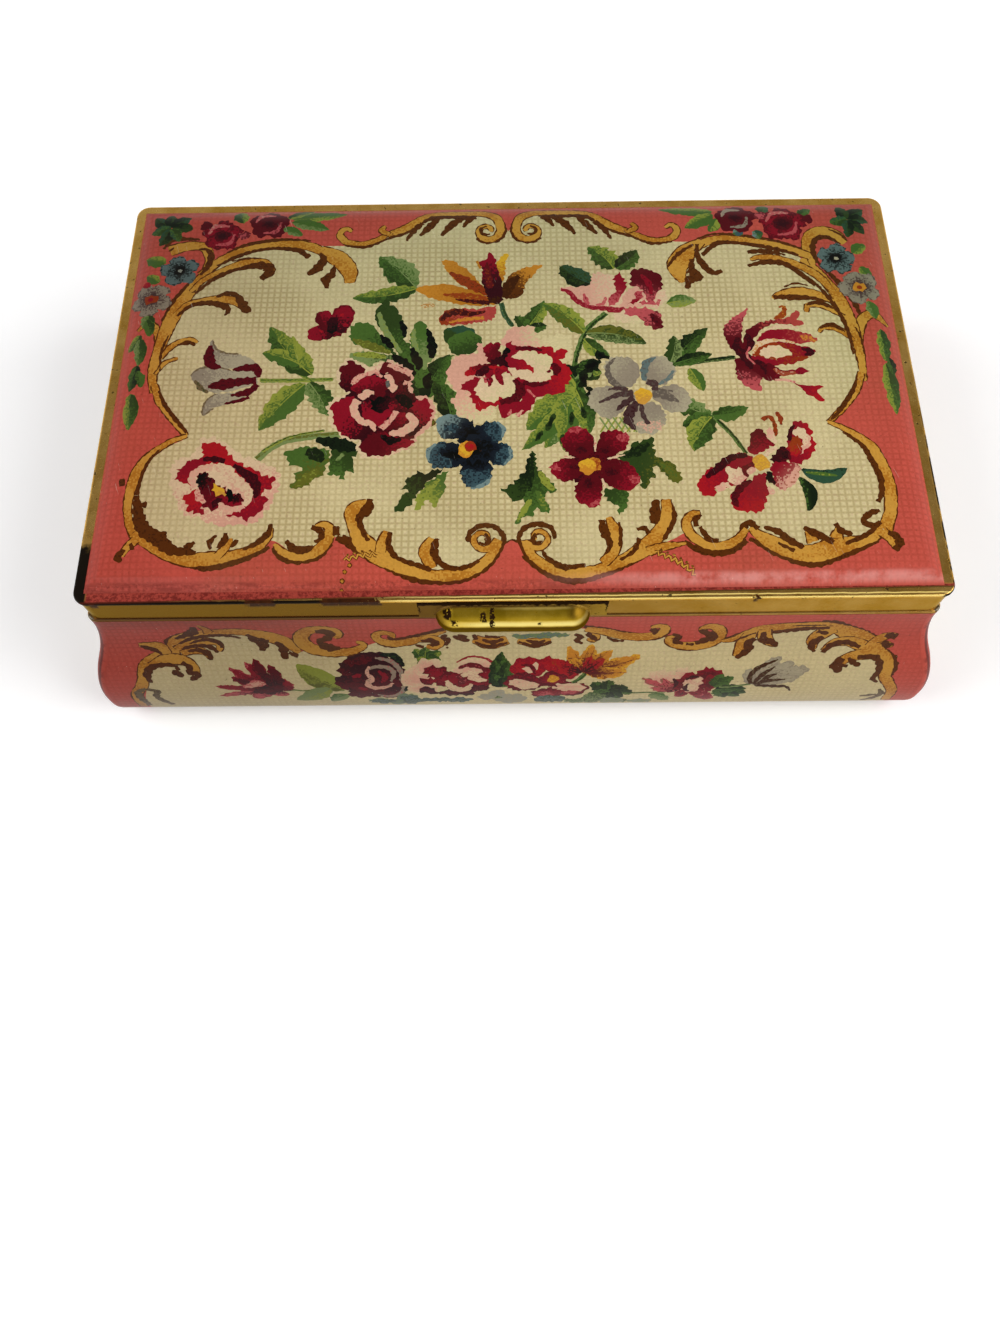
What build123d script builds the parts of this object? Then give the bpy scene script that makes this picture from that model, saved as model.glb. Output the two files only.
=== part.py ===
from build123d import *
import math
import os

# Hinged tin box: a flared tinplate body, a cushion lid with a gold rim, a pressed finger pull
# and two small wire-pin hinges.
# X runs along the box, Y from front to back and Z up. The origin is on the table under the middle.
# "Inset" is always counted from the outer edge of the lid's rim.

# Driving sizes, in millimetres
rim_w = 189.0            # outside of the lid's rim, along X
rim_d = 112.5            # outside of the lid's rim, along Y
rim_z = 51.5             # height of the flat rim
sheet = 0.3              # tinplate

# Body wall, an S-shaped section that swells to its widest near the foot
flare = 7.0              # how far the swell stands out past the rim on each side
swell_z = 9.9            # height of the widest line
hollow_r = 36.0          # inward curve under the shoulder
swell_r = 38.0           # outward curve below it
foot_r = 7.3             # rounding into the bottom
corner_r = 2.2           # rounding of the upright mitred corners, outside
shoulder_z = 43.2        # ledge that carries the lid
shoulder_r = 0.5         # rounding of the ledge's outer edge

# Neck that plugs into the lid
neck_rise = 5.6          # above the ledge
neck_hem = 2.4           # height of the folded edge at the neck's top
neck_clear = 0.25        # slip fit all round inside the lid's hem

# Seam that locks the bottom to the wall, four layers thick
seam_inset = 3.5         # inner edge of the seam, counted from the rim's edge
seam_r = 10.0            # plan corner of the seam's inner edge
seam_fold = 2.1          # length of each fold
seam_clear = 0.3         # room beside each fold
panel_inset = 7.0        # stiffening step of the bottom, inwards from the seam
panel_rise = 0.6

# Lap seam that closes the wall strip at the back
lap_w = 6.0

# Lid
bead_h = 1.0             # height of the rim's rolled edge
bead_top_r = 0.5
bead_under_r = 0.3
rim_corner_r = 3.2       # plan corner of the rim
skirt_inset = 0.4        # the rolled edge overhangs the skirt by this
ledge_w = 2.45           # flat gold ledge between the rim's edge and the cushion
crown_rise = 2.5         # rise of the cushion over the ledge
crown_slope_w = 6.5      # width of the cushion's sloping shoulder
hem_h = 3.0              # folded lower edge of the skirt

# Finger pull
plate_w = 41.3
pull_reach = 4.2         # beyond the rim's edge
cup_w = 33.8
cup_top_drop = 2.7       # top of the cup, below the flat rim
lip_r = 1.0              # curl under the cup's outer edge
lip_turn = 60.0          # degrees
cup_root_r = 0.3         # hollow rounding where the cup leaves its plate

# Slits in the skirt, right under the rolled edge, for the pull and the hinge leaves
slit_h = 0.9
slit_clear = 0.15        # beside what hooks through
tongue_h = 3.0           # leg clinched flat behind the skirt

# Hinges
hinge_x = 55.0           # middle of each hinge from the middle of the box
hinge_w = 16.0
pin_r = 0.6
pin_clear = 0.06         # radial, in the knuckles
pin_end = 0.6            # pin past the knuckles at each end
knuckle_w = 5.2          # middle knuckle, on the body's leaf
knuckle_gap = 0.3        # between knuckles, along the pin
hinge_gap = 0.3          # between the knuckles and the wall
leaf_seat = 0.03         # under the body's curved leaf
body_leaf_drop = 10.5    # lower end of the body's leaf, below the ledge
lid_leaf_foot = 1.9      # lower edge of its flat part, above the ledge

# Sizes that follow from the ones above
half_w = rim_w / 2
half_d = rim_d / 2
bead_z = rim_z - bead_h
skirt_inner = skirt_inset + sheet
hem_inner = skirt_inner + sheet
neck_inset = hem_inner + neck_clear
neck_z = shoulder_z + neck_rise
hook_z = bead_z - slit_h + sheet
bore_r = pin_r + pin_clear
knuckle_r = bore_r + sheet
axis_y = half_d + hinge_gap + knuckle_r
axis_z = shoulder_z
crown_r = (crown_slope_w ** 2 + crown_rise ** 2) / (2 * crown_rise)


# A prism with the rim's outline, set in by "inset", with its corner radius kept in step.
def rim_prism(inset, z0, z1):
    radius = max(rim_corner_r - inset, 0.5)
    outline = RectangleRounded(rim_w - 2 * inset, rim_d - 2 * inset, radius)
    return Pos(0, 0, z0) * extrude(outline, z1 - z0)


def rim_ring(outer_inset, inner_inset, z0, z1):
    return rim_prism(outer_inset, z0, z1) - rim_prism(inner_inset, z0 - 1, z1 + 1)


def box_between(x0, x1, y0, y1, z0, z1):
    middle = Pos((x0 + x1) / 2, (y0 + y1) / 2, (z0 + z1) / 2)
    return middle * Box(x1 - x0, y1 - y0, z1 - z0)


# A solid whose section is the same along the front and the sides, so that its corners are mitred.
def mitred(section):
    seen_from_front = section(half_w)
    seen_from_side = section(half_d)
    seen_from_front = seen_from_front + mirror(seen_from_front, Plane.YZ)
    seen_from_side = seen_from_side + mirror(seen_from_side, Plane.YZ)
    front_to_back = extrude(Plane.XZ * seen_from_front, amount=rim_w, both=True)
    side_to_side = extrude(Plane.YZ * seen_from_side, amount=rim_w, both=True)
    return front_to_back & side_to_side


# Half of the body's section, set in by "depth" from the outside and cut off level at "top".
def body_section(half, depth, top):
    turn = math.acos(1 - flare / (hollow_r + swell_r))
    hollow_z = swell_z + (hollow_r + swell_r) * math.sin(turn)
    hollow_c = (half + hollow_r, hollow_z)
    swell_c = (half + flare - swell_r, swell_z)
    foot_c = (half + flare - foot_r, foot_r)

    def on_arc(centre, radius, angle):
        return (centre[0] + radius * math.cos(angle), centre[1] + radius * math.sin(angle))

    outer_top = (half - depth, top)
    hollow_start = on_arc(hollow_c, hollow_r + depth, math.pi)
    hollow_mid = on_arc(hollow_c, hollow_r + depth, math.pi + turn / 2)
    hollow_end = on_arc(hollow_c, hollow_r + depth, math.pi + turn)
    swell_mid = on_arc(swell_c, swell_r - depth, turn / 2)
    swell_end = on_arc(swell_c, swell_r - depth, 0)
    foot_start = on_arc(foot_c, foot_r - depth, 0)
    foot_mid = on_arc(foot_c, foot_r - depth, -math.pi / 4)
    foot_end = on_arc(foot_c, foot_r - depth, -math.pi / 2)
    edges = [
        Line(outer_top, hollow_start),
        ThreePointArc(hollow_start, hollow_mid, hollow_end),
        ThreePointArc(hollow_end, swell_mid, swell_end),
        Line(swell_end, foot_start),
        ThreePointArc(foot_start, foot_mid, foot_end),
        Line(foot_end, (0, depth)),
        Line((0, depth), (0, top)),
        Line((0, top), outer_top),
    ]
    return make_face(edges)


def upright_corner_edges(solid):
    reach = flare + foot_r
    found = []
    for edge in solid.edges():
        middle = edge.center()
        near_x = abs(abs(middle.X) - half_w) < reach
        near_y = abs(abs(middle.Y) - half_d) < reach
        climbs = abs(edge.tangent_at(0.5).Z) > 0.05
        if near_x and near_y and climbs:
            found.append(edge)
    return found


def body_form(depth, top):
    solid = mitred(lambda half: body_section(half, depth, top))
    return solid.fillet(corner_r - depth, upright_corner_edges(solid))


# Half of the cushion's section: a sloping shoulder on an arc, then flat.
def crown_section(half, depth, base):
    edge_x = half - ledge_w
    centre = (edge_x - crown_slope_w, rim_z + crown_rise - crown_r)
    radius = crown_r - depth
    start = math.asin((rim_z - depth - centre[1]) / radius)
    middle = (start + math.pi / 2) / 2
    low = (centre[0] + radius * math.cos(start), centre[1] + radius * math.sin(start))
    mid = (centre[0] + radius * math.cos(middle), centre[1] + radius * math.sin(middle))
    high = (centre[0], centre[1] + radius)
    edges = [
        Line((0, base), (low[0], base)),
        Line((low[0], base), low),
        ThreePointArc(low, mid, high),
        Line(high, (0, high[1])),
        Line((0, high[1]), (0, base)),
    ]
    return make_face(edges)


# Outline of the bottom seam, moved outwards by "out" from its inner edge.
def seam_prism(out, z0, z1):
    inset = seam_inset - out
    outline = RectangleRounded(rim_w - 2 * inset, rim_d - 2 * inset, max(seam_r + out, 1.0))
    return Pos(0, 0, z0) * extrude(outline, z1 - z0)


def seam_ring(out0, out1, z0, z1):
    return seam_prism(out1, z0, z1) - seam_prism(out0, z0 - 1, z1 + 1)


# Body wall: S-shaped skin, ledge, neck with a folded top, lap seam and the wall's half of the seam.
def make_body_wall():
    outside = body_form(0, shoulder_z)
    outside = outside.fillet(shoulder_r, outside.faces().sort_by(Axis.Z)[-1].edges())
    wall = outside - body_form(sheet, shoulder_z - sheet)
    wall = wall - rim_prism(neck_inset + sheet, shoulder_z - 2 * sheet, shoulder_z + 1)
    wall = wall + rim_ring(neck_inset, neck_inset + sheet, shoulder_z - sheet, neck_z)
    wall = wall + rim_ring(neck_inset + sheet, neck_inset + 2 * sheet, neck_z - neck_hem, neck_z)
    wall = wall - seam_prism(0, -1, sheet + 1)
    wall = wall + seam_ring(0, sheet, 0, 3 * sheet)
    wall = wall + seam_ring(0, seam_fold, 2 * sheet, 3 * sheet)
    return wall + make_lap_seam()


# The strip's two ends are hooked together and pressed flat inside the back wall.
def make_lap_seam():
    top = shoulder_z - sheet
    outer = body_section(half_d, sheet, top)
    inner = body_section(half_d, 3 * sheet, top + 1)
    strip = extrude(Plane.YZ * (outer - inner), amount=lap_w / 2, both=True)
    return strip & box_between(-lap_w, lap_w, 0, rim_d, foot_r, top)


# Bottom plate: an edge folded under to hook into the wall's seam, and a raised panel.
def make_bottom_plate():
    reach = seam_fold + seam_clear + sheet
    plate = seam_prism(reach, 3 * sheet, 4 * sheet)
    plate = plate + seam_ring(seam_fold + seam_clear, reach, sheet, 4 * sheet)
    plate = plate + seam_ring(sheet + seam_clear, reach, sheet, 2 * sheet)
    plate = plate - seam_prism(-panel_inset, 0, rim_z)
    step = seam_ring(-panel_inset - sheet, -panel_inset, 3 * sheet, 4 * sheet + panel_rise)
    panel = seam_prism(-panel_inset, 3 * sheet + panel_rise, 4 * sheet + panel_rise)
    return plate + step + panel


# Lid: cushion top, flat ledge, rolled edge and skirt with a folded hem.
def make_lid_shell():
    rim = rim_prism(0, bead_z, rim_z)
    rim = rim.fillet(bead_top_r, rim.faces().sort_by(Axis.Z)[-1].edges())
    rim = rim.fillet(bead_under_r, rim.faces().sort_by(Axis.Z)[0].edges())
    skirt = rim_prism(skirt_inset, shoulder_z, rim_z - bead_top_r)
    crown = mitred(lambda half: crown_section(half, 0, bead_z))
    hollow = rim_prism(skirt_inner, shoulder_z - 1, rim_z - sheet)
    crown_hollow = mitred(lambda half: crown_section(half, sheet, bead_z))
    lid = rim + skirt + crown - hollow - crown_hollow
    lid = lid + rim_ring(skirt_inner, hem_inner, shoulder_z, shoulder_z + hem_h)
    lid = lid - make_slit(0, plate_w, -1)
    for side in (-1, 1):
        lid = lid - make_slit(side * hinge_x, hinge_w, 1)
    return lid


# A box given by how far it stands out from the skirt's outer face, at the front (-1) or back (1).
def on_skirt(x, width, side, out0, out1, z0, z1):
    face_y = half_d - skirt_inset
    ends = sorted((side * (face_y + out0), side * (face_y + out1)))
    return box_between(x - width / 2, x + width / 2, ends[0], ends[1], z0, z1)


def make_slit(x, width, side):
    slit_w = width + 2 * slit_clear
    return on_skirt(x, slit_w, side, -sheet, slit_clear, bead_z - slit_h, bead_z)


# A plate on the skirt whose top edge hooks through a slit and is clinched flat behind it.
def make_hooked_plate(x, width, side, foot_z):
    plate = on_skirt(x, width, side, 0, sheet, foot_z, hook_z)
    plate = plate + on_skirt(x, width, side, -2 * sheet, sheet, hook_z - sheet, hook_z)
    return plate + on_skirt(x, width, side, -2 * sheet, -sheet, hook_z - tongue_h, hook_z)


# Section of the cup outwards from its plate: a quarter round and a small curl under it.
# The hollow's section opens downwards between the plate and the curl.
def cup_section(depth, reach, top, hollow):
    radius = reach - depth
    curl = lip_r - depth
    centre_z = top - reach
    turn = math.radians(lip_turn)

    def on_curl(size, angle):
        return (reach - lip_r + size * math.cos(angle), centre_z - size * math.sin(angle))

    highest = (0, centre_z + radius)
    shoulder = (radius * math.cos(math.pi / 4), centre_z + radius * math.sin(math.pi / 4))
    furthest = (radius, centre_z)
    last = on_curl(curl, turn)
    edges = [
        ThreePointArc(highest, shoulder, furthest),
        ThreePointArc(furthest, on_curl(curl, turn / 2), last),
    ]
    if hollow:
        past = on_curl(2 * lip_r, turn)
        edges.append(Line(last, past))
        last = past
    edges.append(Line(last, (0, last[1])))
    edges.append(Line((0, last[1]), highest))
    return make_face(edges)


# The section runs along the middle of the cup and turns a quarter round at each end.
def cup_form(depth, plate_y, reach, top, hollow):
    straight = cup_w / 2 - reach
    outwards = Plane(origin=(-straight, plate_y, 0), x_dir=(0, -1, 0), z_dir=(-1, 0, 0))
    section = outwards * cup_section(depth, reach, top, hollow)
    middle = extrude(section, amount=2 * straight, dir=(1, 0, 0))
    end = revolve(section, Axis((-straight, plate_y, 0), (0, 0, -1)), 90)
    return middle + end + mirror(end, Plane.YZ)


# Finger pull: a pressed cup standing out of a flat plate.
def make_finger_pull():
    plate_y = skirt_inset - half_d - sheet
    reach = half_d + pull_reach + plate_y
    top = rim_z - cup_top_drop
    pull = make_hooked_plate(0, plate_w, -1, shoulder_z)
    pull = pull + cup_form(0, plate_y, reach, top, False)
    pull = pull.fillet(cup_root_r, root_edges(pull, plate_y))
    hollow = cup_form(sheet, plate_y, reach, top, True)
    for face in hollow.faces():
        if abs(face.center().Y - plate_y) < 0.001:
            pull = pull - extrude(face, amount=sheet, dir=(0, 1, 0))
    return pull - hollow


def root_edges(pull, plate_y):
    found = []
    for edge in pull.edges():
        middle = edge.center()
        flat = abs(edge.bounding_box().size.Y) < 0.001
        on_plate = abs(middle.Y - plate_y) < 0.001
        inside = abs(middle.X) < plate_w / 2 - 1 and shoulder_z < middle.Z < hook_z - sheet
        if flat and on_plate and inside:
            found.append(edge)
    return found


# A solid of one section, drawn in Y and Z, from x0 to x1.
def along_x(section, x0, x1):
    return Pos(x0, 0, 0) * extrude(Plane.YZ * section, amount=x1 - x0)


def knuckle_section():
    return Pos(axis_y, axis_z) * (Circle(knuckle_r) - Circle(bore_r))


# The strip that leads from a leaf's edge at (y, z) to its knuckles, clear of the pin.
def arm_section(y, z):
    near = axis_y - knuckle_r
    corners = [(y, z), (y + sheet, z), (near + sheet, axis_z), (near, axis_z)]
    arm = make_face(Polyline(*corners, close=True))
    return arm - Pos(axis_y, axis_z) * Circle(bore_r)


# The lid's leaf carries the two outer knuckles.
def make_lid_leaf(x):
    foot_z = shoulder_z + lid_leaf_foot
    face_y = half_d - skirt_inset
    leaf = make_hooked_plate(x, hinge_w, 1, foot_z)
    section = knuckle_section() + arm_section(face_y, foot_z)
    knuckle_end = knuckle_w / 2 + knuckle_gap
    for side in (-1, 1):
        ends = sorted((x + side * knuckle_end, x + side * hinge_w / 2))
        leaf = leaf + along_x(section, ends[0], ends[1])
    return leaf


# The body's leaf follows the hollow of the wall and carries the middle knuckle.
def make_body_leaf(x):
    top = axis_z - knuckle_r - knuckle_gap
    outer = body_section(half_d, -leaf_seat - sheet, shoulder_z)
    inner = body_section(half_d, -leaf_seat, shoulder_z + 1)
    foot_z = shoulder_z - body_leaf_drop
    leaf = along_x(outer - inner, x - hinge_w / 2, x + hinge_w / 2)
    leaf = leaf & box_between(x - hinge_w, x + hinge_w, 0, rim_d, foot_z, top)
    section = knuckle_section() + arm_section(half_d + leaf_seat, top)
    return leaf + along_x(section, x - knuckle_w / 2, x + knuckle_w / 2)


def make_pin(x):
    length = hinge_w + 2 * pin_end
    return Pos(x, axis_y, axis_z) * Rot(0, 90, 0) * Cylinder(pin_r, length)


def main():
    os.makedirs("parts", exist_ok=True)
    nodes = {
        "body_wall": make_body_wall(),
        "bottom_plate": make_bottom_plate(),
        "lid_shell": make_lid_shell(),
        "finger_pull": make_finger_pull(),
    }
    for name, x in (("left", -hinge_x), ("right", hinge_x)):
        nodes["lid_hinge_leaf_" + name] = make_lid_leaf(x)
        nodes["body_hinge_leaf_" + name] = make_body_leaf(x)
        nodes["hinge_pin_" + name] = make_pin(x)
    for name, solid in nodes.items():
        export_step(solid, "parts/" + name + ".step")
        print(name, round(solid.volume, 1), "cubic mm", "valid" if solid.is_valid else "NOT VALID")


main()
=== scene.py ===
import math
import random

import bmesh
import bpy
import numpy as np
from mathutils import Matrix, Vector
from mathutils.geometry import delaunay_2d_cdt


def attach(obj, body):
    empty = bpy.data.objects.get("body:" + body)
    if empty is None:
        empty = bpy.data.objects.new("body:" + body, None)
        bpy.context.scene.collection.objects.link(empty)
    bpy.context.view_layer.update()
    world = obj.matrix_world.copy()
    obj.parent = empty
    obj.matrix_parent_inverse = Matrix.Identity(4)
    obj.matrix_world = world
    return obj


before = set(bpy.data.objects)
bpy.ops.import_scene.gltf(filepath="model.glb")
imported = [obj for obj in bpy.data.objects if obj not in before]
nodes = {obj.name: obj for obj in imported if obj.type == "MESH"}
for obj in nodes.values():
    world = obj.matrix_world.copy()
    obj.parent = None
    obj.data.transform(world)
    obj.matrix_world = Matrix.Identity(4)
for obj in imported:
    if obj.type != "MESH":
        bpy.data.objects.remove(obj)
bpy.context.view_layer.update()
MM = 0.001
print("nodes:", sorted(nodes))

# %% [markdown]
# ## The camera
# The picture was taken from in front and high above, so the lid shows nearly flat and
# the front wall is short. Its place and turn were found from the corners of the lid.
# %% The camera
CAMERA_PLACE = Vector((-1.25, -149.14, 243.75)) * MM
CAMERA_RIGHT = Vector((0.99993, -0.00609, -0.0106))
CAMERA_UP = Vector((0.00962, 0.9272, 0.37444))
CAMERA_BACK = Vector((0.00755, -0.37451, 0.92719))
camera_data = bpy.data.cameras.new("picture_camera")
camera_data.lens = 27.03
camera_data.sensor_width = 36
camera_data.clip_start = 0.01
camera = bpy.data.objects.new("picture_camera", camera_data)
bpy.context.scene.collection.objects.link(camera)
turn = Matrix((CAMERA_RIGHT, CAMERA_UP, CAMERA_BACK)).transposed().to_4x4()
camera.matrix_world = Matrix.Translation(CAMERA_PLACE) @ turn
bpy.context.scene.camera = camera
print("camera height in mm:", round(CAMERA_PLACE.z / MM, 1))

# %% [markdown]
# ## A recipe book for materials
# Every finish is a small graph of nodes. A helper that adds a node, fills its sockets
# and hands back its output keeps each recipe as short as a line of arithmetic. Patterns
# are measured in millimetres of the object, so their grain has the real size.
# %% The recipe helper
def linear(ink):
    """A 0-255 screen colour as the linear colour that shaders use."""
    parts = [c / 255 for c in ink]
    return tuple(
        p / 12.92 if p <= 0.04045 else ((p + 0.055) / 1.055) ** 2.4 for p in parts
    ) + (1.0,)


class Recipe:
    """One material's graph, written as sums, noises, bands and mixes."""

    def __init__(self, name):
        self.material = bpy.data.materials.new(name)
        self.material.use_nodes = True
        self.tree = self.material.node_tree
        self.tree.nodes.clear()
        self.shader = self.tree.nodes.new("ShaderNodeBsdfPrincipled")
        output = self.tree.nodes.new("ShaderNodeOutputMaterial")
        self.tree.links.new(self.shader.outputs[0], output.inputs[0])
        self.coords = self.tree.nodes.new("ShaderNodeTexCoord")
        self.mm = self.vector("SCALE", self.coords.outputs["Object"], scale=1000.0)
        self.x, self.y, self.z = self.split(self.mm)

    def fill(self, socket, value):
        if isinstance(value, bpy.types.NodeSocket):
            self.tree.links.new(value, socket)
        elif value is not None:
            socket.default_value = value

    def node(self, kind, *values, **settings):
        made = self.tree.nodes.new("ShaderNode" + kind)
        for key, value in settings.items():
            setattr(made, key, value)
        for socket, value in zip(made.inputs, values):
            self.fill(socket, value)
        return made

    def math(self, operation, a, b=None):
        return self.node("Math", a, b, operation=operation).outputs[0]

    def vector(self, operation, a, b=None, scale=None):
        made = self.node("VectorMath", a, b, operation=operation)
        if scale is not None:
            made.inputs["Scale"].default_value = scale
        return made.outputs["Value" if operation in ("DOT_PRODUCT", "LENGTH") else "Vector"]

    def split(self, vector):
        return self.node("SeparateXYZ", vector).outputs

    def join(self, x, y, z=0.0):
        return self.node("CombineXYZ", x, y, z).outputs[0]

    def noise(self, size, detail=2.0, roughness=0.5, where=None, stretch=(1, 1, 1)):
        """Cloudy noise whose lumps are about size millimetres across."""
        place = self.vector("MULTIPLY", where or self.mm, tuple(1 / (size * s) for s in stretch))
        made = self.node("TexNoise", noise_dimensions="3D")
        self.fill(made.inputs["Vector"], place)
        made.inputs["Scale"].default_value = 1.0
        made.inputs["Detail"].default_value = detail
        made.inputs["Roughness"].default_value = roughness
        return made.outputs[0]

    def wobble(self, amount, *lumps):
        """Noise that swings round zero, amount from its lowest to its highest."""
        return self.times(self.plus(self.noise(*lumps), -0.5), amount)

    def speckle(self, cell, where):
        """A random value for each square cell, as in a woven or stippled ground."""
        place = self.vector("SCALE", where, scale=1 / cell)
        cells = self.vector("FLOOR", self.vector("ADD", place, (0.013, 0.017, 0.019)))
        return self.node("TexWhiteNoise", cells, noise_dimensions="3D").outputs[0]

    def step(self, value, low, high):
        """0 below low and 1 above high, with a smooth rise between."""
        made = self.node("MapRange", interpolation_type="SMOOTHSTEP")
        self.fill(made.inputs["Value"], value)
        made.inputs["From Min"].default_value = low
        made.inputs["From Max"].default_value = high
        return made.outputs[0]

    def band(self, value, low, high, soft):
        """1 between low and high, fading over soft on both sides."""
        rise = self.step(value, low - soft, low + soft)
        fall = self.step(value, high + soft, high - soft)
        return self.times(rise, fall)

    def chain(self, operation, values):
        total = values[0]
        for value in values[1:]:
            total = self.math(operation, total, value)
        return total

    def times(self, *values):
        return self.chain("MULTIPLY", values)

    def plus(self, *values):
        return self.chain("ADD", values)

    def most(self, *values):
        return self.chain("MAXIMUM", values)

    def minus(self, a, b):
        return self.math("SUBTRACT", a, b)

    def rest(self, share):
        """What is left of 1 when the share is taken away."""
        return self.math("SUBTRACT", 1.0, share)

    def size(self, value):
        return self.math("ABSOLUTE", value)

    def mix(self, share, a, b):
        """Colour a, going to colour b as share rises from 0 to 1."""
        made = self.tree.nodes.new("ShaderNodeMix")
        made.data_type = "RGBA"
        self.fill(made.inputs["Factor"], share)
        for socket, value in zip((made.inputs[6], made.inputs[7]), (a, b)):
            self.fill(socket, linear(value) if isinstance(value, tuple) else value)
        return made.outputs[2]

    def blend(self, share, a, b):
        """Number a, going to number b as share rises from 0 to 1."""
        made = self.tree.nodes.new("ShaderNodeMix")
        self.fill(made.inputs["Factor"], share)
        self.fill(made.inputs[2], a)
        self.fill(made.inputs[3], b)
        return made.outputs[0]

    def shade(self, colour, amount, tint):
        """Darkens a colour: at amount 1 it is multiplied by the tint."""
        return self.vector("MULTIPLY", colour, self.mix(amount, (255, 255, 255), tint))

    def bump(self, height, depth):
        """Bump whose full height is depth millimetres."""
        made = self.node("Bump")
        made.inputs["Strength"].default_value = 1.0
        made.inputs["Distance"].default_value = depth * MM
        self.fill(made.inputs["Height"], height)
        self.fill(self.shader.inputs["Normal"], made.outputs[0])

    def finish(self, colour, roughness, metallic=0.0, **fixed):
        self.fill(self.shader.inputs["Base Color"], colour)
        self.fill(self.shader.inputs["Roughness"], roughness)
        self.fill(self.shader.inputs["Metallic"], metallic)
        for name, value in fixed.items():
            self.shader.inputs[name.replace("_", " ")].default_value = value
        return self.material

    def outward(self):
        """Positive on faces that look away from the box's middle, negative inside."""
        flat = self.vector("MULTIPLY", self.mm, (1.0, 1.0, 0.0))
        return self.vector("DOT_PRODUCT", self.coords.outputs["Normal"], flat)


# %% [markdown]
# ## Floor and light
# The box stands on plain pale paper, which a camera sees as white with the box's soft
# shadow. Two soft lamps stand wide apart, the right one stronger, under an even dim sky.
# What is seen directly or mirrored is a white backdrop that fades to grey overhead: flat
# tin that faces up looks olive, and rounded edges catch the white.
# %% Floor and light
PAPER = (247, 247, 246)


def paper_finish():
    r = Recipe("pale_paper")
    fibre = r.noise(3.0, 3.0)
    r.bump(fibre, 0.02)
    rays = r.node("LightPath").outputs
    seen = r.most(rays["Is Camera Ray"], rays["Is Glossy Ray"], rays["Is Transmission Ray"])
    r.fill(r.shader.inputs["Emission Strength"], r.times(seen, 0.17))
    return r.finish(r.mix(fibre, PAPER, (243, 243, 242)), 0.85, Emission_Color=(1, 1, 1, 1))


def new_piece(name, mesh):
    piece = bpy.data.objects.new(name, mesh)
    bpy.context.scene.collection.objects.link(piece)
    return piece


floor_mesh = bpy.data.meshes.new("paper_floor")
sheet = bmesh.new()
bmesh.ops.create_grid(sheet, x_segments=8, y_segments=8, size=3.0)
sheet.to_mesh(floor_mesh)
sheet.free()
floor_mesh.materials.append(paper_finish())
floor = new_piece("paper_floor", floor_mesh)


def soft_lamp(name, place, size, watts):
    """A square lamp aimed at the box."""
    data = bpy.data.lights.new(name, "AREA")
    data.shape = "RECTANGLE"
    data.size, data.size_y = size
    data.energy = watts
    lamp = bpy.data.objects.new(name, data)
    lamp.location = place
    lamp.rotation_mode = "QUATERNION"
    lamp.rotation_quaternion = (-Vector(place)).to_track_quat("-Z", "Y")
    bpy.context.scene.collection.objects.link(lamp)
    return lamp


soft_lamp("left_softbox", (-1.15, -0.1, 0.85), (1.1, 1.1), 13.0)
soft_lamp("right_softbox", (1.15, -0.3, 0.85), (1.1, 1.1), 18.0)

sky = bpy.data.worlds.new("studio_sky")
bpy.context.scene.world = sky
sky.use_nodes = True
sky_tree = sky.node_tree


def sky_node(kind, **values):
    made = sky_tree.nodes.new("ShaderNode" + kind)
    for name, value in values.items():
        made.inputs[name].default_value = value
    return made


def sky_link(source, target):
    sky_tree.links.new(source, target)


height = sky_node("SeparateXYZ")
sky_link(sky_node("TexCoord").outputs["Generated"], height.inputs[0])
climb = sky_node("MapRange", **{"From Min": 0.5, "From Max": 0.8})
climb.interpolation_type = "SMOOTHSTEP"
sky_link(height.outputs[2], climb.inputs["Value"])
seen = sky_tree.nodes.new("ShaderNodeMix")
seen.data_type = "RGBA"
seen.inputs[6].default_value = (1.0, 1.0, 1.0, 1)
seen.inputs[7].default_value = (0.26, 0.26, 0.27, 1)
sky_link(climb.outputs[0], seen.inputs["Factor"])
rays = sky_tree.nodes.new("ShaderNodeLightPath")
straight = sky_tree.nodes.new("ShaderNodeMath")
straight.operation = "MAXIMUM"
sky_link(rays.outputs["Is Camera Ray"], straight.inputs[0])
sky_link(rays.outputs["Is Glossy Ray"], straight.inputs[1])
looked_at = sky_tree.nodes.new("ShaderNodeMath")
looked_at.operation = "MAXIMUM"
sky_link(straight.outputs[0], looked_at.inputs[0])
sky_link(rays.outputs["Is Transmission Ray"], looked_at.inputs[1])
tone = sky_tree.nodes.new("ShaderNodeMix")
tone.data_type = "RGBA"
tone.inputs[6].default_value = (0.32, 0.32, 0.33, 1)
sky_link(looked_at.outputs[0], tone.inputs["Factor"])
sky_link(seen.outputs[2], tone.inputs[7])
backdrop = sky_tree.nodes["Background"]
sky_link(tone.outputs[2], backdrop.inputs["Color"])
backdrop.inputs["Strength"].default_value = 1.0

scene = bpy.context.scene
scene.view_settings.view_transform = "Standard"

# %% [markdown]
# ## Gold tin
# The rim, the hems, the hinges and the inside are tinplate under a thin gold lacquer.
# It is mirror metal dulled by age: cloudy, freckled with dark specks, and worn to bare
# grey where fingers and lids rub. One recipe with different tones makes them all.
# %% Gold tin
GOLD = (200, 159, 86)
GOLD_DEEP = (172, 126, 46)
GOLD_PALE = (226, 198, 124)
SHADED_GOLD = (90, 62, 36)
TARNISH = (38, 26, 12)
RUST = (92, 44, 16)
PINK = (186, 78, 64)
PINK_DEEP = (170, 62, 50)
WEAVE_RED = (150, 46, 40)
SPECK_BROWN = (96, 40, 34)
HEM_RED = (104, 42, 30)
LEDGE_HIGHLIGHT = (255, 226, 132)
BLACKENED = (14, 7, 4)
GRIME_AND_SHADE_RED = (98, 30, 26)
FOOT_SHADOW_BROWN = (84, 30, 20)
GOLD_EDGE = (0.92, 0.78, 0.46, 1)
TIN_GRAIN = 0.012
PRINT_ROUGHNESS = 0.36
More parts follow.
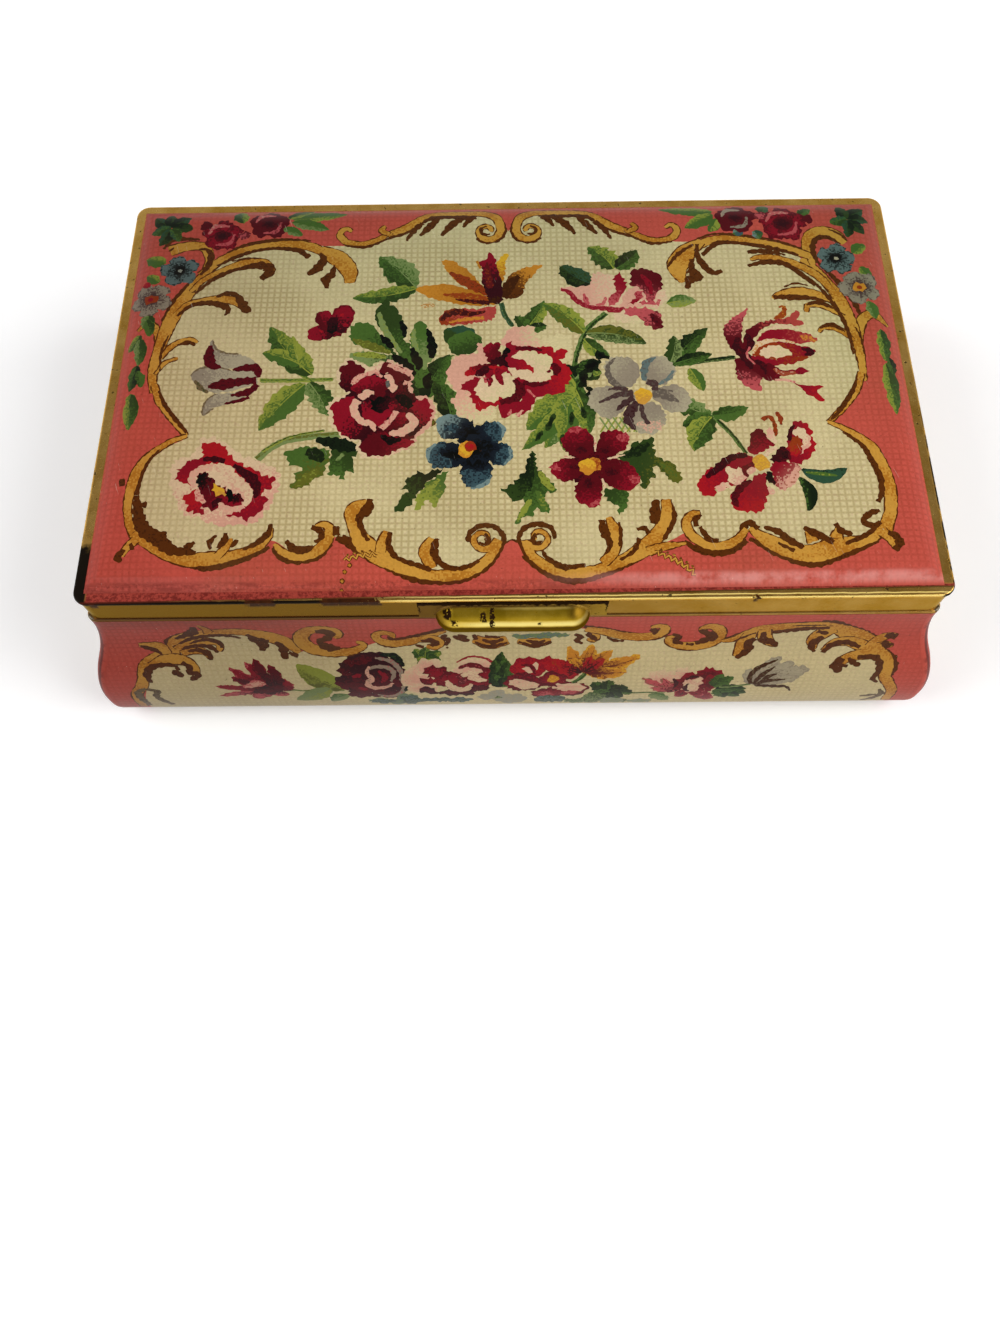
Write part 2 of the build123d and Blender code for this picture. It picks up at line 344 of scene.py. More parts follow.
LACQUER_SHINE = 0.06
STITCH = 0.37
CANVAS_PITCH = 4 * STITCH + 0.01


def gold_ground(r, pale=GOLD_PALE, mid=GOLD, deep=GOLD_DEEP, rough=0.2):
    """Cloudy gold lacquer with pinprick tarnish. Returns colour, roughness and grain."""
    cloud = r.noise(7.0, 4.0, 0.6)
    grain = r.noise(0.4, 3.0, 0.65)
    colour = r.mix(r.step(cloud, 0.25, 0.75), deep, mid)
    colour = r.mix(r.times(r.step(grain, 0.5, 0.75), 0.35), colour, pale)
    pricks = r.step(r.noise(0.6, 1.0), 0.715, 0.76)
    colour = r.mix(r.times(pricks, 0.7), colour, TARNISH)
    roughness = r.plus(rough, r.times(cloud, 0.1), r.times(pricks, 0.3))
    return colour, roughness, grain


def gold_tin(name, **tones):
    r = Recipe(name)
    colour, roughness, grain = gold_ground(r, **tones)
    r.bump(grain, TIN_GRAIN)
    return r.finish(colour, roughness, 1.0, Specular_Tint=GOLD_EDGE)


def paint(node, material):
    for slot in nodes[node].material_slots:
        slot.material = material


paint("bottom_plate", gold_tin("lacquered_tin_bottom"))
print("gold tin ready")

# %% [markdown]
# ## The lid's metal
# Only the cushion of the lid is pink, printed a little askew, so at the left its edge runs
# out over the flat ledge. The bead and the upright skirt are gold, the skirt darkened by
# painted shade, most at the left, with black cracks along the sharp bends, rust at two
# spots of the front edge and a bare black patch on the left corner.
# %% The lid's metal
CUSHION_FOOT = 51.52
SKIRT_TOP = 50.7
HEM_TOP = 43.75
LEDGE_BACK = -53.0
PRINT_EDGE = -54.9
PRINT_SLANT = 0.0108


def canvas_lines(r, u, v):
    """1 on the threads of the printed canvas, 0 in the middle of its squares."""
    def thread(value):
        turn = r.math("FRACT", r.times(value, 1 / CANVAS_PITCH))
        away = r.times(r.size(r.minus(turn, 0.5)), 2.0)
        return r.step(away, 0.3, 1.0)

    return r.most(thread(u), thread(v))


def pink_ground(r, u, v):
    """The pink print with its canvas lines and specks."""
    cloud = r.noise(14.0, 3.0)
    colour = r.mix(r.times(r.step(cloud, 0.35, 0.75), 0.35), PINK, PINK_DEEP)
    lines = canvas_lines(r, u, v)
    colour = r.mix(r.times(lines, 0.1), colour, WEAVE_RED)
    specks = r.step(r.noise(0.8, 1.0), 0.715, 0.76)
    return r.mix(r.times(specks, 0.5), colour, SPECK_BROWN)


def gold_shade_amount(r):
    """How much painted shade darkens the upright gold: some all over, most at the left."""
    return r.plus(0.48, r.times(r.step(r.x, 70.0, -40.0), 0.5))


def lid_finish():
    r = Recipe("printed_tin_lid")
    gold, roughness, grain = gold_ground(r)
    # The skirt hangs below the bead and is darkened by painted shade, with a red line along its hem.
    skirt = r.step(r.z, SKIRT_TOP, SKIRT_TOP - 0.5)
    gold = r.mix(r.times(skirt, gold_shade_amount(r)), gold, SHADED_GOLD)
    hem_line = r.times(
        skirt, r.step(r.z, HEM_TOP, HEM_TOP - 0.3), r.step(r.x, 0.0, -60.0),
        r.step(r.noise(2.0, 3.0), 0.3, 0.5),
    )
    gold = r.mix(r.times(hem_line, 0.85), gold, HEM_RED)
    # The front ledge, the edge of the pink print on it with a painted shadow line along it, and fine dark
    # lines.
    front = r.step(r.y, LEDGE_BACK, LEDGE_BACK - 0.6)
    ledge = r.times(front, r.step(r.z, 50.9, 51.3))
    wander = r.wobble(0.5, 5.0, 4.0, 0.6)
    print_edge = r.plus(PRINT_EDGE, r.times(r.x, PRINT_SLANT))
    off_edge = r.plus(r.minus(r.y, print_edge), r.times(wander, 0.4))
    foot_shadow = r.times(ledge, r.band(off_edge, -0.28, 0.12, 0.12), 0.6)
    fine_line = r.times(
        ledge, r.band(r.plus(r.y, wander), -55.92, -55.8, 0.07), r.step(r.noise(7.0, 3.0), 0.4, 0.6)
    )
    # Black wear: a crack along the bead at the left, the bare corners and the right end.
    left_side = r.step(r.x, -28.0, -34.0)
    crack = r.times(left_side, r.step(r.y, -55.6, -55.9), r.band(r.plus(r.z, wander), 50.1, 51.6, 0.12))
    left_end = r.times(
        r.step(r.x, -66.0, -76.0), r.step(r.plus(r.y, wander), -55.3, -55.6), r.step(r.z, 50.0, 50.4)
    )
    torn = r.plus(r.y, r.times(r.noise(4.0, 4.0, 0.7), 12.0))
    corner = r.times(r.step(r.x, -91.3, -91.8), r.step(torn, -33.0, -38.0))
    left_patch = r.times(corner, r.step(r.z, 49.4, 49.9), r.step(r.noise(1.8, 4.0, 0.7), 0.16, 0.24))
    toward_corner = r.plus(r.x, r.times(r.y, -1.0), r.times(wander, 2.0))
    right_corner = r.times(
        r.step(toward_corner, 147.2, 148.2), r.step(r.z, 51.5, 51.4), r.step(r.z, 49.4, 50.0)
    )
    right_line = r.times(
        r.step(r.x, 93.7, 94.1), r.step(r.noise(5.0, 3.0), 0.4, 0.52), r.step(r.z, 50.2, 50.6),
        r.step(r.y, 20.0, -30.0),
    )
    # Rust spots where the front ledge meets the bead, each a centre and a half width.
    spots = None
    for centre, half in ((-54.1, 3.0), (-34.8, 6.4), (-90.2, 0.8), (52.0, 0.5)):
        off = r.plus(r.x, r.wobble(4.0, 1.3, 4.0, 0.7))
        near = r.times(r.band(off, centre - half, centre + half, 0.3), r.step(r.y, -54.9, -55.6))
        near = r.times(near, r.step(r.z, 48.2, 49.4), r.step(r.noise(0.9, 3.0, 0.7), 0.32, 0.4))
        spots = near if spots is None else r.most(spots, near)
    chips = r.times(r.step(r.noise(1.1, 2.0), 0.67, 0.7), r.step(r.z, 50.3, 50.9), 0.9)
    dark = r.most(crack, left_end, left_patch, right_corner, right_line, spots, chips, fine_line)
    # Two painted highlight lines on the right part of the ledge.
    right = r.step(r.x, -34.0, -22.0)
    back_line = r.times(r.band(r.plus(r.y, wander), -55.5, -55.2, 0.12), right)
    front_line = r.times(r.band(r.y, -56.2, -55.98, 0.08), right)
    ledge_highlights = r.times(ledge, r.most(back_line, front_line))
    gold = r.mix(r.times(ledge_highlights, 0.9), gold, LEDGE_HIGHLIGHT)
    colour = r.mix(dark, gold, r.mix(r.times(spots, r.noise(1.0), 0.6), BLACKENED, RUST))
    # Pink ink on the cushion, darkened by grime and painted shade where it runs over the ledge.
    printed = r.most(
        r.step(r.z, CUSHION_FOOT, CUSHION_FOOT + 0.08), r.times(ledge, r.step(off_edge, -0.08, 0.08))
    )
    cushion = r.times(printed, r.step(r.split(r.coords.outputs["Normal"])[2], 0.0, 0.2))
    cushion = r.times(cushion, r.rest(left_patch))
    grime_and_shade = r.times(ledge, r.plus(0.45, r.times(r.step(r.noise(0.7, 4.0, 0.7), 0.4, 0.62), 0.5)))
    pink = r.mix(grime_and_shade, pink_ground(r, r.x, r.y), GRIME_AND_SHADE_RED)
    colour = r.mix(foot_shadow, r.mix(cushion, colour, pink), FOOT_SHADOW_BROWN)
    # Ink and rust are not metal, and the painted highlight lines only partly mirror.
    metal = r.times(r.rest(cushion), r.rest(r.times(dark, 0.95)))
    metal = r.times(metal, r.rest(r.times(ledge_highlights, 0.7)))
    r.bump(r.plus(grain, r.times(dark, -1.5)), TIN_GRAIN)
    shine = r.blend(cushion, r.plus(roughness, r.times(dark, 0.3)), PRINT_ROUGHNESS)
    return r.finish(colour, shine, metal, Specular_IOR_Level=LACQUER_SHINE, Specular_Tint=GOLD_EDGE)


paint("lid_shell", lid_finish())

# %% [markdown]
# ## The body's metal
# Outside, the wall is printed pink up to its shoulder. The shoulder, the neck and the
# whole inside stay gold, the shoulder darkened by painted shade, most at the left. Painted
# shade darkens the four upright corners along the bend, which are also worn in patches.
# %% The body's metal
PRINT_TOP = 42.6
HALF_RIM = {"x": 94.5, "y": 56.25}
WALL_SHADE_TINT = (242, 238, 236)
WALL_LEFT_SHADE_TINT = (216, 214, 214)
WALL_TOP_LEFT_SHADE_TINT = (222, 214, 196)
DUST = (170, 156, 146)
CORNER_SHADE_RED = (74, 26, 24)
BEND_WORN = (96, 34, 28)
EDGE_LINE = (84, 26, 18)
NUB_DARK = (36, 28, 22)
NUB_PALE = (84, 78, 68)


def wall_shade_and_dust(r, colour):
    """The walls' inks under painted shade, darkest at the left and top left, and dusty at the foot."""
    on_wall = r.step(r.z, 47.0, 45.0)
    colour = r.shade(colour, on_wall, WALL_SHADE_TINT)
    colour = r.shade(colour, r.times(on_wall, r.step(r.x, 10.0, -70.0)), WALL_LEFT_SHADE_TINT)
    colour = r.shade(
        colour, r.times(on_wall, r.step(r.z, 36.0, 42.0), r.step(r.x, -30.0, -70.0)), WALL_TOP_LEFT_SHADE_TINT
    )
    dust = r.times(r.step(r.z, 12.0, 1.5), r.plus(0.16, r.times(r.noise(6.0, 3.0), 0.3)))
    return r.mix(dust, colour, DUST)


def wall_finish():
    r = Recipe("printed_tin_body")
    gold, roughness, grain = gold_ground(r)
    outside = r.step(r.outward(), -1.0, 1.0)
    ragged = r.plus(r.z, r.wobble(0.25, 1.5, 3.0))
    pink_part = r.times(outside, r.step(ragged, PRINT_TOP + 0.08, PRINT_TOP - 0.08))
    # How far a point is from the mitre of two walls: 0 on the upright corner.
    ax, ay = r.size(r.x), r.size(r.y)
    slope = r.size(r.minus(r.minus(ax, HALF_RIM["x"]), r.minus(ay, HALF_RIM["y"])))
    # Painted shade darkens the print along each upright corner; a wider band is worn in patches.
    edge = r.times(r.step(slope, 1.0, 0.35), pink_part)
    worn_edge = r.times(r.step(slope, 2.4, 0.8), pink_part, r.step(r.noise(2.2, 3.0, 0.7), 0.52, 0.6))
    # The print under painted shade and dust, then its corners.
    pink = wall_shade_and_dust(r, pink_ground(r, r.plus(r.x, r.y), r.z))
    pink = r.mix(r.times(edge, 0.85), pink, CORNER_SHADE_RED)
    pink = r.mix(r.times(worn_edge, 0.6), pink, BEND_WORN)
    # Between the print's top and the lid: shoulder in painted shade, dark line and corner nubs.
    shoulder = r.times(outside, r.step(r.z, 42.5, 42.7), r.step(r.z, 43.6, 43.3))
    print_line = r.times(pink_part, r.step(ragged, 42.1, 42.35), r.step(r.noise(6.0, 3.0), 0.25, 0.5))
    nub = r.times(r.step(slope, 1.6, 1.0), r.band(r.z, 42.7, 43.9, 0.15), outside)
    gold = r.mix(r.times(shoulder, gold_shade_amount(r)), gold, SHADED_GOLD)
    colour = r.mix(r.times(print_line, 0.7), r.mix(pink_part, gold, pink), EDGE_LINE)
    colour = r.mix(nub, colour, r.mix(r.step(r.noise(0.8), 0.4, 0.6), NUB_DARK, NUB_PALE))
    r.bump(grain, TIN_GRAIN)
    metal = r.rest(pink_part)
    return r.finish(
        colour, r.blend(pink_part, roughness, PRINT_ROUGHNESS), metal, Specular_IOR_Level=LACQUER_SHINE,
        Specular_Tint=GOLD_EDGE,
    )


paint("body_wall", wall_finish())

# %% [markdown]
# ## Pull and hinges
# The finger pull is the most handled piece, so its gold is brightest and smoothest. The
# ridge that fingers polish is palest, and the lacquer stays brown in the hollow above it
# and under its lip. Black chips show where it was scratched, and a dark crust grew along
# the slit it comes out of. The hinge strips are plain gold tin and the pins grey wire.
# %% Pull and hinges
PLATE_FRONT = -56.4
PLATE_HALF = 20.5
OLIVE_TOP_SHADE = (142, 114, 14)
TOP_EDGE_HIGHLIGHT = (255, 224, 120)
RIDGE_HIGHLIGHT = (244, 226, 138)
UNDER_RIDGE_SHADE = (58, 36, 6)
END_SHADE = (84, 58, 6)
RIGHT_END_SHADE = (112, 84, 24)
CHIP_BLACK = (34, 18, 6)


def pull_finish():
    r = Recipe("gold_tin_pull")
    colour, roughness, grain = gold_ground(
        r, pale=(246, 220, 120), mid=(222, 186, 66), deep=(196, 158, 44), rough=0.24
    )
    # Painted light by how the cup leans: olive top, highlights on edge and ridge, shade below.
    lean = r.plus(r.split(r.coords.outputs["Normal"])[2], r.wobble(0.06, 5.0, 3.0))
    cup = r.step(r.y, PLATE_FRONT, PLATE_FRONT - 0.5)
    patchy = r.plus(0.62, r.times(r.step(r.noise(6.0, 4.0, 0.6), 0.35, 0.65), 0.3))
    colour = r.mix(r.times(cup, r.step(lean, 0.6, 0.72), patchy), colour, OLIVE_TOP_SHADE)
    colour = r.mix(
        r.times(cup, r.step(lean, 0.95, 0.99), r.step(r.x, -6.0, 0.0), 0.75), colour, TOP_EDGE_HIGHLIGHT
    )
    colour = r.mix(
        r.times(cup, r.band(lean, 0.42, 0.62, 0.08), r.step(r.x, -16.0, -5.0), 0.85), colour,
        RIDGE_HIGHLIGHT,
    )
    colour = r.mix(r.times(cup, r.step(lean, 0.46, 0.3), 0.95), colour, UNDER_RIDGE_SHADE)
    # Painted shade darkens the cup's two ends, the right end most, and the plate round it.
    ends = r.step(r.size(r.x), 12.6, 15.6)
    colour = r.mix(r.times(cup, ends, 0.8), colour, END_SHADE)
    shade_end = r.times(cup, r.step(r.x, 11.0, 13.2), r.step(lean, 0.66, 0.8))
    colour = r.mix(r.times(shade_end, 0.8), colour, RIGHT_END_SHADE)
    plate = r.step(r.y, PLATE_FRONT - 0.5, PLATE_FRONT)
    colour = r.mix(r.times(plate, gold_shade_amount(r)), colour, SHADED_GOLD)
    # Chips: each a centre, a half width and the heights it spans.
    chips = None
    for centre, half, low, high in (
        (-14.2, 0.9, 47.4, 48.9), (-12.6, 0.7, 46.4, 47.6), (-6.4, 0.7, 47.2, 48.6),
        (-4.4, 0.5, 46.0, 48.9), (5.9, 0.5, 46.6, 47.1),
    ):
        across_x = r.plus(r.x, r.wobble(1.6, 0.9, 3.0, 0.7))
        chip = r.times(r.band(across_x, centre - half, centre + half, 0.15), r.band(r.z, low, high, 0.2))
        chip = r.times(chip, cup, r.step(r.noise(0.7, 2.0), 0.36, 0.44))
        chips = chip if chips is None else r.most(chips, chip)
    # Dark crust along the plate's edges, and a dark band along its top under the slit.
    edges = r.band(r.plus(r.size(r.x), r.wobble(2.2, 1.6, 4.0, 0.7)), PLATE_HALF - 0.35, PLATE_HALF, 0.12)
    vein = r.times(edges, r.step(r.z, 44.8, 46.0))
    top_line = r.times(
        r.step(r.plus(r.z, r.times(r.noise(1.2), 1.1)), 49.2, 49.6), r.step(r.y, -57.0, -56.4)
    )
    dark = r.most(chips, vein, top_line)
    colour = r.mix(dark, colour, CHIP_BLACK)
    r.bump(r.plus(grain, r.times(dark, -0.6)), 0.01)
    roughness = r.plus(roughness, r.times(ends, 0.26), 0.06)
    return r.finish(
        colour, r.plus(roughness, r.times(dark, 0.4)), r.blend(dark, 1.0, 0.05),
        Specular_IOR_Level=LACQUER_SHINE, Specular_Tint=GOLD_EDGE,
    )


paint("finger_pull", pull_finish())
strip = gold_tin("hinge_strip", pale=(206, 190, 140), mid=(176, 152, 84), deep=(122, 98, 44))
wire = gold_tin("hinge_wire", pale=(200, 200, 196), mid=(160, 158, 150), deep=(108, 104, 96), rough=0.24)
for side in ("left", "right"):
    paint("lid_hinge_leaf_" + side, strip)
    paint("body_hinge_leaf_" + side, strip)
    paint("hinge_pin_" + side, wire)
print("metals ready")

# %% [markdown]
# ## Inks
# The picture imitates petit point: a few flat inks, stippled into each other so that
# they read as shades. Each ink gets a plain name here.
# %% Inks
INKS = {
    "pink": PINK, "cream": (201, 186, 138), "gold": (190, 138, 54), "amber": (168, 106, 28),
    "brown": (84, 42, 8), "umber": (58, 26, 4), "black": (8, 8, 6),
    "leaf": (66, 94, 36), "moss": (42, 60, 22), "night": (18, 28, 12), "lime": (132, 140, 52),
    "sage": (114, 130, 74), "teal": (42, 72, 50), "olive": (88, 90, 28),
    "red": (158, 20, 28), "crimson": (128, 14, 30), "wine": (82, 10, 18), "maroon": (48, 8, 14),
    "rose": (178, 76, 78), "blush": (204, 152, 128), "petal": (206, 180, 142), "coral": (164, 62, 54),
    "orange": (190, 124, 38), "rust": (136, 50, 16), "yellow": (204, 156, 40),
    "white": (160, 150, 122), "lilac": (136, 124, 104), "steel": (88, 78, 68), "smoke": (104, 86, 58),
    "plum": (66, 44, 42),
    "blue": (54, 78, 84), "sky": (108, 128, 124), "mist": (138, 140, 124), "slate": (88, 104, 100),
    "navy": (18, 24, 32),
}
INK_VALUES = {name: linear(value) for name, value in INKS.items()}

# %% [markdown]
# ## A drawing kit
# Printed art is drawn the way an engraver lays it out: closed outlines, one over the
# other, each filled with one ink that fades into a second. Outlines are measured in
# millimetres on the flat sheet. Edges are made slightly ragged, like a row of stitches.
# %% Outlines and strokes
class Sheet:
    """The outlines laid on one printed face, in painter's order."""

    def __init__(self, name, seed):
        self.name, self.shapes, self.rng = name, [], random.Random(seed)
        self.seat = (0.0, 0.0, 0.0, 1.0, 1.0)

    def at(self, x=0.0, y=0.0, turn=0.0, size=1.0, flip=False):
        """Draws what follows at this place, turned and scaled."""
        self.seat = (x, y, math.radians(turn), -size if flip else size, size)
        return self

    def lay(self, outline, main, second=None, mix=None, canvas=0.15):
        """Adds a closed outline. Its ink turns into the second one as mix rises from 0 to 1."""
        x, y, turn, sx, sy = self.seat
        points = np.asarray(outline, float) * (sx, sy)
        c, s = math.cos(turn), math.sin(turn)
        placed = points @ np.array([[c, s], [-s, c]]) + (x, y)
        self.shapes.append((placed, main, second or main, mix, self.seat, canvas))


def unseat(points, seat):
    """Points of the sheet, back in the seat's own measure."""
    x, y, turn, sx, sy = seat
    c, s = math.cos(turn), math.sin(turn)
    return (points - (x, y)) @ np.array([[c, -s], [s, c]]) / (sx, sy)


def evenly(points, step, closed=False):
    """The same line with its points spaced evenly."""
    points = np.asarray(points, float)
    if closed:
        points = np.vstack([points, points[:1]])
    runs = np.hypot(*np.diff(points, axis=0).T)
    reach = np.concatenate([[0], np.cumsum(runs)])
    count = max(int(round(reach[-1] / step)), 4)
    marks = np.linspace(0, reach[-1], count + 1)
    line = np.stack([np.interp(marks, reach, points[:, k]) for k in (0, 1)], 1)
    return line[:-1] if closed else line


def flowing(points, step=0.8):
    """A smooth line through the given points."""
    p = np.asarray(points, float)
    if len(p) < 3:
        return evenly(p, step)
    p = np.vstack([2 * p[0] - p[1], p, 2 * p[-1] - p[-2]])
    t = np.linspace(0, 1, 9)[:-1, None]
    runs = [
        0.5 * (2 * b + (c - a) * t + (2 * a - 5 * b + 4 * c - d) * t**2 + (3 * b - a - 3 * c + d) * t**3)
        for a, b, c, d in zip(p, p[1:], p[2:], p[3:])
    ]
    return evenly(np.vstack(runs + [p[-2:-1]]), step)


def across(line):
    """The unit direction to the left of a line, at each of its points."""
    along = np.gradient(line, axis=0)
    along /= np.maximum(np.hypot(*along.T), 1e-9)[:, None]
    return np.stack([-along[:, 1], along[:, 0]], 1)


def ragged(sheet, outline, amount, step=0.75):
    """Moves the points of a closed outline in and out, like uneven stitches."""
    line = evenly(outline, step, closed=True)
    shift = [amount * (sheet.rng.random() - 0.5) * 2 for _ in line]
    return line + across(np.vstack([line[-1:], line, line[:1]]))[1:-1] * np.array(shift)[:, None]


def ribbon(line, widths, side=0.0):
    """The outline of a line with a width, shifted side times its width to the left."""
    half = np.interp(np.linspace(0, 1, len(line)), np.linspace(0, 1, len(widths)), widths) / 2
    out = across(line)
    left = line + out * (half * (1 + side))[:, None]
    right = line - out * (half * (1 - side))[:, None]
    return np.vstack([left, right[::-1]])


def stroke(sheet, points, widths, main):
    """A plain line of one ink."""
    sheet.lay(ribbon(flowing(points), widths), main)


def level(share):
    """The same share of the second ink all over a shape."""
    return lambda points: np.full(len(points), share)


# %% [markdown]
# ## Petals and leaves
# A petal and a leaf are both a spine with a swelling width. A petal is full and softly
# ragged; a leaf has saw teeth, a dark and a light half, and a pale vein.
# %% Petals and leaves
def fade(base, tip, half, rule):
    """How much of the second ink a point gets, from its place along and across."""
    base, tip = np.asarray(base, float), np.asarray(tip, float)
    span = tip - base
    length = math.hypot(*span)
    u = span / length
    v = np.array([-u[1], u[0]])

    def share(points):
        t = ((points - base) @ u) / length
        w = ((points - base) @ v) / half
        return np.clip(rule(t, w), 0, 1)

    return share


RULES = {
    "base": lambda t, w: 1.15 - 1.5 * t,
    "tip": lambda t, w: 1.6 * t - 0.6,
    "edge": lambda t, w: 1.3 * np.hypot(w, 1.6 * (t - 0.5)) - 0.35,
    "left": lambda t, w: 0.5 + 0.8 * w,
    "right": lambda t, w: 0.5 - 0.8 * w,
    "even": lambda t, w: 0.5 + 0 * t,
    "smudge": lambda t, w: 1.3 * t - 0.35,
}


def petal(
    sheet, base, tip, half, main, second, mix="base", bend=0.0, full=1.0, blunt=2.2, rough=0.22,
    fringe=None, streaks=0, streak_ink="maroon", streak_length=0.62,
):
    """A petal from base to tip, with a fringe of another ink and dark streaks if asked."""
    base, tip = np.asarray(base, float), np.asarray(tip, float)
    span = tip - base
    length = math.hypot(*span)
    out = np.array([-span[1], span[0]]) / length
    t = np.linspace(0, 1, 25)
    swell = (1 - np.abs(2 * t**full - 1) ** blunt) ** (1 / blunt)
    spine = base + t[:, None] * span + (4 * bend * t * (1 - t))[:, None] * out

    def outline(scale):
        line = base + (spine - base) * scale
        wide = (half * scale * swell)[:, None] * out
        return ragged(sheet, np.vstack([line + wide, (line - wide)[::-1]]), rough)

    rule = fade(base, tip, half, RULES[mix])
    if fringe:
        sheet.lay(outline(1.0), fringe, main, fade(base, tip, half, RULES["even"]))
    sheet.lay(outline(0.92 if fringe else 1.0), main, second, rule)
    for k in range(streaks):
        aim = (k + 0.5) / streaks * 2 - 1
        reach = streak_length * (0.75 + 0.5 * sheet.rng.random())
        end = base + span * reach + out * (half * 0.72 * aim + 3 * bend * reach * (1 - reach))
        middle = (base + end) / 2 + out * half * 0.25 * aim
        line = flowing([base + span * 0.04, middle, end], 0.5)
        blur = fade(base, base + span * (reach + 0.1), half, RULES["smudge"])
        sheet.lay(
            ragged(sheet, ribbon(line, [half * 0.5, half * 0.36, 0.15]), 0.14, 0.5), streak_ink, main, blur
        )


def leaf(
    sheet, base, tip, half, dark="moss", light="lime", middle="leaf", bend=0.0, teeth=5, bite=0.35,
    vein=True,
):
    """A saw-toothed leaf: a light ground, a dark half and pale veins."""
    base, tip = np.asarray(base, float), np.asarray(tip, float)
    span = tip - base
    length = math.hypot(*span)
    out = np.array([-span[1], span[0]]) / length
    t = np.linspace(0, 1, max(teeth, 3) * 5 + 1)
    swell = half * 1.06 * np.sin(np.pi * t**0.8) ** 0.7
    spine = base + t[:, None] * span + (4 * bend * t * (1 - t))[:, None] * out
    sides = []
    for side in (1, -1):
        deep = bite * np.array([0.5 + sheet.rng.random() for _ in range(teeth + 1)])
        saw = 1 - deep[(t * teeth).astype(int)] * ((t * teeth) % 1.0) if teeth else 1.0 + 0 * t
        sides.append((side * swell * saw)[:, None] * out)
    ground = np.vstack([spine + sides[0], (spine + sides[1])[::-1]])
    sheet.lay(
        ragged(sheet, ground, 0.16, 0.6), middle, light,
        fade(base, tip, half, lambda t, w: 0.35 - 0.75 * w),
    )
    shade = np.vstack([spine + sides[0] * 0.96, (spine + sides[1] * 0.12)[::-1]])
    sheet.lay(
        ragged(sheet, shade, 0.2, 0.6), dark, middle,
        fade(base, tip, half, lambda t, w: 1.25 * t - 0.25 - 0.3 * np.abs(w)),
    )
    if vein:
        for k in range(1, 4):
            here = int((k + 0.5 * sheet.rng.random()) / 4.4 * (len(t) - 1))
            near = spine[here] - span / length * half * 0.3
            for side, ink, second in ((sides[0], dark, middle), (sides[1], light, middle)):
                far = near + side[here] * 0.8 + span / length * half * 0.7
                line = np.array([near, (near + far) / 2 + span / length * 0.2, far])
                mark = ragged(sheet, ribbon(line, [half * 0.2, half * 0.55, 0.2]), 0.2, 0.5)
                sheet.lay(mark, ink, second, fade(near, far, half, RULES["even"]))
        sheet.lay(
            ribbon(spine[: int(len(t) * 0.7)], [0.34, 0.26, 0.1]), light, middle,
            fade(base, tip, half, RULES["smudge"]),
        )


def stem(sheet, points, width=0.9, ink="leaf", shade="moss"):
    """A thin stalk with one dark side."""
    line = flowing(points)
    sheet.lay(ragged(sheet, ribbon(line, [width * 1.2, width]), 0.12), ink, "sage", level(0.3))
    sheet.lay(
        ragged(sheet, ribbon(line, [width * 0.5, width * 0.5], side=0.8), 0.12), shade, ink, level(0.3)
    )


def blot(sheet, x, y, rx, ry, main, second=None, mix="edge", turn=0.0, rough=0.3):
    """A ragged oval patch."""
    a = np.linspace(0, 2 * np.pi, 40, endpoint=False)
    c, s = math.cos(math.radians(turn)), math.sin(math.radians(turn))
    local = np.stack([rx * np.cos(a), ry * np.sin(a)], 1) @ np.array([[c, s], [-s, c]])
    tip = (x + rx * c, y + rx * s)
    base = (x - rx * c, y - rx * s)
    sheet.lay(ragged(sheet, local + (x, y), rough), main, second, fade(base, tip, ry, RULES[mix]))


# %% [markdown]
# ## Scrollwork
# The gold scrolls are bands that swell and taper and end in a curl. A brown line hems
# the outer side, and a scalloped brown shadow eats into the other side.
# %% Scrollwork
def curl(x, y, radius, start, turns):
    """Points of a spiral that winds in to an eye a quarter as wide."""
    steps = max(int(abs(turns) * 10), 5)
    a = math.radians(start) + np.linspace(0, turns * 2 * np.pi, steps)
    r = radius * np.linspace(1, 0.25, steps)
    return [(x + q * math.cos(b), y + q * math.sin(b)) for b, q in zip(a, r)]


def band(sheet, points, widths, hem=0.28):
    """A gold band of the scrollwork with a thin brown line along both edges."""
    line = flowing(points, 0.7)
    wide = np.interp(np.linspace(0, 1, len(line)), np.linspace(0, 1, len(widths)), widths)
    sheet.lay(ragged(sheet, ribbon(line, wide + 2 * hem), 0.14), "brown")
    sheet.lay(
        ragged(sheet, ribbon(line, wide), 0.14, 0.6), "gold", "amber",
        lambda p: 0.35 + 0.4 * np.sin(p @ (0.35, 0.5)),
    )


def lick(sheet, points, widths=(0.5, 1.3, 0.5), ink="brown", second="umber"):
    """A brown shading stroke of the scrollwork, with beaded edges."""
    line = flowing(points, 0.5)
    wide = np.interp(np.linspace(0, 1, len(line)), np.linspace(0, 1, len(widths)), widths)
    beads = 0.84 + 0.5 * np.abs(np.sin(np.arange(len(line)) * 0.8 + sheet.rng.random() * 3))
    sheet.lay(ragged(sheet, ribbon(line, wide * beads), 0.12, 0.5), ink, second, level(0.2))


def scroll(sheet, points, widths, side=1, shade=0.45, part=(0.1, 0.92)):
    """A band with a brown hem outside and brown shading inside. side 1 shades its left."""
    line = flowing(points, 0.7)
    wide = np.interp(np.linspace(0, 1, len(line)), np.linspace(0, 1, len(widths)), widths)
    out = across(line) * (side * wide / 2)[:, None]
    lick(sheet, (line - out)[::3], [0.4, 1.0, 0.9, 0.5])
    band(sheet, points, 0.86 * np.array(widths))
    first, last = (int(k * (len(line) - 1)) for k in part)
    if shade and last - first > 5:
        inner = (line + out * (1 - 0.7 * shade))[first:last:3]
        lick(sheet, inner, shade * wide[first:last].mean() * np.array([0.5, 1.3, 1.1, 1.3, 0.5]))


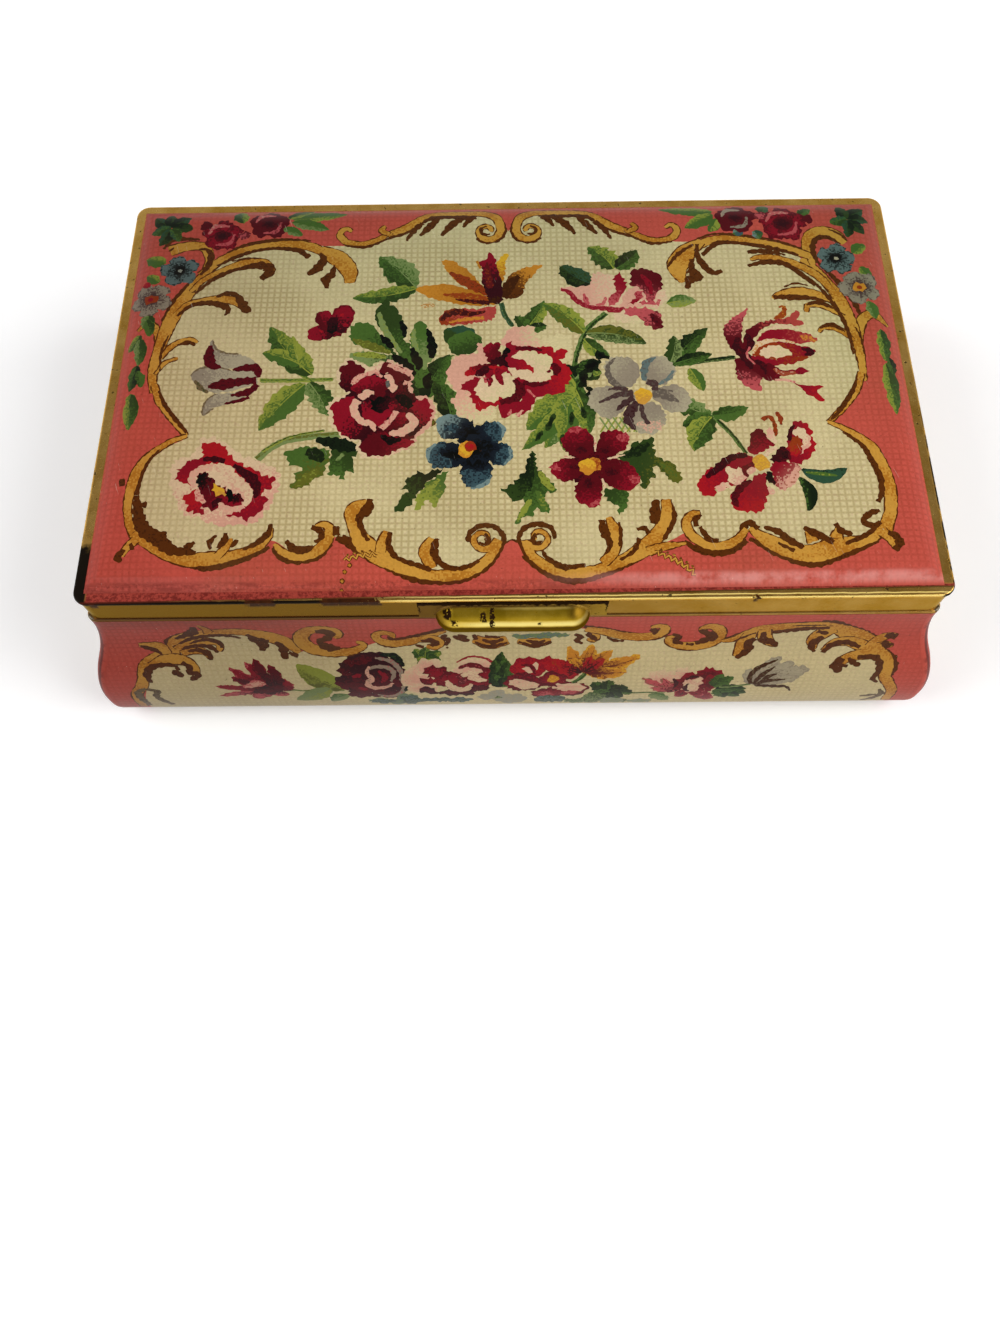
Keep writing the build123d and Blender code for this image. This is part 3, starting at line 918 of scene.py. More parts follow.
def scrollwork(sheet, hems, bands, licks):
    """Outer brown hems first, then the gold bands over them, then the inner shading."""
    for points, widths in hems:
        lick(sheet, points, widths)
    for points, widths in bands:
        band(sheet, points, widths)
    for points, widths in licks:
        lick(sheet, points, widths)


# %% [markdown]
# ## Printed films
# The ink lies on the tin as a very thin film. All outlines of a sheet are cut into one
# another by a Delaunay triangulation, which no mesh operator can do, and each triangle
# takes the ink of the topmost outline over it. The film is then laid on the pressed
# shape: it bends along the same rows as the tin and stands a hair above it.
# %% Printed films
FILM_LIFT = 0.05


def inside(points, outline):
    """Which points lie inside a closed outline, counted by its windings."""
    px, py = points[:, 0:1], points[:, 1:2]
    ax, ay = outline[:, 0], outline[:, 1]
    bx, by = np.roll(ax, -1), np.roll(ay, -1)
    side = (bx - ax) * (py - ay) - (px - ax) * (by - ay)
    up = (ay <= py) & (by > py) & (side > 0)
    down = (ay > py) & (by <= py) & (side < 0)
    return (up.sum(1) - down.sum(1)) != 0


def printed_film(sheet, rim, guides, grid, place, normal, ground):
    """Makes the film. place and normal turn sheet millimetres into the pressed shape."""
    verts, edges = [], []

    def add(points, closed):
        first, count = len(verts), len(points)
        verts.extend(Vector((float(a), float(b))) for a, b in points)
        edges.extend((first + k, first + k + 1) for k in range(count - 1))
        if closed:
            edges.append((first + count - 1, first))

    add(rim, True)
    for line in guides:
        add(line, False)
    for shape in sheet.shapes:
        add(shape[0], True)
    verts.extend(Vector((float(a), float(b))) for a, b in grid)
    cut = delaunay_2d_cdt(verts, edges, [], 0, 1e-4, False)
    flat = np.array([(v.x, v.y) for v in cut[0]])
    faces = np.array(cut[2])
    middle = flat[faces].mean(1)
    keep = inside(middle, np.asarray(rim, float))
    faces, middle = faces[keep], middle[keep]
    top = np.full(len(faces), -1)
    for number, shape in enumerate(sheet.shapes):
        low, high = shape[0].min(0), shape[0].max(0)
        near = np.where(((middle >= low) & (middle <= high)).all(1))[0]
        top[near[inside(middle[near], shape[0])]] = number
    front, back = np.empty((len(faces), 4)), np.empty((len(faces), 4))
    share, canvas = np.zeros((len(faces), 3)), np.zeros(len(faces))
    for number in range(-1, len(sheet.shapes)):
        here = np.where(top == number)[0]
        if not len(here):
            continue
        _, main, second, mix, seat, weave = sheet.shapes[number] if number >= 0 else ground
        front[here], back[here], canvas[here] = INK_VALUES[main], INK_VALUES[second], weave
        if mix is not None:
            corners = unseat(flat[faces[here]].reshape(-1, 2), seat)
            share[here] = np.clip(mix(corners), 0, 1).reshape(-1, 3)
    used, index = np.unique(faces, return_inverse=True)
    flat, faces = flat[used], index.reshape(-1, 3)
    spots, aims = place(flat), normal(flat)
    a, b, c = (spots[faces[:, k]] for k in (0, 1, 2))
    turned = (np.cross(b - a, c - a) * aims[faces[:, 0]]).sum(1) < 0
    faces[turned] = faces[turned][:, ::-1]
    share[turned] = share[turned][:, ::-1]
    mesh = bpy.data.meshes.new(sheet.name)
    mesh.from_pydata(((spots + aims * FILM_LIFT) * MM).tolist(), [], faces.tolist())
    corner = faces.ravel()
    for name, kind, domain, key, values in (
        ("ink_front", "FLOAT_COLOR", "CORNER", "color", np.repeat(front, 3, 0)),
        ("ink_back", "FLOAT_COLOR", "CORNER", "color", np.repeat(back, 3, 0)),
        ("ink_share", "FLOAT", "CORNER", "value", share),
        ("canvas", "FLOAT", "CORNER", "value", np.repeat(canvas, 3)),
        ("sheet_mm", "FLOAT_VECTOR", "POINT", "vector", np.column_stack([flat, np.zeros(len(flat))])),
    ):
        layer = mesh.attributes.new(name, kind, domain)
        layer.data.foreach_set(key, values.astype(np.float32).ravel())
    low, size = flat.min(0), np.ptp(flat, axis=0).max()
    uv = mesh.uv_layers.new(name="OFBake")
    uv.data.foreach_set("uv", ((flat[corner] - low) / size * 0.98 + 0.01).astype(np.float32).ravel())
    mesh.polygons.foreach_set("use_smooth", [True] * len(faces))
    mesh.normals_split_custom_set_from_vertices(aims.tolist())
    mesh.validate()
    piece = new_piece(sheet.name, mesh)
    print(sheet.name, "shapes", len(sheet.shapes), "triangles", len(faces))
    return piece


# %% [markdown]
# ## The ink finish
# One finish serves all films. Fine stitches choose between the two inks of each face,
# so shading is made of dots. The canvas shows as threads a little darker than the
# squares between them. Lacquer over it all is glossy, with grime and fine scratches.
# %% The ink finish
THREAD_TINT = (208, 201, 183)
STAIN = (120, 96, 60)
FRECKLE = (70, 46, 30)
SMEAR = (74, 22, 20)
SHOULDER_HIGHLIGHT = (228, 160, 150)
FAR_SHADE_TINT = (220, 230, 232)
LEFT_SHADE_TINT = (236, 226, 226)
RIGHT_SHADE_TINT = (228, 242, 236)
SCRATCH = (236, 226, 204)


def ink_finish():
    r = Recipe("printed_ink")

    def attribute(name):
        return r.node("Attribute", attribute_name=name).outputs

    sheet_mm = attribute("sheet_mm")["Vector"]
    share = attribute("ink_share")["Fac"]
    u, v, _ = r.split(sheet_mm)
    # Each stitch takes the front or the back ink, more often the likelier one.
    stitch = r.speckle(STITCH, sheet_mm)
    chosen = r.step(r.minus(share, r.plus(r.times(stitch, 0.9), 0.05)), -0.03, 0.03)
    level = r.blend(0.62, share, chosen)
    colour = r.mix(level, attribute("ink_front")["Color"], attribute("ink_back")["Color"])
    uneven = r.plus(1.0, r.times(r.plus(stitch, -0.5), 0.14), r.wobble(0.16, 9.0, 3.0))
    colour = r.vector("MULTIPLY", colour, r.join(uneven, uneven, uneven))
    # The canvas threads, plainest in patches, then an old stain and freckles.
    weave = attribute("canvas")["Fac"]
    near = r.step(r.noise(26.0, 2.0), 0.3, 0.62)
    threads = r.times(canvas_lines(r, u, v), weave, r.plus(0.4, r.times(near, 0.6)))
    colour = r.shade(colour, r.times(threads, 0.8), THREAD_TINT)
    stain = r.times(r.step(r.noise(30.0, 4.0), 0.5, 0.8), 0.16)
    colour = r.mix(stain, colour, STAIN)
    freckle = r.step(r.noise(0.9, 2.0), 0.7, 0.76)
    colour = r.mix(r.times(freckle, 0.4), colour, FRECKLE)
    # A dark smear and a painted highlight along the front shoulder of the lid.
    smear_noise = r.noise(2.2, 5.0, 0.7, stretch=(4.5, 1.0, 1.0))
    on_lid = r.step(r.z, 51.0, 51.4)
    shoulder = r.times(r.band(r.y, -53.9, -52.0, 0.6), on_lid, r.step(r.x, 60.0, -10.0))
    soot = r.step(r.noise(0.8, 5.0, 0.75), 0.44, 0.62)
    smear = r.times(shoulder, r.most(r.step(smear_noise, 0.47, 0.62), soot))
    colour = r.mix(r.times(smear, 0.42), colour, SMEAR)
    pale = r.times(
        r.band(r.y, -53.0, -51.0, 0.8), on_lid, r.step(r.x, 0.0, 40.0),
        r.step(r.noise(5.0, 4.0, 0.6), 0.3, 0.6),
    )
    colour = r.mix(r.times(pale, 0.5), colour, SHOULDER_HIGHLIGHT)
    # Painted shade: light falls off toward the back and to both sides.
    far = r.times(on_lid, r.step(r.plus(r.times(r.y, 0.8), r.times(r.x, -0.12)), -8.0, 50.0))
    colour = r.shade(colour, far, FAR_SHADE_TINT)
    colour = r.shade(colour, r.times(on_lid, r.step(r.x, -20.0, -95.0)), LEFT_SHADE_TINT)
    colour = r.shade(colour, r.times(on_lid, r.step(r.x, 55.0, 95.0), r.step(r.y, -30.0, 20.0)), RIGHT_SHADE_TINT)
    # On the walls, painted shade and dust at the foot.
    colour = wall_shade_and_dust(r, colour)
    # Fine slanting scratches, the canvas's relief and an uneven gloss.
    slanted = r.vector("ADD", r.mm, r.vector("SCALE", r.join(r.y, r.x), scale=0.35))
    scratch = r.step(r.noise(0.5, 2.0, 0.5, stretch=(0.5, 16.0, 1.0), where=slanted), 0.735, 0.76)
    colour = r.mix(r.times(scratch, 0.25), colour, SCRATCH)
    r.bump(r.plus(r.times(threads, -1.0), r.times(stitch, 0.25), r.times(r.noise(3.5, 2.0), 0.6)), 0.02)
    roughness = r.plus(0.26, r.times(r.noise(4.0, 3.0), 0.14), r.times(smear, 0.2))
    return r.finish(colour, roughness, Specular_IOR_Level=LACQUER_SHINE)


printed_ink = ink_finish()
print("inks ready:", len(INKS))

# %% [markdown]
# ## The lid's picture: the cream field
# The field is one outline whose edge runs under the scrolls, so the scrolls hide the
# join between cream and pink, as they do on the tin.
# %% The cream field
lid_sheet = Sheet("lid_print", 11)

FIELD_RIGHT = [
    (0, 43.8), (1.2, 46), (2.5, 49), (8, 49.8), (17, 49.6), (23, 47.2), (27, 44.4), (30, 43), (34, 40.6),
    (39, 40), (45, 39.8), (50, 41.2), (58, 41), (66, 38), (72, 33), (76.5, 24), (80, 14), (81.3, 4),
    (81.3, -2), (78, -7.4), (71.8, -13.6), (76.4, -16.4), (80.4, -20.4), (82.2, -26), (82.7, -31),
    (82.2, -36.4), (80.2, -41.4), (76.4, -43.4), (72, -44.8), (64, -47), (57.6, -45.6), (51.4, -41.4),
    (44.5, -45), (38.4, -41.8), (34.6, -43.4), (29.4, -45.6), (22, -49), (13.6, -50.8), (7.4, -49.2),
    (3.6, -45.4), (0, -43.2),
]
FIELD_LEFT = [
    (-3.2, -45), (-6.6, -48.8), (-12, -50.8), (-20, -50.2), (-29, -46.4), (-37, -42), (-41, -43.6),
    (-45.6, -46.6), (-52.2, -42.6), (-58.6, -45.8), (-66, -47), (-73, -46.2), (-80.6, -42), (-83.4, -38),
    (-84.2, -32), (-83.4, -25.4), (-79.6, -19.4), (-73.3, -15.5), (-78.8, -8.4), (-82.2, -2.4), (-83, 4),
    (-82, 14), (-78, 26), (-71, 36), (-62, 41), (-54, 41.4), (-47, 40), (-42, 39.8), (-36, 40), (-31, 43),
    (-28, 44.6), (-22, 47.6), (-16, 49.6), (-8, 49.8), (-2.5, 49), (-1.2, 46),
]
lid_sheet.lay(flowing(FIELD_RIGHT + FIELD_LEFT + FIELD_RIGHT[:1]), "cream", "petal", level(0.1), canvas=1.0)

# %% [markdown]
# ## The lid's picture: flowers
# Garden flowers lie scattered in the field round a central bouquet: lily, carnation,
# roses, tulips, anemones. Stems and leaves are laid first and blooms over them.
# %% Stems and leaves
def lid_leaves(s):
    """Stalks and saw-toothed leaves, and the two plain leaves at the right."""
    stem(s, [(-2, 21.5), (-1.2, 18), (0.8, 14.2)], 1.1, "teal", "moss")
    stem(s, [(23, 18), (18.5, 13.5), (16.2, 8), (14.5, 1)], 1.2, "leaf", "night")
    stem(s, [(-58, -0.5), (-50, -0.6), (-41, -0.4)], 1.0, "lime", "leaf")
    stem(s, [(-51, 4), (-48.5, 1), (-46, -1), (-45, -4)], 0.9, "lime", "leaf")
    stem(s, [(-57, -22), (-52, -17.6), (-44, -16), (-36, -15.4)], 1.5, "sage", "olive")
    stem(s, [(-56, -20), (-50, -16.2), (-42, -14.4)], 0.6, "lime", "moss")
    stem(s, [(37, 2.6), (45, 3.6), (52.5, 4.6)], 1.2, "moss", "night")
    stem(s, [(46, -12), (49.5, -16.5), (52.5, -22)], 1.0, "leaf", "night")
    stem(s, [(-24, 26.5), (-19, 25)], 0.8, "moss", "night")
    leaf(s, (-22.5, 26.4), (-31.8, 36.2), 4.0, "moss", "sage", "leaf", -0.6, 5, 0.3)
    leaf(s, (-22.2, 26.2), (-37.8, 23.4), 2.6, "moss", "lime", "leaf", 0.8, 6, 0.3)
    leaf(s, (-20, -6), (-14, 6.5), 3.2, "night", "leaf", "moss", 0.6, 3, 0.2)
    leaf(s, (-22, 2), (-21, -8), 3.4, "night", "moss", "night", 0.3, 3, 0.2)
    leaf(s, (-13.5, -11.5), (-17.6, -1), 3.0, "night", "leaf", "moss", -0.8, 4, 0.3)
    blot(s, -18.5, -12.5, 1.6, 1.2, "olive", "brown")
    leaf(s, (-9, 8), (-15.5, 13.6), 3.8, "moss", "teal", "moss", -0.8, 3, 0.12, vein=False)
    blot(s, -10.5, 9.6, 4.2, 3.4, "moss", "leaf", "left", 20)
    leaf(s, (3, 12.6), (8.4, 22), 2.6, "moss", "lime", "leaf", -0.6, 3, 0.4)
    leaf(s, (4.5, 13.5), (1.4, 17.6), 1.8, "moss", "leaf", "moss", 0, 3, 0.4)
    leaf(s, (4.5, 13.5), (9, 14.5), 1.6, "night", "leaf", "moss", 0, 3, 0.4)
    leaf(s, (20, 27), (12.4, 32.6), 3.0, "night", "teal", "moss", 0.6, 4, 0.25)
    leaf(s, (25.5, 31.5), (19.4, 38.4), 3.4, "moss", "lime", "leaf", -0.8, 5, 0.35)
    leaf(s, (26, 31.5), (31.5, 37.4), 2.6, "night", "leaf", "moss", -0.6, 5, 0.4)
    leaf(s, (37.6, 20.6), (44.8, 21.4), 1.8, "leaf", "lime", "sage", 0.4, 0, 0.2)
    leaf(s, (17.6, 12.2), (8, 21.2), 2.8, "olive", "lime", "leaf", -0.9, 6, 0.25)
    leaf(s, (18, 12), (32.2, 8.8), 2.6, "olive", "sage", "moss", 1.2, 6, 0.25)
    leaf(s, (17.4, 10.4), (23.4, 5), 2.0, "moss", "lime", "leaf", -0.6, 4, 0.2)
    leaf(s, (-46, 1), (-56.8, 15.2), 3.8, "moss", "lime", "leaf", 1.0, 5, 0.4)
    leaf(s, (-49, 4), (-58.4, 7.4), 2.4, "leaf", "lime", "leaf", -0.6, 3, 0.4)
    leaf(s, (-49.5, 5), (-51.4, 12.4), 1.8, "leaf", "lime", "lime", 0.2, 2, 0.4)
    leaf(s, (-47.5, -1.5), (-57.2, -14.4), 3.6, "leaf", "lime", "leaf", -0.6, 5, 0.32)
    leaf(s, (-46.6, -1.2), (-41.6, -10.6), 3.0, "moss", "sage", "leaf", 0.5, 5, 0.35)
    leaf(s, (45.6, -11.6), (36.4, -6.2), 2.8, "moss", "sage", "leaf", 0.6, 4, 0.4)
    leaf(s, (45.6, -11.6), (54.2, -9.4), 2.2, "moss", "leaf", "leaf", -0.6, 4, 0.35)
    leaf(s, (45.8, -11.8), (38.6, -14.4), 2.4, "night", "leaf", "moss", 0, 3, 0.35)
    leaf(s, (45.6, -12), (40.8, -21.2), 3.2, "moss", "lime", "leaf", -0.8, 4, 0.35)
    leaf(s, (37.4, 2.6), (46.8, 13.2), 2.8, "night", "leaf", "moss", 0.6, 5, 0.4)
    leaf(s, (37.2, 3), (38.6, 11.2), 2.2, "moss", "sage", "moss", -0.6, 4, 0.4)
    leaf(s, (38.4, 3), (47.4, 5.6), 1.8, "night", "leaf", "moss", 0.2, 3, 0.3)
    leaf(s, (41.5, 1.6), (44.4, -5), 1.8, "leaf", "lime", "leaf", 0.2, 3, 0.3)
    petal(s, (64, -26.2), (74.4, -26), 1.8, "teal", "night", "left", -2.0, 1.0, 1.8, 0.12)
    petal(s, (63.4, -28), (64.4, -37), 1.5, "leaf", "night", "left", 1.6, 1.0, 1.8, 0.12)
    blot(s, 68.5, -27.4, 3.6, 0.45, "lime", "leaf", turn=-8, rough=0.1)


def lid_foliage(s):
    """The tangle of light leaves under the bouquet."""
    blot(s, 14.5, -3, 2.6, 6.4, "leaf", "night", "left", 12)
    blot(s, 18.4, 0.6, 2.8, 2.2, "night", "moss")
    leaf(s, (15, -1), (19.8, 4.6), 2.4, "night", "sage", "leaf", 0, 3, 0.3)
    for x0, y0, x1, y1, half, dark in (
        (14, -3, 3.4, -15, 4.2, "leaf"), (15, -4, 7.6, -20, 3.4, "sage"), (16, -5, 2.4, -20.4, 2.6, "leaf"),
        (12.6, -4, 11.8, -20.6, 3.0, "leaf"), (15, -4, 17.6, -16.6, 2.6, "moss"),
        (13, 0.5, 11.5, -10, 2.4, "lime"),
    ):
        leaf(s, (x0, y0), (x1, y1), half, dark, "lime", "leaf", 0.6, 4, 0.25)
    for x, y, rx, ry, turn in (
        (9, -13, 0.7, 2.6, 24), (13.8, -12, 0.6, 2.2, 8), (6.4, -16.6, 0.6, 1.8, 30),
        (16.6, -10.4, 0.7, 1.8, -10), (11.6, -17.6, 0.6, 1.4, 6),
    ):
        blot(s, x, y, rx, ry, "night", "moss", turn=-turn, rough=0.2)
    for x, y, rx, ry, turn in (
        (19, 2.6, 2.6, 1.4, 40), (17, -1.4, 1.2, 2.4, 0), (21.4, 5.4, 1.8, 1.0, -30),
        (18.4, -5, 0.9, 1.8, 20),
    ):
        blot(s, x, y, rx, ry, "black", "night", turn=turn, rough=0.6)
    blot(s, 20, 0.4, 1.2, 0.9, "lime", "leaf", rough=0.4)
    for k in range(6):
        stroke(s, [(20.2 + 1.5 * k, -15.8), (22.6 + 1.5 * k, -11.8)], [0.4, 0.4], "lime")
        stroke(s, [(22.4 + 1.5 * k, -15.8), (20.2 + 1.5 * k, -11.8)], [0.4, 0.4], "sage")


lid_leaves(lid_sheet)
lid_foliage(lid_sheet)
print("leaf shapes:", len(lid_sheet.shapes))

# %% [markdown]
# ## The lid's picture: leaves, lily and carnation
# Broad petals and lobed leaves are patches: closed outlines traced, each filled
# with an ink that turns into a second one. Strokes of other inks shade them.
# %% Lily and carnation
def patch(sheet, points, main, second=None, rough=0.3):
    """A closed soft outline: from its first point the second ink grows toward the far side."""
    line = flowing(list(points) + [points[0]], 0.6)[:-1]
    share = fade(points[0], points[len(points) // 2], 1.0, RULES["tip"])
    sheet.lay(ragged(sheet, line, rough, 0.6), main, second, share)


def patches(s, rough, *shapes):
    """Lays patches, each (points, main ink, second ink), one over the other."""
    for points, main, second in shapes:
        patch(s, points, main, second, rough)


def shading(s, *strokes):
    """Draws strokes, each (ink, second ink, points, widths)."""
    for ink, second, points, widths in strokes:
        lick(s, points, widths, ink, second)


def dark_cluster(s):
    """Four broad leaves left of the middle, with black between them."""
    lick(s, [(-22.8, 3), (-20.6, 1), (-20, -3)], [1.6, 3.6, 2.6], "leaf", "moss")
    patches(
        s, 0.4,
        ([(-37.6, 15), (-35.8, 16), (-34, 16), (-32.4, 15.4), (-31.4, 14), (-30, 12), (-28.6, 10),
          (-27.4, 8), (-26, 6), (-29, 7), (-31.6, 7.6), (-34, 9), (-36.6, 9.8), (-37.8, 11.6)], "leaf",
          "moss"),
        ([(-37.8, 6.8), (-36, 7.6), (-34, 7.4), (-31, 7), (-28.6, 6.6), (-27, 6), (-26.4, 4.6),
          (-28.6, 4.6), (-31, 4.6), (-32, 3.2), (-33.4, 3), (-34.8, 4.4), (-37, 5)], "sage", "moss"),
        ([(-29.7, 22.6), (-28.2, 21.2), (-27, 20), (-26, 18), (-25, 16), (-24.4, 13), (-24.8, 11),
          (-23.4, 9), (-21.4, 3), (-22.6, 2.8), (-24.6, 5.2), (-26.4, 7), (-27.6, 9), (-28.8, 11),
          (-30, 13.4), (-31.4, 16), (-32.2, 19), (-31.2, 21.2)], "moss", "leaf"),
        ([(-21.3, 16.4), (-20, 15), (-19, 13), (-18, 11.6), (-17.8, 9), (-17.2, 6.2), (-18.6, 4.6),
          (-20, 2), (-21.4, 4.6), (-22.6, 7.4), (-23.4, 9.6), (-23.4, 12), (-22.6, 15)], "leaf", "sage"),
        ([(-17, 5), (-15, 5.4), (-13, 6), (-14.2, 4.2), (-15, 1), (-16.6, 3)], "moss", "leaf"),
    )
    shading(
        s,
        ("sage", "lime", [(-31.2, 19), (-29.8, 14.4), (-27.6, 10.4), (-25.4, 7)], [0.8, 1.5, 1.3, 0.6]),
        ("sage", "lime", [(-22.6, 14), (-22.6, 10.4), (-21.4, 7)], [0.6, 1.2, 0.6]),
        ("olive", "lime", [(-37, 11), (-34.4, 9.8), (-31, 8.4), (-28, 7)], [0.8, 2.0, 1.9, 0.8]),
        ("lime", "olive", [(-36.8, 6.6), (-33, 6.5), (-29, 5.8)], [0.8, 1.6, 0.8]),
        ("black", "night", [(-26, 16.4), (-25, 14), (-24.8, 11.4)], [0.6, 1.5, 0.5]),
        ("black", "night", [(-19.6, 14), (-18.6, 11), (-18.2, 8), (-18.4, 5.4)], [0.5, 1.5, 2.1, 1.2]),
        ("black", "night", [(-23, 8.4), (-22.2, 6), (-21.2, 3.6), (-21.6, 2)], [0.7, 1.8, 2.1, 0.8]),
        ("black", "night", [(-30.6, 12.4), (-29, 10.4), (-27.4, 8.4)], [0.5, 1.7, 1.0]),
        ("black", "night", [(-27.6, 6.4), (-25.4, 4.6), (-23.4, 2.6), (-22.2, 0.4)], [0.9, 2.1, 2.0, 1.0]),
        ("black", "night", [(-18.4, 1), (-19.4, -1), (-18.8, -3.4)], [1.0, 1.8, 1.0]),
    )


def low_leaves(s):
    """The lobed leaves under the big flowers, darkest where they leave their stems."""
    patches(
        s, 0.45,
        ([(-50.8, -19.7), (-48.7, -19.5), (-46.7, -18.8), (-44, -19.2), (-41, -19.7), (-40.7, -21.3),
          (-41, -23), (-41.8, -26), (-43.3, -27.2), (-44.3, -27.3), (-45, -29), (-47, -29.5),
          (-48.8, -29.7), (-48.8, -28.7), (-48, -27.3), (-48.3, -25.7), (-46.5, -24.7), (-47.7, -24),
          (-49.5, -23.7), (-50, -22.3), (-50.7, -21)], "leaf", "olive"),
        ([(-34, -20), (-34.3, -21.2), (-35.3, -21.5), (-35.3, -23.3), (-35, -25.7), (-36.2, -25.7),
          (-36.8, -25), (-37.2, -27.3), (-37.7, -27.7), (-38.7, -26.3), (-40, -26.7), (-40.7, -26),
          (-40.5, -24), (-40.2, -21.7), (-40.5, -20), (-38.7, -19.5), (-36, -19.5)], "moss", "leaf"),
        ([(-15.2, -25), (-17.4, -25.2), (-19.2, -26), (-20.9, -25.5), (-21.5, -26.8), (-23, -27),
          (-23.5, -28.7), (-24.5, -30.2), (-22.5, -30), (-22.7, -31), (-24.2, -31.2), (-24.5, -33),
          (-25.7, -35), (-25.2, -35.8), (-23.9, -35.7), (-22.2, -34), (-21.5, -33), (-20.2, -30.7),
          (-18.2, -28.3), (-16.2, -26.7)], "night", "moss"),
        ([(-15.2, -25.3), (-14, -26), (-14.9, -28), (-14.5, -30.7), (-15.5, -31.7), (-15.7, -33.3),
          (-16.5, -34.2), (-17.2, -35.2), (-17.9, -32.7), (-18.9, -33), (-19.2, -34.3), (-20.5, -35.3),
          (-21.2, -35.3), (-20.9, -34), (-21.5, -32.8), (-20.2, -30.7), (-18.2, -28.3), (-16.2, -26.7)],
          "leaf", "lime"),
        ([(4.4, -20.4), (5.3, -20.6), (5.4, -23), (5.8, -25.2), (7.2, -26.6), (9, -28.8), (10.1, -30.6),
          (8.6, -31.5), (7.2, -31.3), (7.6, -34.1), (8.6, -35.4), (8.1, -36.6), (6.5, -36.3), (5.4, -35.2),
          (4.4, -37.4), (2.6, -37.7), (0.6, -39.5), (1.1, -37.7), (2.4, -35.2), (2.6, -32), (3.6, -26)],
          "moss", "leaf"),
        ([(4.4, -21), (3.8, -22.7), (3.1, -25.2), (1.7, -27.4), (-0.3, -29.5), (-2.4, -30.6), (-1.4, -31.8),
          (0.2, -33.6), (2.2, -33.4), (3.6, -31), (4.4, -26)], "night", "moss"),
        ([(23.5, -22.7), (25.1, -21), (26.9, -19.8), (27.5, -18.4), (28.4, -18), (28.9, -18.7),
          (30.5, -17.7), (31.9, -17.5), (31.9, -20.4), (33, -22.9), (34.8, -23.6), (36.6, -25.4),
          (37.5, -27.3), (36.9, -29.3), (35.1, -28.9), (33.7, -26.8), (32.6, -25.2), (31.2, -25),
          (32.1, -27.5), (30.9, -28.2), (30.1, -30.7), (28.4, -30.4), (28.4, -28.2), (26.9, -26.1),
          (25.1, -23.6)], "moss", "olive"),
        ([(20.1, -30.7), (22.6, -30.4), (24.8, -31), (25.7, -32.9), (24.8, -35.4), (23.5, -37.3), (23, -35),
          (21.2, -33.6), (20.1, -31.8)], "moss", "leaf"),
    )
    shading(
        s,
        ("night", "moss", [(-46, -20), (-43.6, -21), (-42, -22.6)], [1.6, 3.0, 1.2]),
        ("olive", "lime", [(-43, -25), (-46, -27.6), (-48, -29)], [1.2, 2.2, 0.8]),
        ("night", "black", [(-44, -16.8), (-41, -17.6), (-38, -18.4), (-34.6, -19.4)],
         [1.0, 2.6, 3.2, 1.6]),
        ("sage", "leaf", [(-39, -22.6), (-37.6, -20.8)], [0.6, 1.0]),
        ("lime", "leaf", [(-16, -27.6), (-18, -30.2), (-20, -33)], [0.6, 1.4, 0.8]),
        ("night", "moss", [(4.7, -21), (4.5, -26), (3.9, -31)], [0.6, 1.2, 0.7]),
        ("lime", "olive", [(6.2, -26), (7.8, -29), (9.2, -30.8)], [0.7, 1.7, 0.9]),
        ("lime", "leaf", [(4.2, -33), (2.6, -36), (1.1, -38.6)], [0.9, 1.3, 0.4]),
        ("leaf", "lime", [(5.6, -31), (6.8, -34), (7.6, -35.8)], [0.8, 1.6, 0.8]),
        ("night", "moss", [(25, -22.4), (28, -21), (31, -19)], [0.7, 2.4, 0.9]),
        ("olive", "leaf", [(33, -24), (35, -26), (36.2, -28.2)], [0.6, 1.6, 1.0]),
    )


dark_cluster(lid_sheet)
low_leaves(lid_sheet)


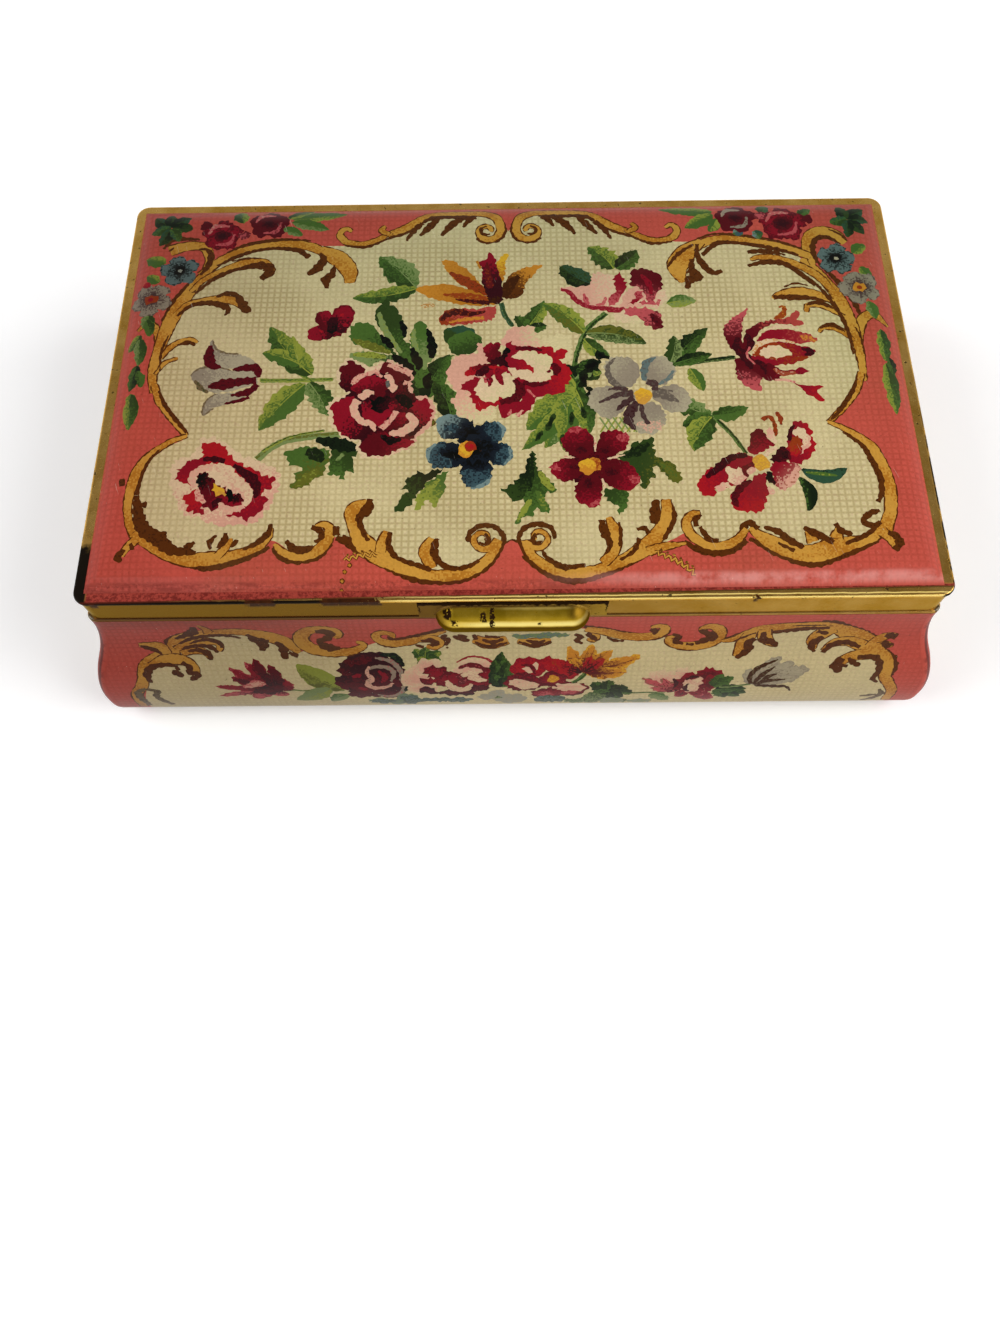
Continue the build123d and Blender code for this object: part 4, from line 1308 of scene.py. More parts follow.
def lily(s):
    """The orange lily at the top: amber petals with rust and brown throats."""
    blot(s, -19.4, 21.0, 1.9, 0.8, "amber", "cream", "even")
    patch(
        s,
        [(-3.2, 20.6), (-5.4, 20), (-9, 19.6), (-12, 19.8), (-14.6, 19.3), (-16.9, 17.6), (-16.4, 15.4),
         (-15, 14.8), (-12, 15.1), (-9, 15.4), (-6, 15.8), (-4, 16.6), (-3, 18.4)],
        "coral", "rust", 0.4,
    )
    lick(
        s, [(-16.2, 16.2), (-15, 18), (-12.6, 18.9), (-9, 18.2), (-5.6, 19)], [1.0, 1.6, 1.7, 1.2, 0.5],
        "maroon", "rust",
    )
    lick(s, [(-14.4, 15.8), (-10.6, 16.6), (-6, 17)], [0.5, 1.0, 0.8], "orange", "coral")
    patch(
        s,
        [(-3.6, 22.4), (-3.6, 21), (-8, 20.6), (-13, 21.4), (-17.4, 22.6), (-22.4, 25.4), (-20, 27),
         (-15.6, 27.4), (-11, 26.2), (-7, 24.4)],
        "amber", "orange",
    )
    lick(s, [(-16, 24.2), (-11, 23.6), (-4.6, 22.2)], [0.4, 2.0, 1.7], "rust", "amber")
    lick(s, [(-13, 22.8), (-9, 22), (-4.6, 21.4)], [0.4, 1.2, 1.2], "maroon", "rust")
    patch(
        s,
        [(-4.2, 23.2), (-7, 24.4), (-10.4, 26.4), (-13.2, 28.8), (-15, 31.6), (-16.6, 34.6), (-14, 34.6),
         (-11.4, 32.8), (-9, 30.6), (-7.4, 28), (-5, 25.4)],
        "amber", "orange",
    )
    lick(s, [(-14.4, 31), (-11, 28.4), (-7, 25.6), (-4.6, 23.8)], [0.6, 2.4, 2.4, 1.0], "rust", "brown")
    patch(
        s, [(-1.8, 26.6), (-2.8, 29), (-3.2, 32), (-2.6, 34.6), (-0.2, 37), (-0.8, 33), (-1.1, 30)],
        "amber", "yellow",
    )
    patch(
        s,
        [(-1.8, 23), (-0.4, 22.6), (2.4, 23.4), (3.6, 25.6), (5, 28.6), (6.6, 30.8), (8.2, 33.2),
         (5.6, 32.6), (2.4, 31.6), (0.2, 29.8), (-1, 26.6)],
        "brown", "orange",
    )
    lick(s, [(-1, 23), (0, 26.6), (2.4, 29.6)], [1.6, 2.6, 1.0], "umber", "brown")
    lick(s, [(0, 23), (2.6, 24.2), (3.2, 26)], [1.0, 1.4, 0.5], "brown", "umber")
    patch(
        s,
        [(-2, 23), (-4.6, 22.6), (-6, 25.4), (-6.6, 28.6), (-6.4, 31.6), (-7.6, 34), (-5.6, 35),
         (-4.6, 37.2), (-3.4, 35.6), (-3, 32.6), (-2.2, 30), (-1.6, 26.6)],
        "maroon", "crimson",
    )
    lick(s, [(-5.4, 34), (-5, 30.6), (-4.6, 26)], [0.4, 1.4, 1.6], "wine", "rust")
    lick(s, [(-7.8, 34.4), (-6.9, 32)], [0.5, 0.5], "amber", "orange")
    blot(s, -3.4, 22.4, 1.8, 1.2, "umber", "maroon")


def carnation(s):
    """The pink flower at the top right: pale cups under two dark curled petals."""
    patches(
        s, 0.45,
        ([(12.2, 25.4), (14, 26.4), (17, 26), (19.6, 27), (20.2, 30), (22.6, 30.2), (25.4, 29.6), (27, 28),
          (28, 25), (27.6, 22.6), (26.6, 20), (24.6, 18.8), (21, 19), (18, 20.4), (16, 22.6)], "blush",
          "petal"),
        ([(28.4, 24.6), (30.4, 26), (32, 25), (34, 24), (37.4, 24.6), (38, 22.6), (36.6, 20), (34.8, 19.2),
          (30, 19.6), (27, 19), (26.6, 20.6)], "blush", "petal"),
        ([(24.4, 18.4), (27, 18.6), (28.6, 17.2), (31, 16.4), (31, 14.8), (28, 15), (25, 16.4)], "petal",
          "cream"),
        ([(26.8, 30.4), (27.8, 28.4), (28.4, 26.4), (28.2, 24.6), (26.8, 22.6), (25, 20.6), (23.8, 20.4),
          (23.6, 22.4), (25, 23.4), (25.8, 25.4), (25.6, 27), (25.2, 29)], "crimson", "rose"),
        ([(34, 30.8), (31.8, 31.6), (30, 30.6), (29.2, 28.6), (29.4, 26.6), (30.4, 26), (32, 24.6),
          (32.6, 22.6), (31.6, 20.6), (33, 20), (34.6, 20.4), (35, 22), (35.6, 24), (37, 25.4), (37, 27.6),
          (36, 29.6)], "wine", "rose"),
        ([(28.4, 20.6), (30, 22), (30.6, 24), (32, 24.6), (32.2, 22.6), (31, 21)], "crimson", "rose"),
        ([(27, 19.4), (29.4, 19.6), (32, 19.6), (34, 19), (35.6, 18), (36, 15.6), (36, 13), (34.6, 13),
          (32.6, 14), (31.4, 15.6), (30.4, 17), (29, 17.4), (28, 17.2)], "rose", "wine"),
    )
    shading(
        s,
        ("crimson", "rose", [(12.4, 25.4), (14.4, 24.4), (16.2, 21.8), (18.4, 20.2), (20.4, 19.6),
         (23, 19.4), (25.6, 18.8), (27.4, 19.6)], [0.6, 1.1, 1.2, 1.2, 1.0, 1.4, 1.6, 0.8]),
        ("rose", "crimson", [(17.8, 24), (18.4, 22), (19, 20.6)], [0.5, 1.0, 0.8]),
        ("rose", "blush", [(36, 21.8), (35.2, 20.2)], [0.6, 1.0]),
        ("crimson", "wine", [(32, 29.6), (33.6, 27), (34.2, 23.6)], [0.6, 1.4, 0.8]),
        ("wine", "maroon", [(33.6, 17.6), (34.8, 15.6), (35.2, 13.8)], [0.6, 1.7, 0.8]),
        ("petal", "blush", [(32.4, 22), (33, 21)], [0.3, 0.5]),
        ("petal", "blush", [(30.6, 20.8), (31.8, 22)], [0.3, 0.5]),
        ("rose", "blush", [(20.6, 20.4), (22.4, 20.8), (23.2, 23)], [0.5, 1.0, 0.4]),
    )


lily(lid_sheet)
carnation(lid_sheet)
print("with lily and carnation:", len(lid_sheet.shapes))

# %% [markdown]
# ## The lid's picture: roses
# A pink rose sits in the middle and a deep red one to its left. Their petals are laid
# from the rim to the heart, and pale curled edges go on last.
# %% Roses
def heart_rose(s):
    """The pink and crimson rose in the middle."""
    patches(
        s, 0.4,
        ([(-14.8, 2), (-14.6, 0), (-13, -3), (-12.4, -5), (-13.6, -6.8), (-12.2, -9), (-11.8, -11),
          (-9, -12.4), (-6, -12.4), (-3.8, -11.8), (-3.6, -9.6), (-5, -5), (-5, 3), (-6.4, 9.4), (-7.8, 9),
          (-7.6, 6.6), (-12.4, 5.8)], "blush", "cream"),
        ([(-2.4, 9), (-1.4, 11.4), (0.2, 13.6), (2.6, 14.4), (5.4, 14.4), (6.2, 12.6), (6.6, 10.6), (9, 11),
          (12, 12), (14.6, 10), (14.4, 7), (13.8, 4), (11, 3.4), (8, 6), (3, 7.4)], "blush", "cream"),
        ([(0.2, 0.2), (2.4, -5), (2, -7), (-2.8, -7.2), (-2.6, -10.8), (-1.4, -11.4), (-0.2, -10.6),
          (1.4, -10.4), (3, -10.6), (4.4, -9.2), (5.8, -6.8), (7, -5.6), (10.4, -5.2), (12.2, -4.6),
          (12.8, -2.8), (13.8, -1.6), (14, 0.6), (13.4, 2.6), (11.6, 3.8), (11.2, 4.8), (13, 5.2),
          (13.4, 7), (11.4, 7.6), (10.2, 6.4), (9.6, 8.2), (6.4, 8), (4.8, 8.6), (3.4, 7.8), (2.2, 8.8),
          (0.8, 8.6), (0.2, 10), (-0.8, 9), (-1.8, 6), (-2, 3)], "crimson", "red"),
        ([(-7.6, -0.2), (-9.8, -1), (-11, -2.4), (-12, -4), (-11, -3.6), (-9.6, -4), (-9.2, -6.2), (-8, -8),
          (-7.2, -9.6), (-6, -9.2), (-5, -8), (-3.4, -8.4), (-1, -7), (-2, -5), (-6, -4), (-6.6, -1)],
          "crimson", "red"),
        ([(0.2, 0), (-0.4, 2.2), (0.6, 5.2), (0.4, 5.8), (2.4, 7.2), (3.6, 7), (5.4, 7.4), (6.4, 6.4),
          (8.4, 6), (9.6, 4.8), (10, 3.6), (9.4, 2), (10, 0.6), (9, -1), (7.4, -1.8), (5.4, -1.9),
          (3.4, -1.1)], "petal", "cream"),
        ([(-6.4, -0.2), (-7.4, -1.6), (-8.2, -3.6), (-7.6, -5.4), (-6, -6.8), (-3.6, -7.2), (-2.6, -6),
          (-1.4, -6.6), (0.2, -6), (1.1, -4.6), (1.3, -2.6), (0.6, -0.4), (-0.6, 0.8), (-2, 0.8),
          (-4, 0.8)], "petal", "cream"),
        ([(-0.6, 2.6), (-1, 4.4), (0.8, 5.2), (2.4, 4.6), (3.4, 4), (4.2, 3.2), (5, 3), (5.4, 1.4),
          (5, 0.4), (4.4, 1.6), (2.6, 1.6), (1, 2)], "crimson", "red"),
        ([(-3, 4), (-4.4, 1.6), (-6, 0), (-7.8, 0.4), (-10.2, 0.4), (-10, 1.8), (-8.6, 3), (-7, 3.4),
          (-5, 3.4)], "wine", "red"),
        ([(-2.2, 5), (-3, 3), (-4.8, 3.6), (-5.6, 6), (-6.2, 8), (-5.2, 9.4), (-3.6, 9.4), (-2.6, 9.6),
          (-2.4, 7.4)], "wine", "crimson"),
        ([(-4.4, 3), (-5, 1.6), (-4, 0.6), (-1.6, 0.8), (-0.6, 1.4), (-1, 3)], "red", "crimson"),
        ([(-4.6, 3), (-4.6, 4.4), (-2.8, 5.6), (-1.6, 6), (-1.4, 7.6), (-0.4, 8), (0, 6.6), (-1.2, 5),
          (-0.8, 3.6), (0, 2.4), (-1.2, 2.6), (-2.6, 3)], "maroon", "black"),
    )
    shading(
        s,
        ("crimson", "maroon", [(-4.6, 2.2), (-5, 0), (-4.6, -1.6), (-5, -3)], [1.6, 1.6, 1.3, 0.4]),
        ("crimson", "wine", [(-2.2, 2), (-2.8, 0.6), (-2.2, -1.2), (-1.8, -2.6)], [2.0, 1.4, 1.3, 0.4]),
        ("rose", "crimson", [(-5.9, -0.2), (-5.5, -2)], [0.8, 0.4]),
        ("maroon", "wine", [(-8, 0.1), (-6.4, 1.4), (-5, 2.6)], [0.8, 2.0, 1.2]),
        ("wine", "maroon", [(0.9, -1), (2.4, -3.4), (1.4, -6), (-2.4, -7.4)], [0.9, 2.2, 1.8, 1.2]),
        ("wine", "maroon", [(3, -1.9), (5.6, -2.5), (9, -2)], [0.9, 1.2, 0.6]),
        ("wine", "maroon", [(9.8, 3.4), (10.8, 2), (10.4, 0)], [0.8, 1.9, 0.8]),
        ("wine", "maroon", [(1.4, 7.9), (4.6, 7.9), (7.6, 7.2)], [0.8, 1.0, 0.5]),
        ("rose", "blush", [(3.8, -3.7), (5.7, -6)], [0.4, 0.6]),
        ("rose", "blush", [(0.2, -9.2), (-0.5, -11)], [0.3, 0.8]),
        ("blush", "rose", [(2.8, -9.5), (1.4, -11.2)], [0.4, 0.9]),
        ("wine", "crimson", [(8.6, 0.9), (9.5, 1.5)], [0.4, 0.7]),
    )


def dark_rose(s, x=-30.0, y=-8.4, size=1.0, turn=0.0):
    """The deep red rose: dark petals with beaded pale rims round a black heart.

    It is drawn where it stands on the lid, so it is first shifted by its own middle.
    """
    a = math.radians(turn)
    across, up = 30 * math.cos(a) - 8.4 * math.sin(a), 30 * math.sin(a) + 8.4 * math.cos(a)
    s.at(x + size * across, y + size * up, turn, size)
    patches(
        s, 0.45,
        ([(-42, -8), (-40.6, -5.8), (-37.6, -4.4), (-40, -1), (-40, 3.2), (-37, 5.6), (-34, 3.6),
          (-31, 3.2), (-28.4, 4.8), (-24.6, 3), (-22.6, 1), (-22.8, -3), (-21.4, -5.4), (-18.6, -5.8),
          (-17.2, -9.4), (-18, -13.4), (-21, -16.4), (-22.4, -19), (-28, -21.8), (-33, -21.8), (-35, -19),
          (-34, -17.4), (-38, -16.4), (-41, -12)], "petal", "blush"),
        ([(-37, -4), (-33, 1), (-28, 1), (-24, -3), (-20.6, -7), (-19.6, -12), (-22.4, -17), (-27, -18.4),
          (-33, -18), (-38.6, -14), (-39.6, -8)], "maroon", "wine"),
        ([(-36.8, 5), (-37.9, 4.6), (-38.2, 3.4), (-39.6, 2.9), (-39.2, 1), (-39.6, -1), (-38.8, -3),
          (-37, -4), (-36, -3.4), (-36.8, -1.2), (-35.4, 0.2), (-33.6, 1.2), (-34, 3), (-35.2, 3.8)],
          "wine", "maroon"),
        ([(-30.4, 2.9), (-29.6, 3.8), (-28.4, 4.2), (-26.6, 3.2), (-25, 2.4), (-23.8, 1.4), (-23.2, 0.2),
          (-23.6, -2), (-23.4, -4), (-22.4, -5.4), (-22, -7), (-26, -8), (-27.6, -5.4), (-26.2, -3.4),
          (-27, -1), (-27.8, 0.8), (-29, 1.2), (-30.6, 1.4)], "wine", "maroon"),
        ([(-33, 1), (-34.4, 0), (-36.2, -1.2), (-36.6, -2.4), (-36, -4), (-35, -4.8), (-34, -3.4),
          (-31.6, -3.4), (-31.2, -4.8), (-30, -5.8), (-28.8, -5), (-28.4, -2.4), (-29, -0.6), (-30.4, -0.2),
          (-31.4, 0.8)], "crimson", "wine"),
        ([(-41.2, -8), (-40.2, -6.8), (-38.4, -6), (-36.4, -5.2), (-35.6, -6.2), (-36.4, -8), (-36, -10),
          (-34.6, -12), (-32, -14), (-31, -15), (-33.2, -16.6), (-35.4, -17), (-37, -16.6), (-39, -15),
          (-40.2, -13), (-40.4, -11)], "crimson", "maroon"),
        ([(-30.8, -12.6), (-32.2, -12), (-33.6, -10.6), (-34.2, -9), (-33.8, -7.2), (-32, -6.2),
          (-29.6, -5.4), (-27, -5.6), (-26, -8), (-26.6, -9.8), (-28, -11.8), (-29.6, -13.2)], "crimson",
          "maroon"),
        ([(-32, -6.2), (-30, -5.6), (-28, -5.6), (-27.6, -7.8), (-29, -9.6), (-30.6, -9.8), (-31.8, -8.4)],
          "black", "maroon"),
        ([(-34, -19), (-33, -17), (-31.6, -15.6), (-29.6, -15), (-28, -15.6), (-26, -16.6), (-24, -16.8),
          (-22.4, -17), (-22, -18.4), (-24, -19.4), (-26, -20), (-28, -21.4), (-30, -21.6), (-32.4, -21.2)],
          "wine", "crimson"),
        ([(-18.6, -8), (-17.8, -9.4), (-18.2, -11.4), (-19, -13), (-20.4, -14), (-21.2, -15.6),
          (-23.4, -16.4), (-24, -14), (-22.4, -12.6), (-22, -10), (-23.6, -8.6), (-25.6, -8.8), (-26, -7),
          (-22.6, -7), (-20.6, -6.2), (-19, -6.4)], "crimson", "maroon"),
        ([(-28.6, -14), (-27, -12.6), (-25.8, -10.6), (-25, -9.6), (-24, -10.4), (-23.6, -12),
          (-24.6, -13.6), (-26.4, -14), (-28, -15)], "wine", "crimson"),
    )
    shading(
        s,
        ("black", "maroon", [(-29.4, -16), (-27, -17.4), (-24.6, -17)], [0.6, 2.0, 0.5]),
        ("black", "maroon", [(-26.4, -5.2), (-24.6, -6.2), (-22.8, -8.6)], [1.0, 2.6, 1.4]),
        ("blush", "rose", [(-36.6, -1.8), (-35.6, -0.4), (-34.4, 0.6), (-32.6, 1.2), (-31.2, 1.8),
         (-30.4, 0.6), (-29.6, 0.2)], [0.6, 1.4, 1.2, 0.9, 1.1, 0.9, 0.5]),
        ("blush", "rose", [(-28.4, 3.6), (-27, 3), (-25.6, 2.2), (-24, 1.4), (-23.2, 0.2)],
         [0.8, 1.2, 1, 1, 0.5]),
        ("blush", "petal", [(-29.2, 0.1), (-28, 0.2), (-27.6, -1.4), (-27, -3.2), (-27.4, -4.2)],
         [0.7, 1.2, 1.3, 1.8, 0.7]),
        ("blush", "petal", [(-31.4, -4.2), (-33, -4.4), (-34.6, -5.8)], [0.9, 2.0, 1.5]),
        ("blush", "petal", [(-35, -6.2), (-35.8, -8), (-35.2, -10.6), (-33.4, -12.4), (-31.8, -12.6),
         (-31, -14.2), (-30.6, -14.8)], [1.6, 1.6, 1.7, 1.3, 1.4, 1.2, 0.6]),
        ("blush", "rose", [(-29.4, -14.2), (-27.8, -12.4), (-26.6, -10.6), (-26, -9.4)],
         [1.3, 1.2, 1.0, 1.3]),
        ("blush", "petal", [(-23.6, -10.2), (-22.4, -11.4), (-22, -12.6), (-23, -14), (-24.4, -15),
         (-26, -15.4), (-27.6, -15.4)], [1.1, 1.8, 1.9, 1.8, 2.0, 1.6, 0.8]),
        ("blush", "rose", [(-24, -1), (-24.4, -2.2)], [0.9, 0.5]),
        ("steel", "slate", [(-28.4, -1), (-28.1, -2.8)], [0.9, 0.6]),
    )
    s.at()


def bud(s):
    """The crimson bud at the upper left."""
    blot(s, -41.6, 15, 3.6, 3.2, "crimson", "wine", "edge", 30, 0.4)
    petal(s, (-41, 13), (-47.9, 12.3), 2.2, "crimson", "maroon", "base", -0.5, 1.2, 2.2, 0.3)
    petal(s, (-41, 13), (-45.2, 19.6), 2.2, "crimson", "wine", "left", 0.3, 1.2, 2.2, 0.3)
    petal(
        s, (-40.6, 13), (-38.9, 21.4), 2.6, "crimson", "maroon", "base", 0.2, 1.2, 2.4, 0.3, fringe="wine"
    )
    petal(s, (-42, 12.6), (-41.8, 18), 1.4, "maroon", "black", "base", 0.2, 1.2, 2.2, 0.3)
    for x, y in ((-44.6, 13.6), (-40, 18.4), (-39, 15.4)):
        blot(s, x, y, 0.8, 0.5, "red", "crimson", turn=x * 9, rough=0.2)


heart_rose(lid_sheet)
dark_rose(lid_sheet)
bud(lid_sheet)
print("with roses:", len(lid_sheet.shapes))

# %% [markdown]
# ## The lid's picture: open flowers
# Five flowers face the viewer, each a ring of petals round a yellow eye. They are laid
# over the ends of their stems.
# %% Open flowers
def anemone(s):
    """The red flower at the front left: ragged rim, pale ring and dark spots."""
    patches(
        s, 0.6,
        ([(-70.5, -16), (-66, -16.4), (-62.6, -19.5), (-57, -22.6), (-52.4, -25), (-51.4, -29), (-53, -34),
          (-56, -38), (-60, -39), (-64, -38.6), (-68, -37.2), (-72, -35.4), (-74, -32), (-76, -27),
          (-75, -22), (-71, -20.4)], "petal", "blush"),
        ([(-69.6, -17.6), (-68.2, -17.9), (-66.9, -17.2), (-65.5, -17.6), (-63.9, -18.6), (-63.5, -20.4),
          (-61.8, -21.7), (-59.4, -23.6), (-56.6, -25.4), (-54.4, -26.5), (-52.6, -26.9), (-52.5, -28.3),
          (-53.4, -29.7), (-55.1, -30.2), (-54.8, -31.5), (-53.4, -32.6), (-54.4, -34), (-55, -35.8),
          (-56.6, -36.9), (-58.2, -37.9), (-59.2, -36.9), (-60.9, -36.9), (-62.6, -36.3), (-60.1, -35.4),
          (-58.4, -34.4), (-57.3, -31.9), (-57.5, -29.7), (-58.7, -27.6), (-60.9, -26.1), (-62.3, -24.4),
          (-64.4, -23.1), (-66.2, -22.9), (-68.7, -23.3), (-69.4, -20)], "red", "crimson"),
        ([(-72.6, -22), (-71.8, -22.6), (-69.1, -21.1), (-68.7, -23.3), (-70.1, -24.7), (-71.2, -26.5),
          (-70.9, -29), (-70.3, -29.7), (-71.9, -28.6), (-73.4, -27.2), (-75, -26.3), (-73.9, -25.1),
          (-74.4, -24.4), (-73.4, -23.3)], "crimson", "red"),
        ([(-71.6, -30.6), (-70, -30), (-69.1, -31.5), (-68.4, -33.3), (-67.3, -35.4), (-68, -36.3),
          (-69.8, -35.3), (-71.2, -34.5), (-71.4, -32.9), (-73, -32.4), (-72.1, -31.7)], "red", "crimson"),
        ([(-70, -25.6), (-67.4, -25.2), (-64, -28), (-60, -31), (-58.8, -33), (-60, -34.6), (-63, -34.6),
          (-66, -34.8), (-68, -33), (-69, -30.4), (-70, -28)], "wine", "crimson"),
        ([(-68.6, -24.6), (-66, -24), (-63.6, -25), (-61, -27.6), (-58.8, -29.6), (-58.4, -31.6),
          (-60, -32), (-62, -30.4), (-64.6, -28.4), (-66.8, -27), (-67.6, -25.6)], "petal", "blush"),
        ([(-70, -26), (-68.6, -25.4), (-67, -26.2), (-66, -27.6), (-66.4, -29), (-68, -30), (-69.4, -28.6)],
          "black", "wine"),
        ([(-62.6, -30), (-61, -31), (-59.4, -31.6), (-59, -33), (-60.4, -33.6), (-62.4, -32.4), (-63, -31)],
          "black", "wine"),
        ([(-65.4, -32), (-63.8, -32), (-63.4, -33.6), (-65, -34.4), (-66.4, -33.4)], "maroon", "wine"),
        ([(-66, -28.2), (-65, -29), (-63.4, -29.6), (-62.6, -31), (-64, -31.4), (-65.6, -30.6),
          (-66.4, -29.4)], "yellow", "gold"),
    )
    shading(
        s,
        ("blush", "petal", [(-70.2, -29.2), (-71, -26.6), (-69.6, -24.6), (-67.4, -24), (-66, -23.6)],
         [1.0, 1.5, 1.4, 1.6, 1.2]),
        ("petal", "blush", [(-66.6, -23.8), (-64, -24.6), (-62.4, -26.4), (-60.4, -28), (-58.4, -30),
         (-57.8, -32), (-58.6, -34)], [1.4, 2.0, 1.8, 2.0, 1.9, 1.5, 1.0]),
        ("blush", "petal", [(-58.6, -34), (-61, -34.8), (-63.4, -34.2), (-64, -33)], [0.8, 1.2, 1.3, 0.8]),
        ("blush", "rose", [(-69.6, -29.8), (-68.8, -31.6), (-67.4, -33)], [0.8, 1.6, 0.7]),
        ("maroon", "wine", [(-62, -23.4), (-60, -25), (-57.4, -27.2), (-56.2, -29.6), (-56.4, -32)],
         [0.7, 1.7, 2.2, 1.8, 0.8]),
        ("maroon", "wine", [(-69, -21.8), (-66.6, -21.8), (-64, -22.4)], [0.8, 1.5, 1.0]),
    )


def dogwood(s):
    """The red flower at the front right: five curled petals with pale insides."""
    patches(
        s, 0.4,
        ([(54.8, -15.4), (56.9, -15.4), (57.3, -17.6), (59.1, -19.4), (58, -20.1), (56.6, -21.1),
          (54.8, -21.9), (53.2, -21.5), (53.2, -19), (53.7, -16.9)], "wine", "crimson"),
        ([(57.2, -15.6), (58.6, -15.4), (59.4, -18), (59.2, -19.4), (57.6, -17.6)], "blush", "petal"),
        ([(61.9, -19.4), (62.6, -16.1), (63.7, -14), (65.1, -13.3), (66.9, -14.2), (67.6, -15.8),
          (67.5, -17.6), (68.2, -19.7), (67.3, -21.9), (65.9, -23.3), (64.4, -24.7), (62.6, -24.4),
          (61.2, -23.3), (60.9, -21.1)], "crimson", "red"),
        ([(63.2, -16.1), (64.4, -15.3), (65.9, -15.6), (66.9, -17.6), (66.9, -19.4), (65.5, -21.1),
          (64.1, -22.6), (64.8, -20.8), (65.1, -18.3), (64.1, -17.2)], "petal", "blush"),
        ([(64.4, -17.4), (65.1, -18.3), (64.8, -20.8), (63.4, -22.6), (62.2, -22), (62, -20), (63, -18.2)],
          "rust", "red"),
        ([(58.6, -22), (60.4, -20), (62, -21), (62, -23.4), (60.6, -24.2), (58.6, -24.4), (57.6, -23.4)],
          "maroon", "wine"),
        ([(53.9, -23.3), (52.6, -21.9), (50.5, -21.7), (48.5, -22.2), (47.3, -23.6), (45.1, -25.1),
          (42.6, -26.9), (41.2, -29), (41.2, -31.1), (42.3, -32.6), (44.8, -32.4), (45, -31.1),
          (47.3, -30.4), (50.1, -30), (52.6, -27.6), (54.1, -26.1)], "crimson", "red"),
        ([(47.6, -25.1), (49.1, -25.8), (50.9, -25.4), (54.1, -26.1), (51.9, -28.3), (49.8, -29.7),
          (48.4, -29.4), (47.6, -27.2)], "petal", "blush"),
        ([(44.8, -30.6), (46.6, -29), (48.4, -30.2), (47, -30.8), (45.5, -31.9)], "blush", "petal"),
        ([(54.6, -26.9), (56.2, -27.2), (55.9, -29), (56.6, -31.1), (56.2, -32.6), (55.5, -34),
          (55.1, -36.1), (53.7, -37), (51.9, -36.9), (49.1, -36.1), (47.8, -34.4), (48.4, -31.9),
          (50.5, -30.1), (52.6, -29)], "crimson", "red"),
        ([(57.6, -24.4), (60.5, -24), (62.6, -24.7), (64.4, -25.8), (63.4, -27.2), (63, -29.4),
          (61.2, -30.4), (59.8, -31.7), (58.4, -30.8), (57.6, -27.6)], "crimson", "blush"),
        ([(56.4, -26.6), (57.6, -27.4), (58.4, -29.4), (57.8, -30.2), (56.4, -28.8)], "black", "maroon"),
    )
    shading(
        s,
        ("rust", "brown", [(57, -13), (58.4, -12), (59.4, -13.4), (59.6, -16), (59.4, -17.4)],
         [0.9, 0.9, 0.8, 0.9, 0.5]),
        ("rust", "wine", [(60.2, -10.8), (61, -12.4), (61, -14.4)], [0.5, 1.1, 0.5]),
        ("maroon", "wine", [(52.6, -22.3), (49, -22.9), (46, -25.4), (43, -28)], [1.0, 1.5, 1.7, 0.9]),
        ("wine", "maroon", [(52.8, -28.8), (50, -31), (48.7, -33.6), (49.3, -35.6)], [0.8, 1.5, 1.5, 0.8]),
        ("wine", "crimson", [(53.8, -24.4), (51.4, -26.2), (52.4, -28)], [0.9, 1.1, 0.5]),
        ("maroon", "wine", [(62.4, -18.6), (63, -15.8), (64, -14.4)], [0.9, 0.9, 0.5]),
        ("blush", "rust", [(63.4, -25.6), (62.4, -28), (60.4, -30.4)], [1.0, 1.6, 1.4]),
        ("petal", "blush", [(56.6, -22.6), (58.2, -20.9), (59.6, -20.6)], [0.6, 1.1, 0.5]),
        ("maroon", "black", [(61, -21.4), (61, -23.4)], [1.4, 1.2]),
        ("blush", "petal", [(56.4, -30.6), (57.4, -32.4)], [0.8, 1.2]),
    )
    blot(s, 55.6, -24.3, 1.9, 2.1, "yellow", "gold", rough=0.3)


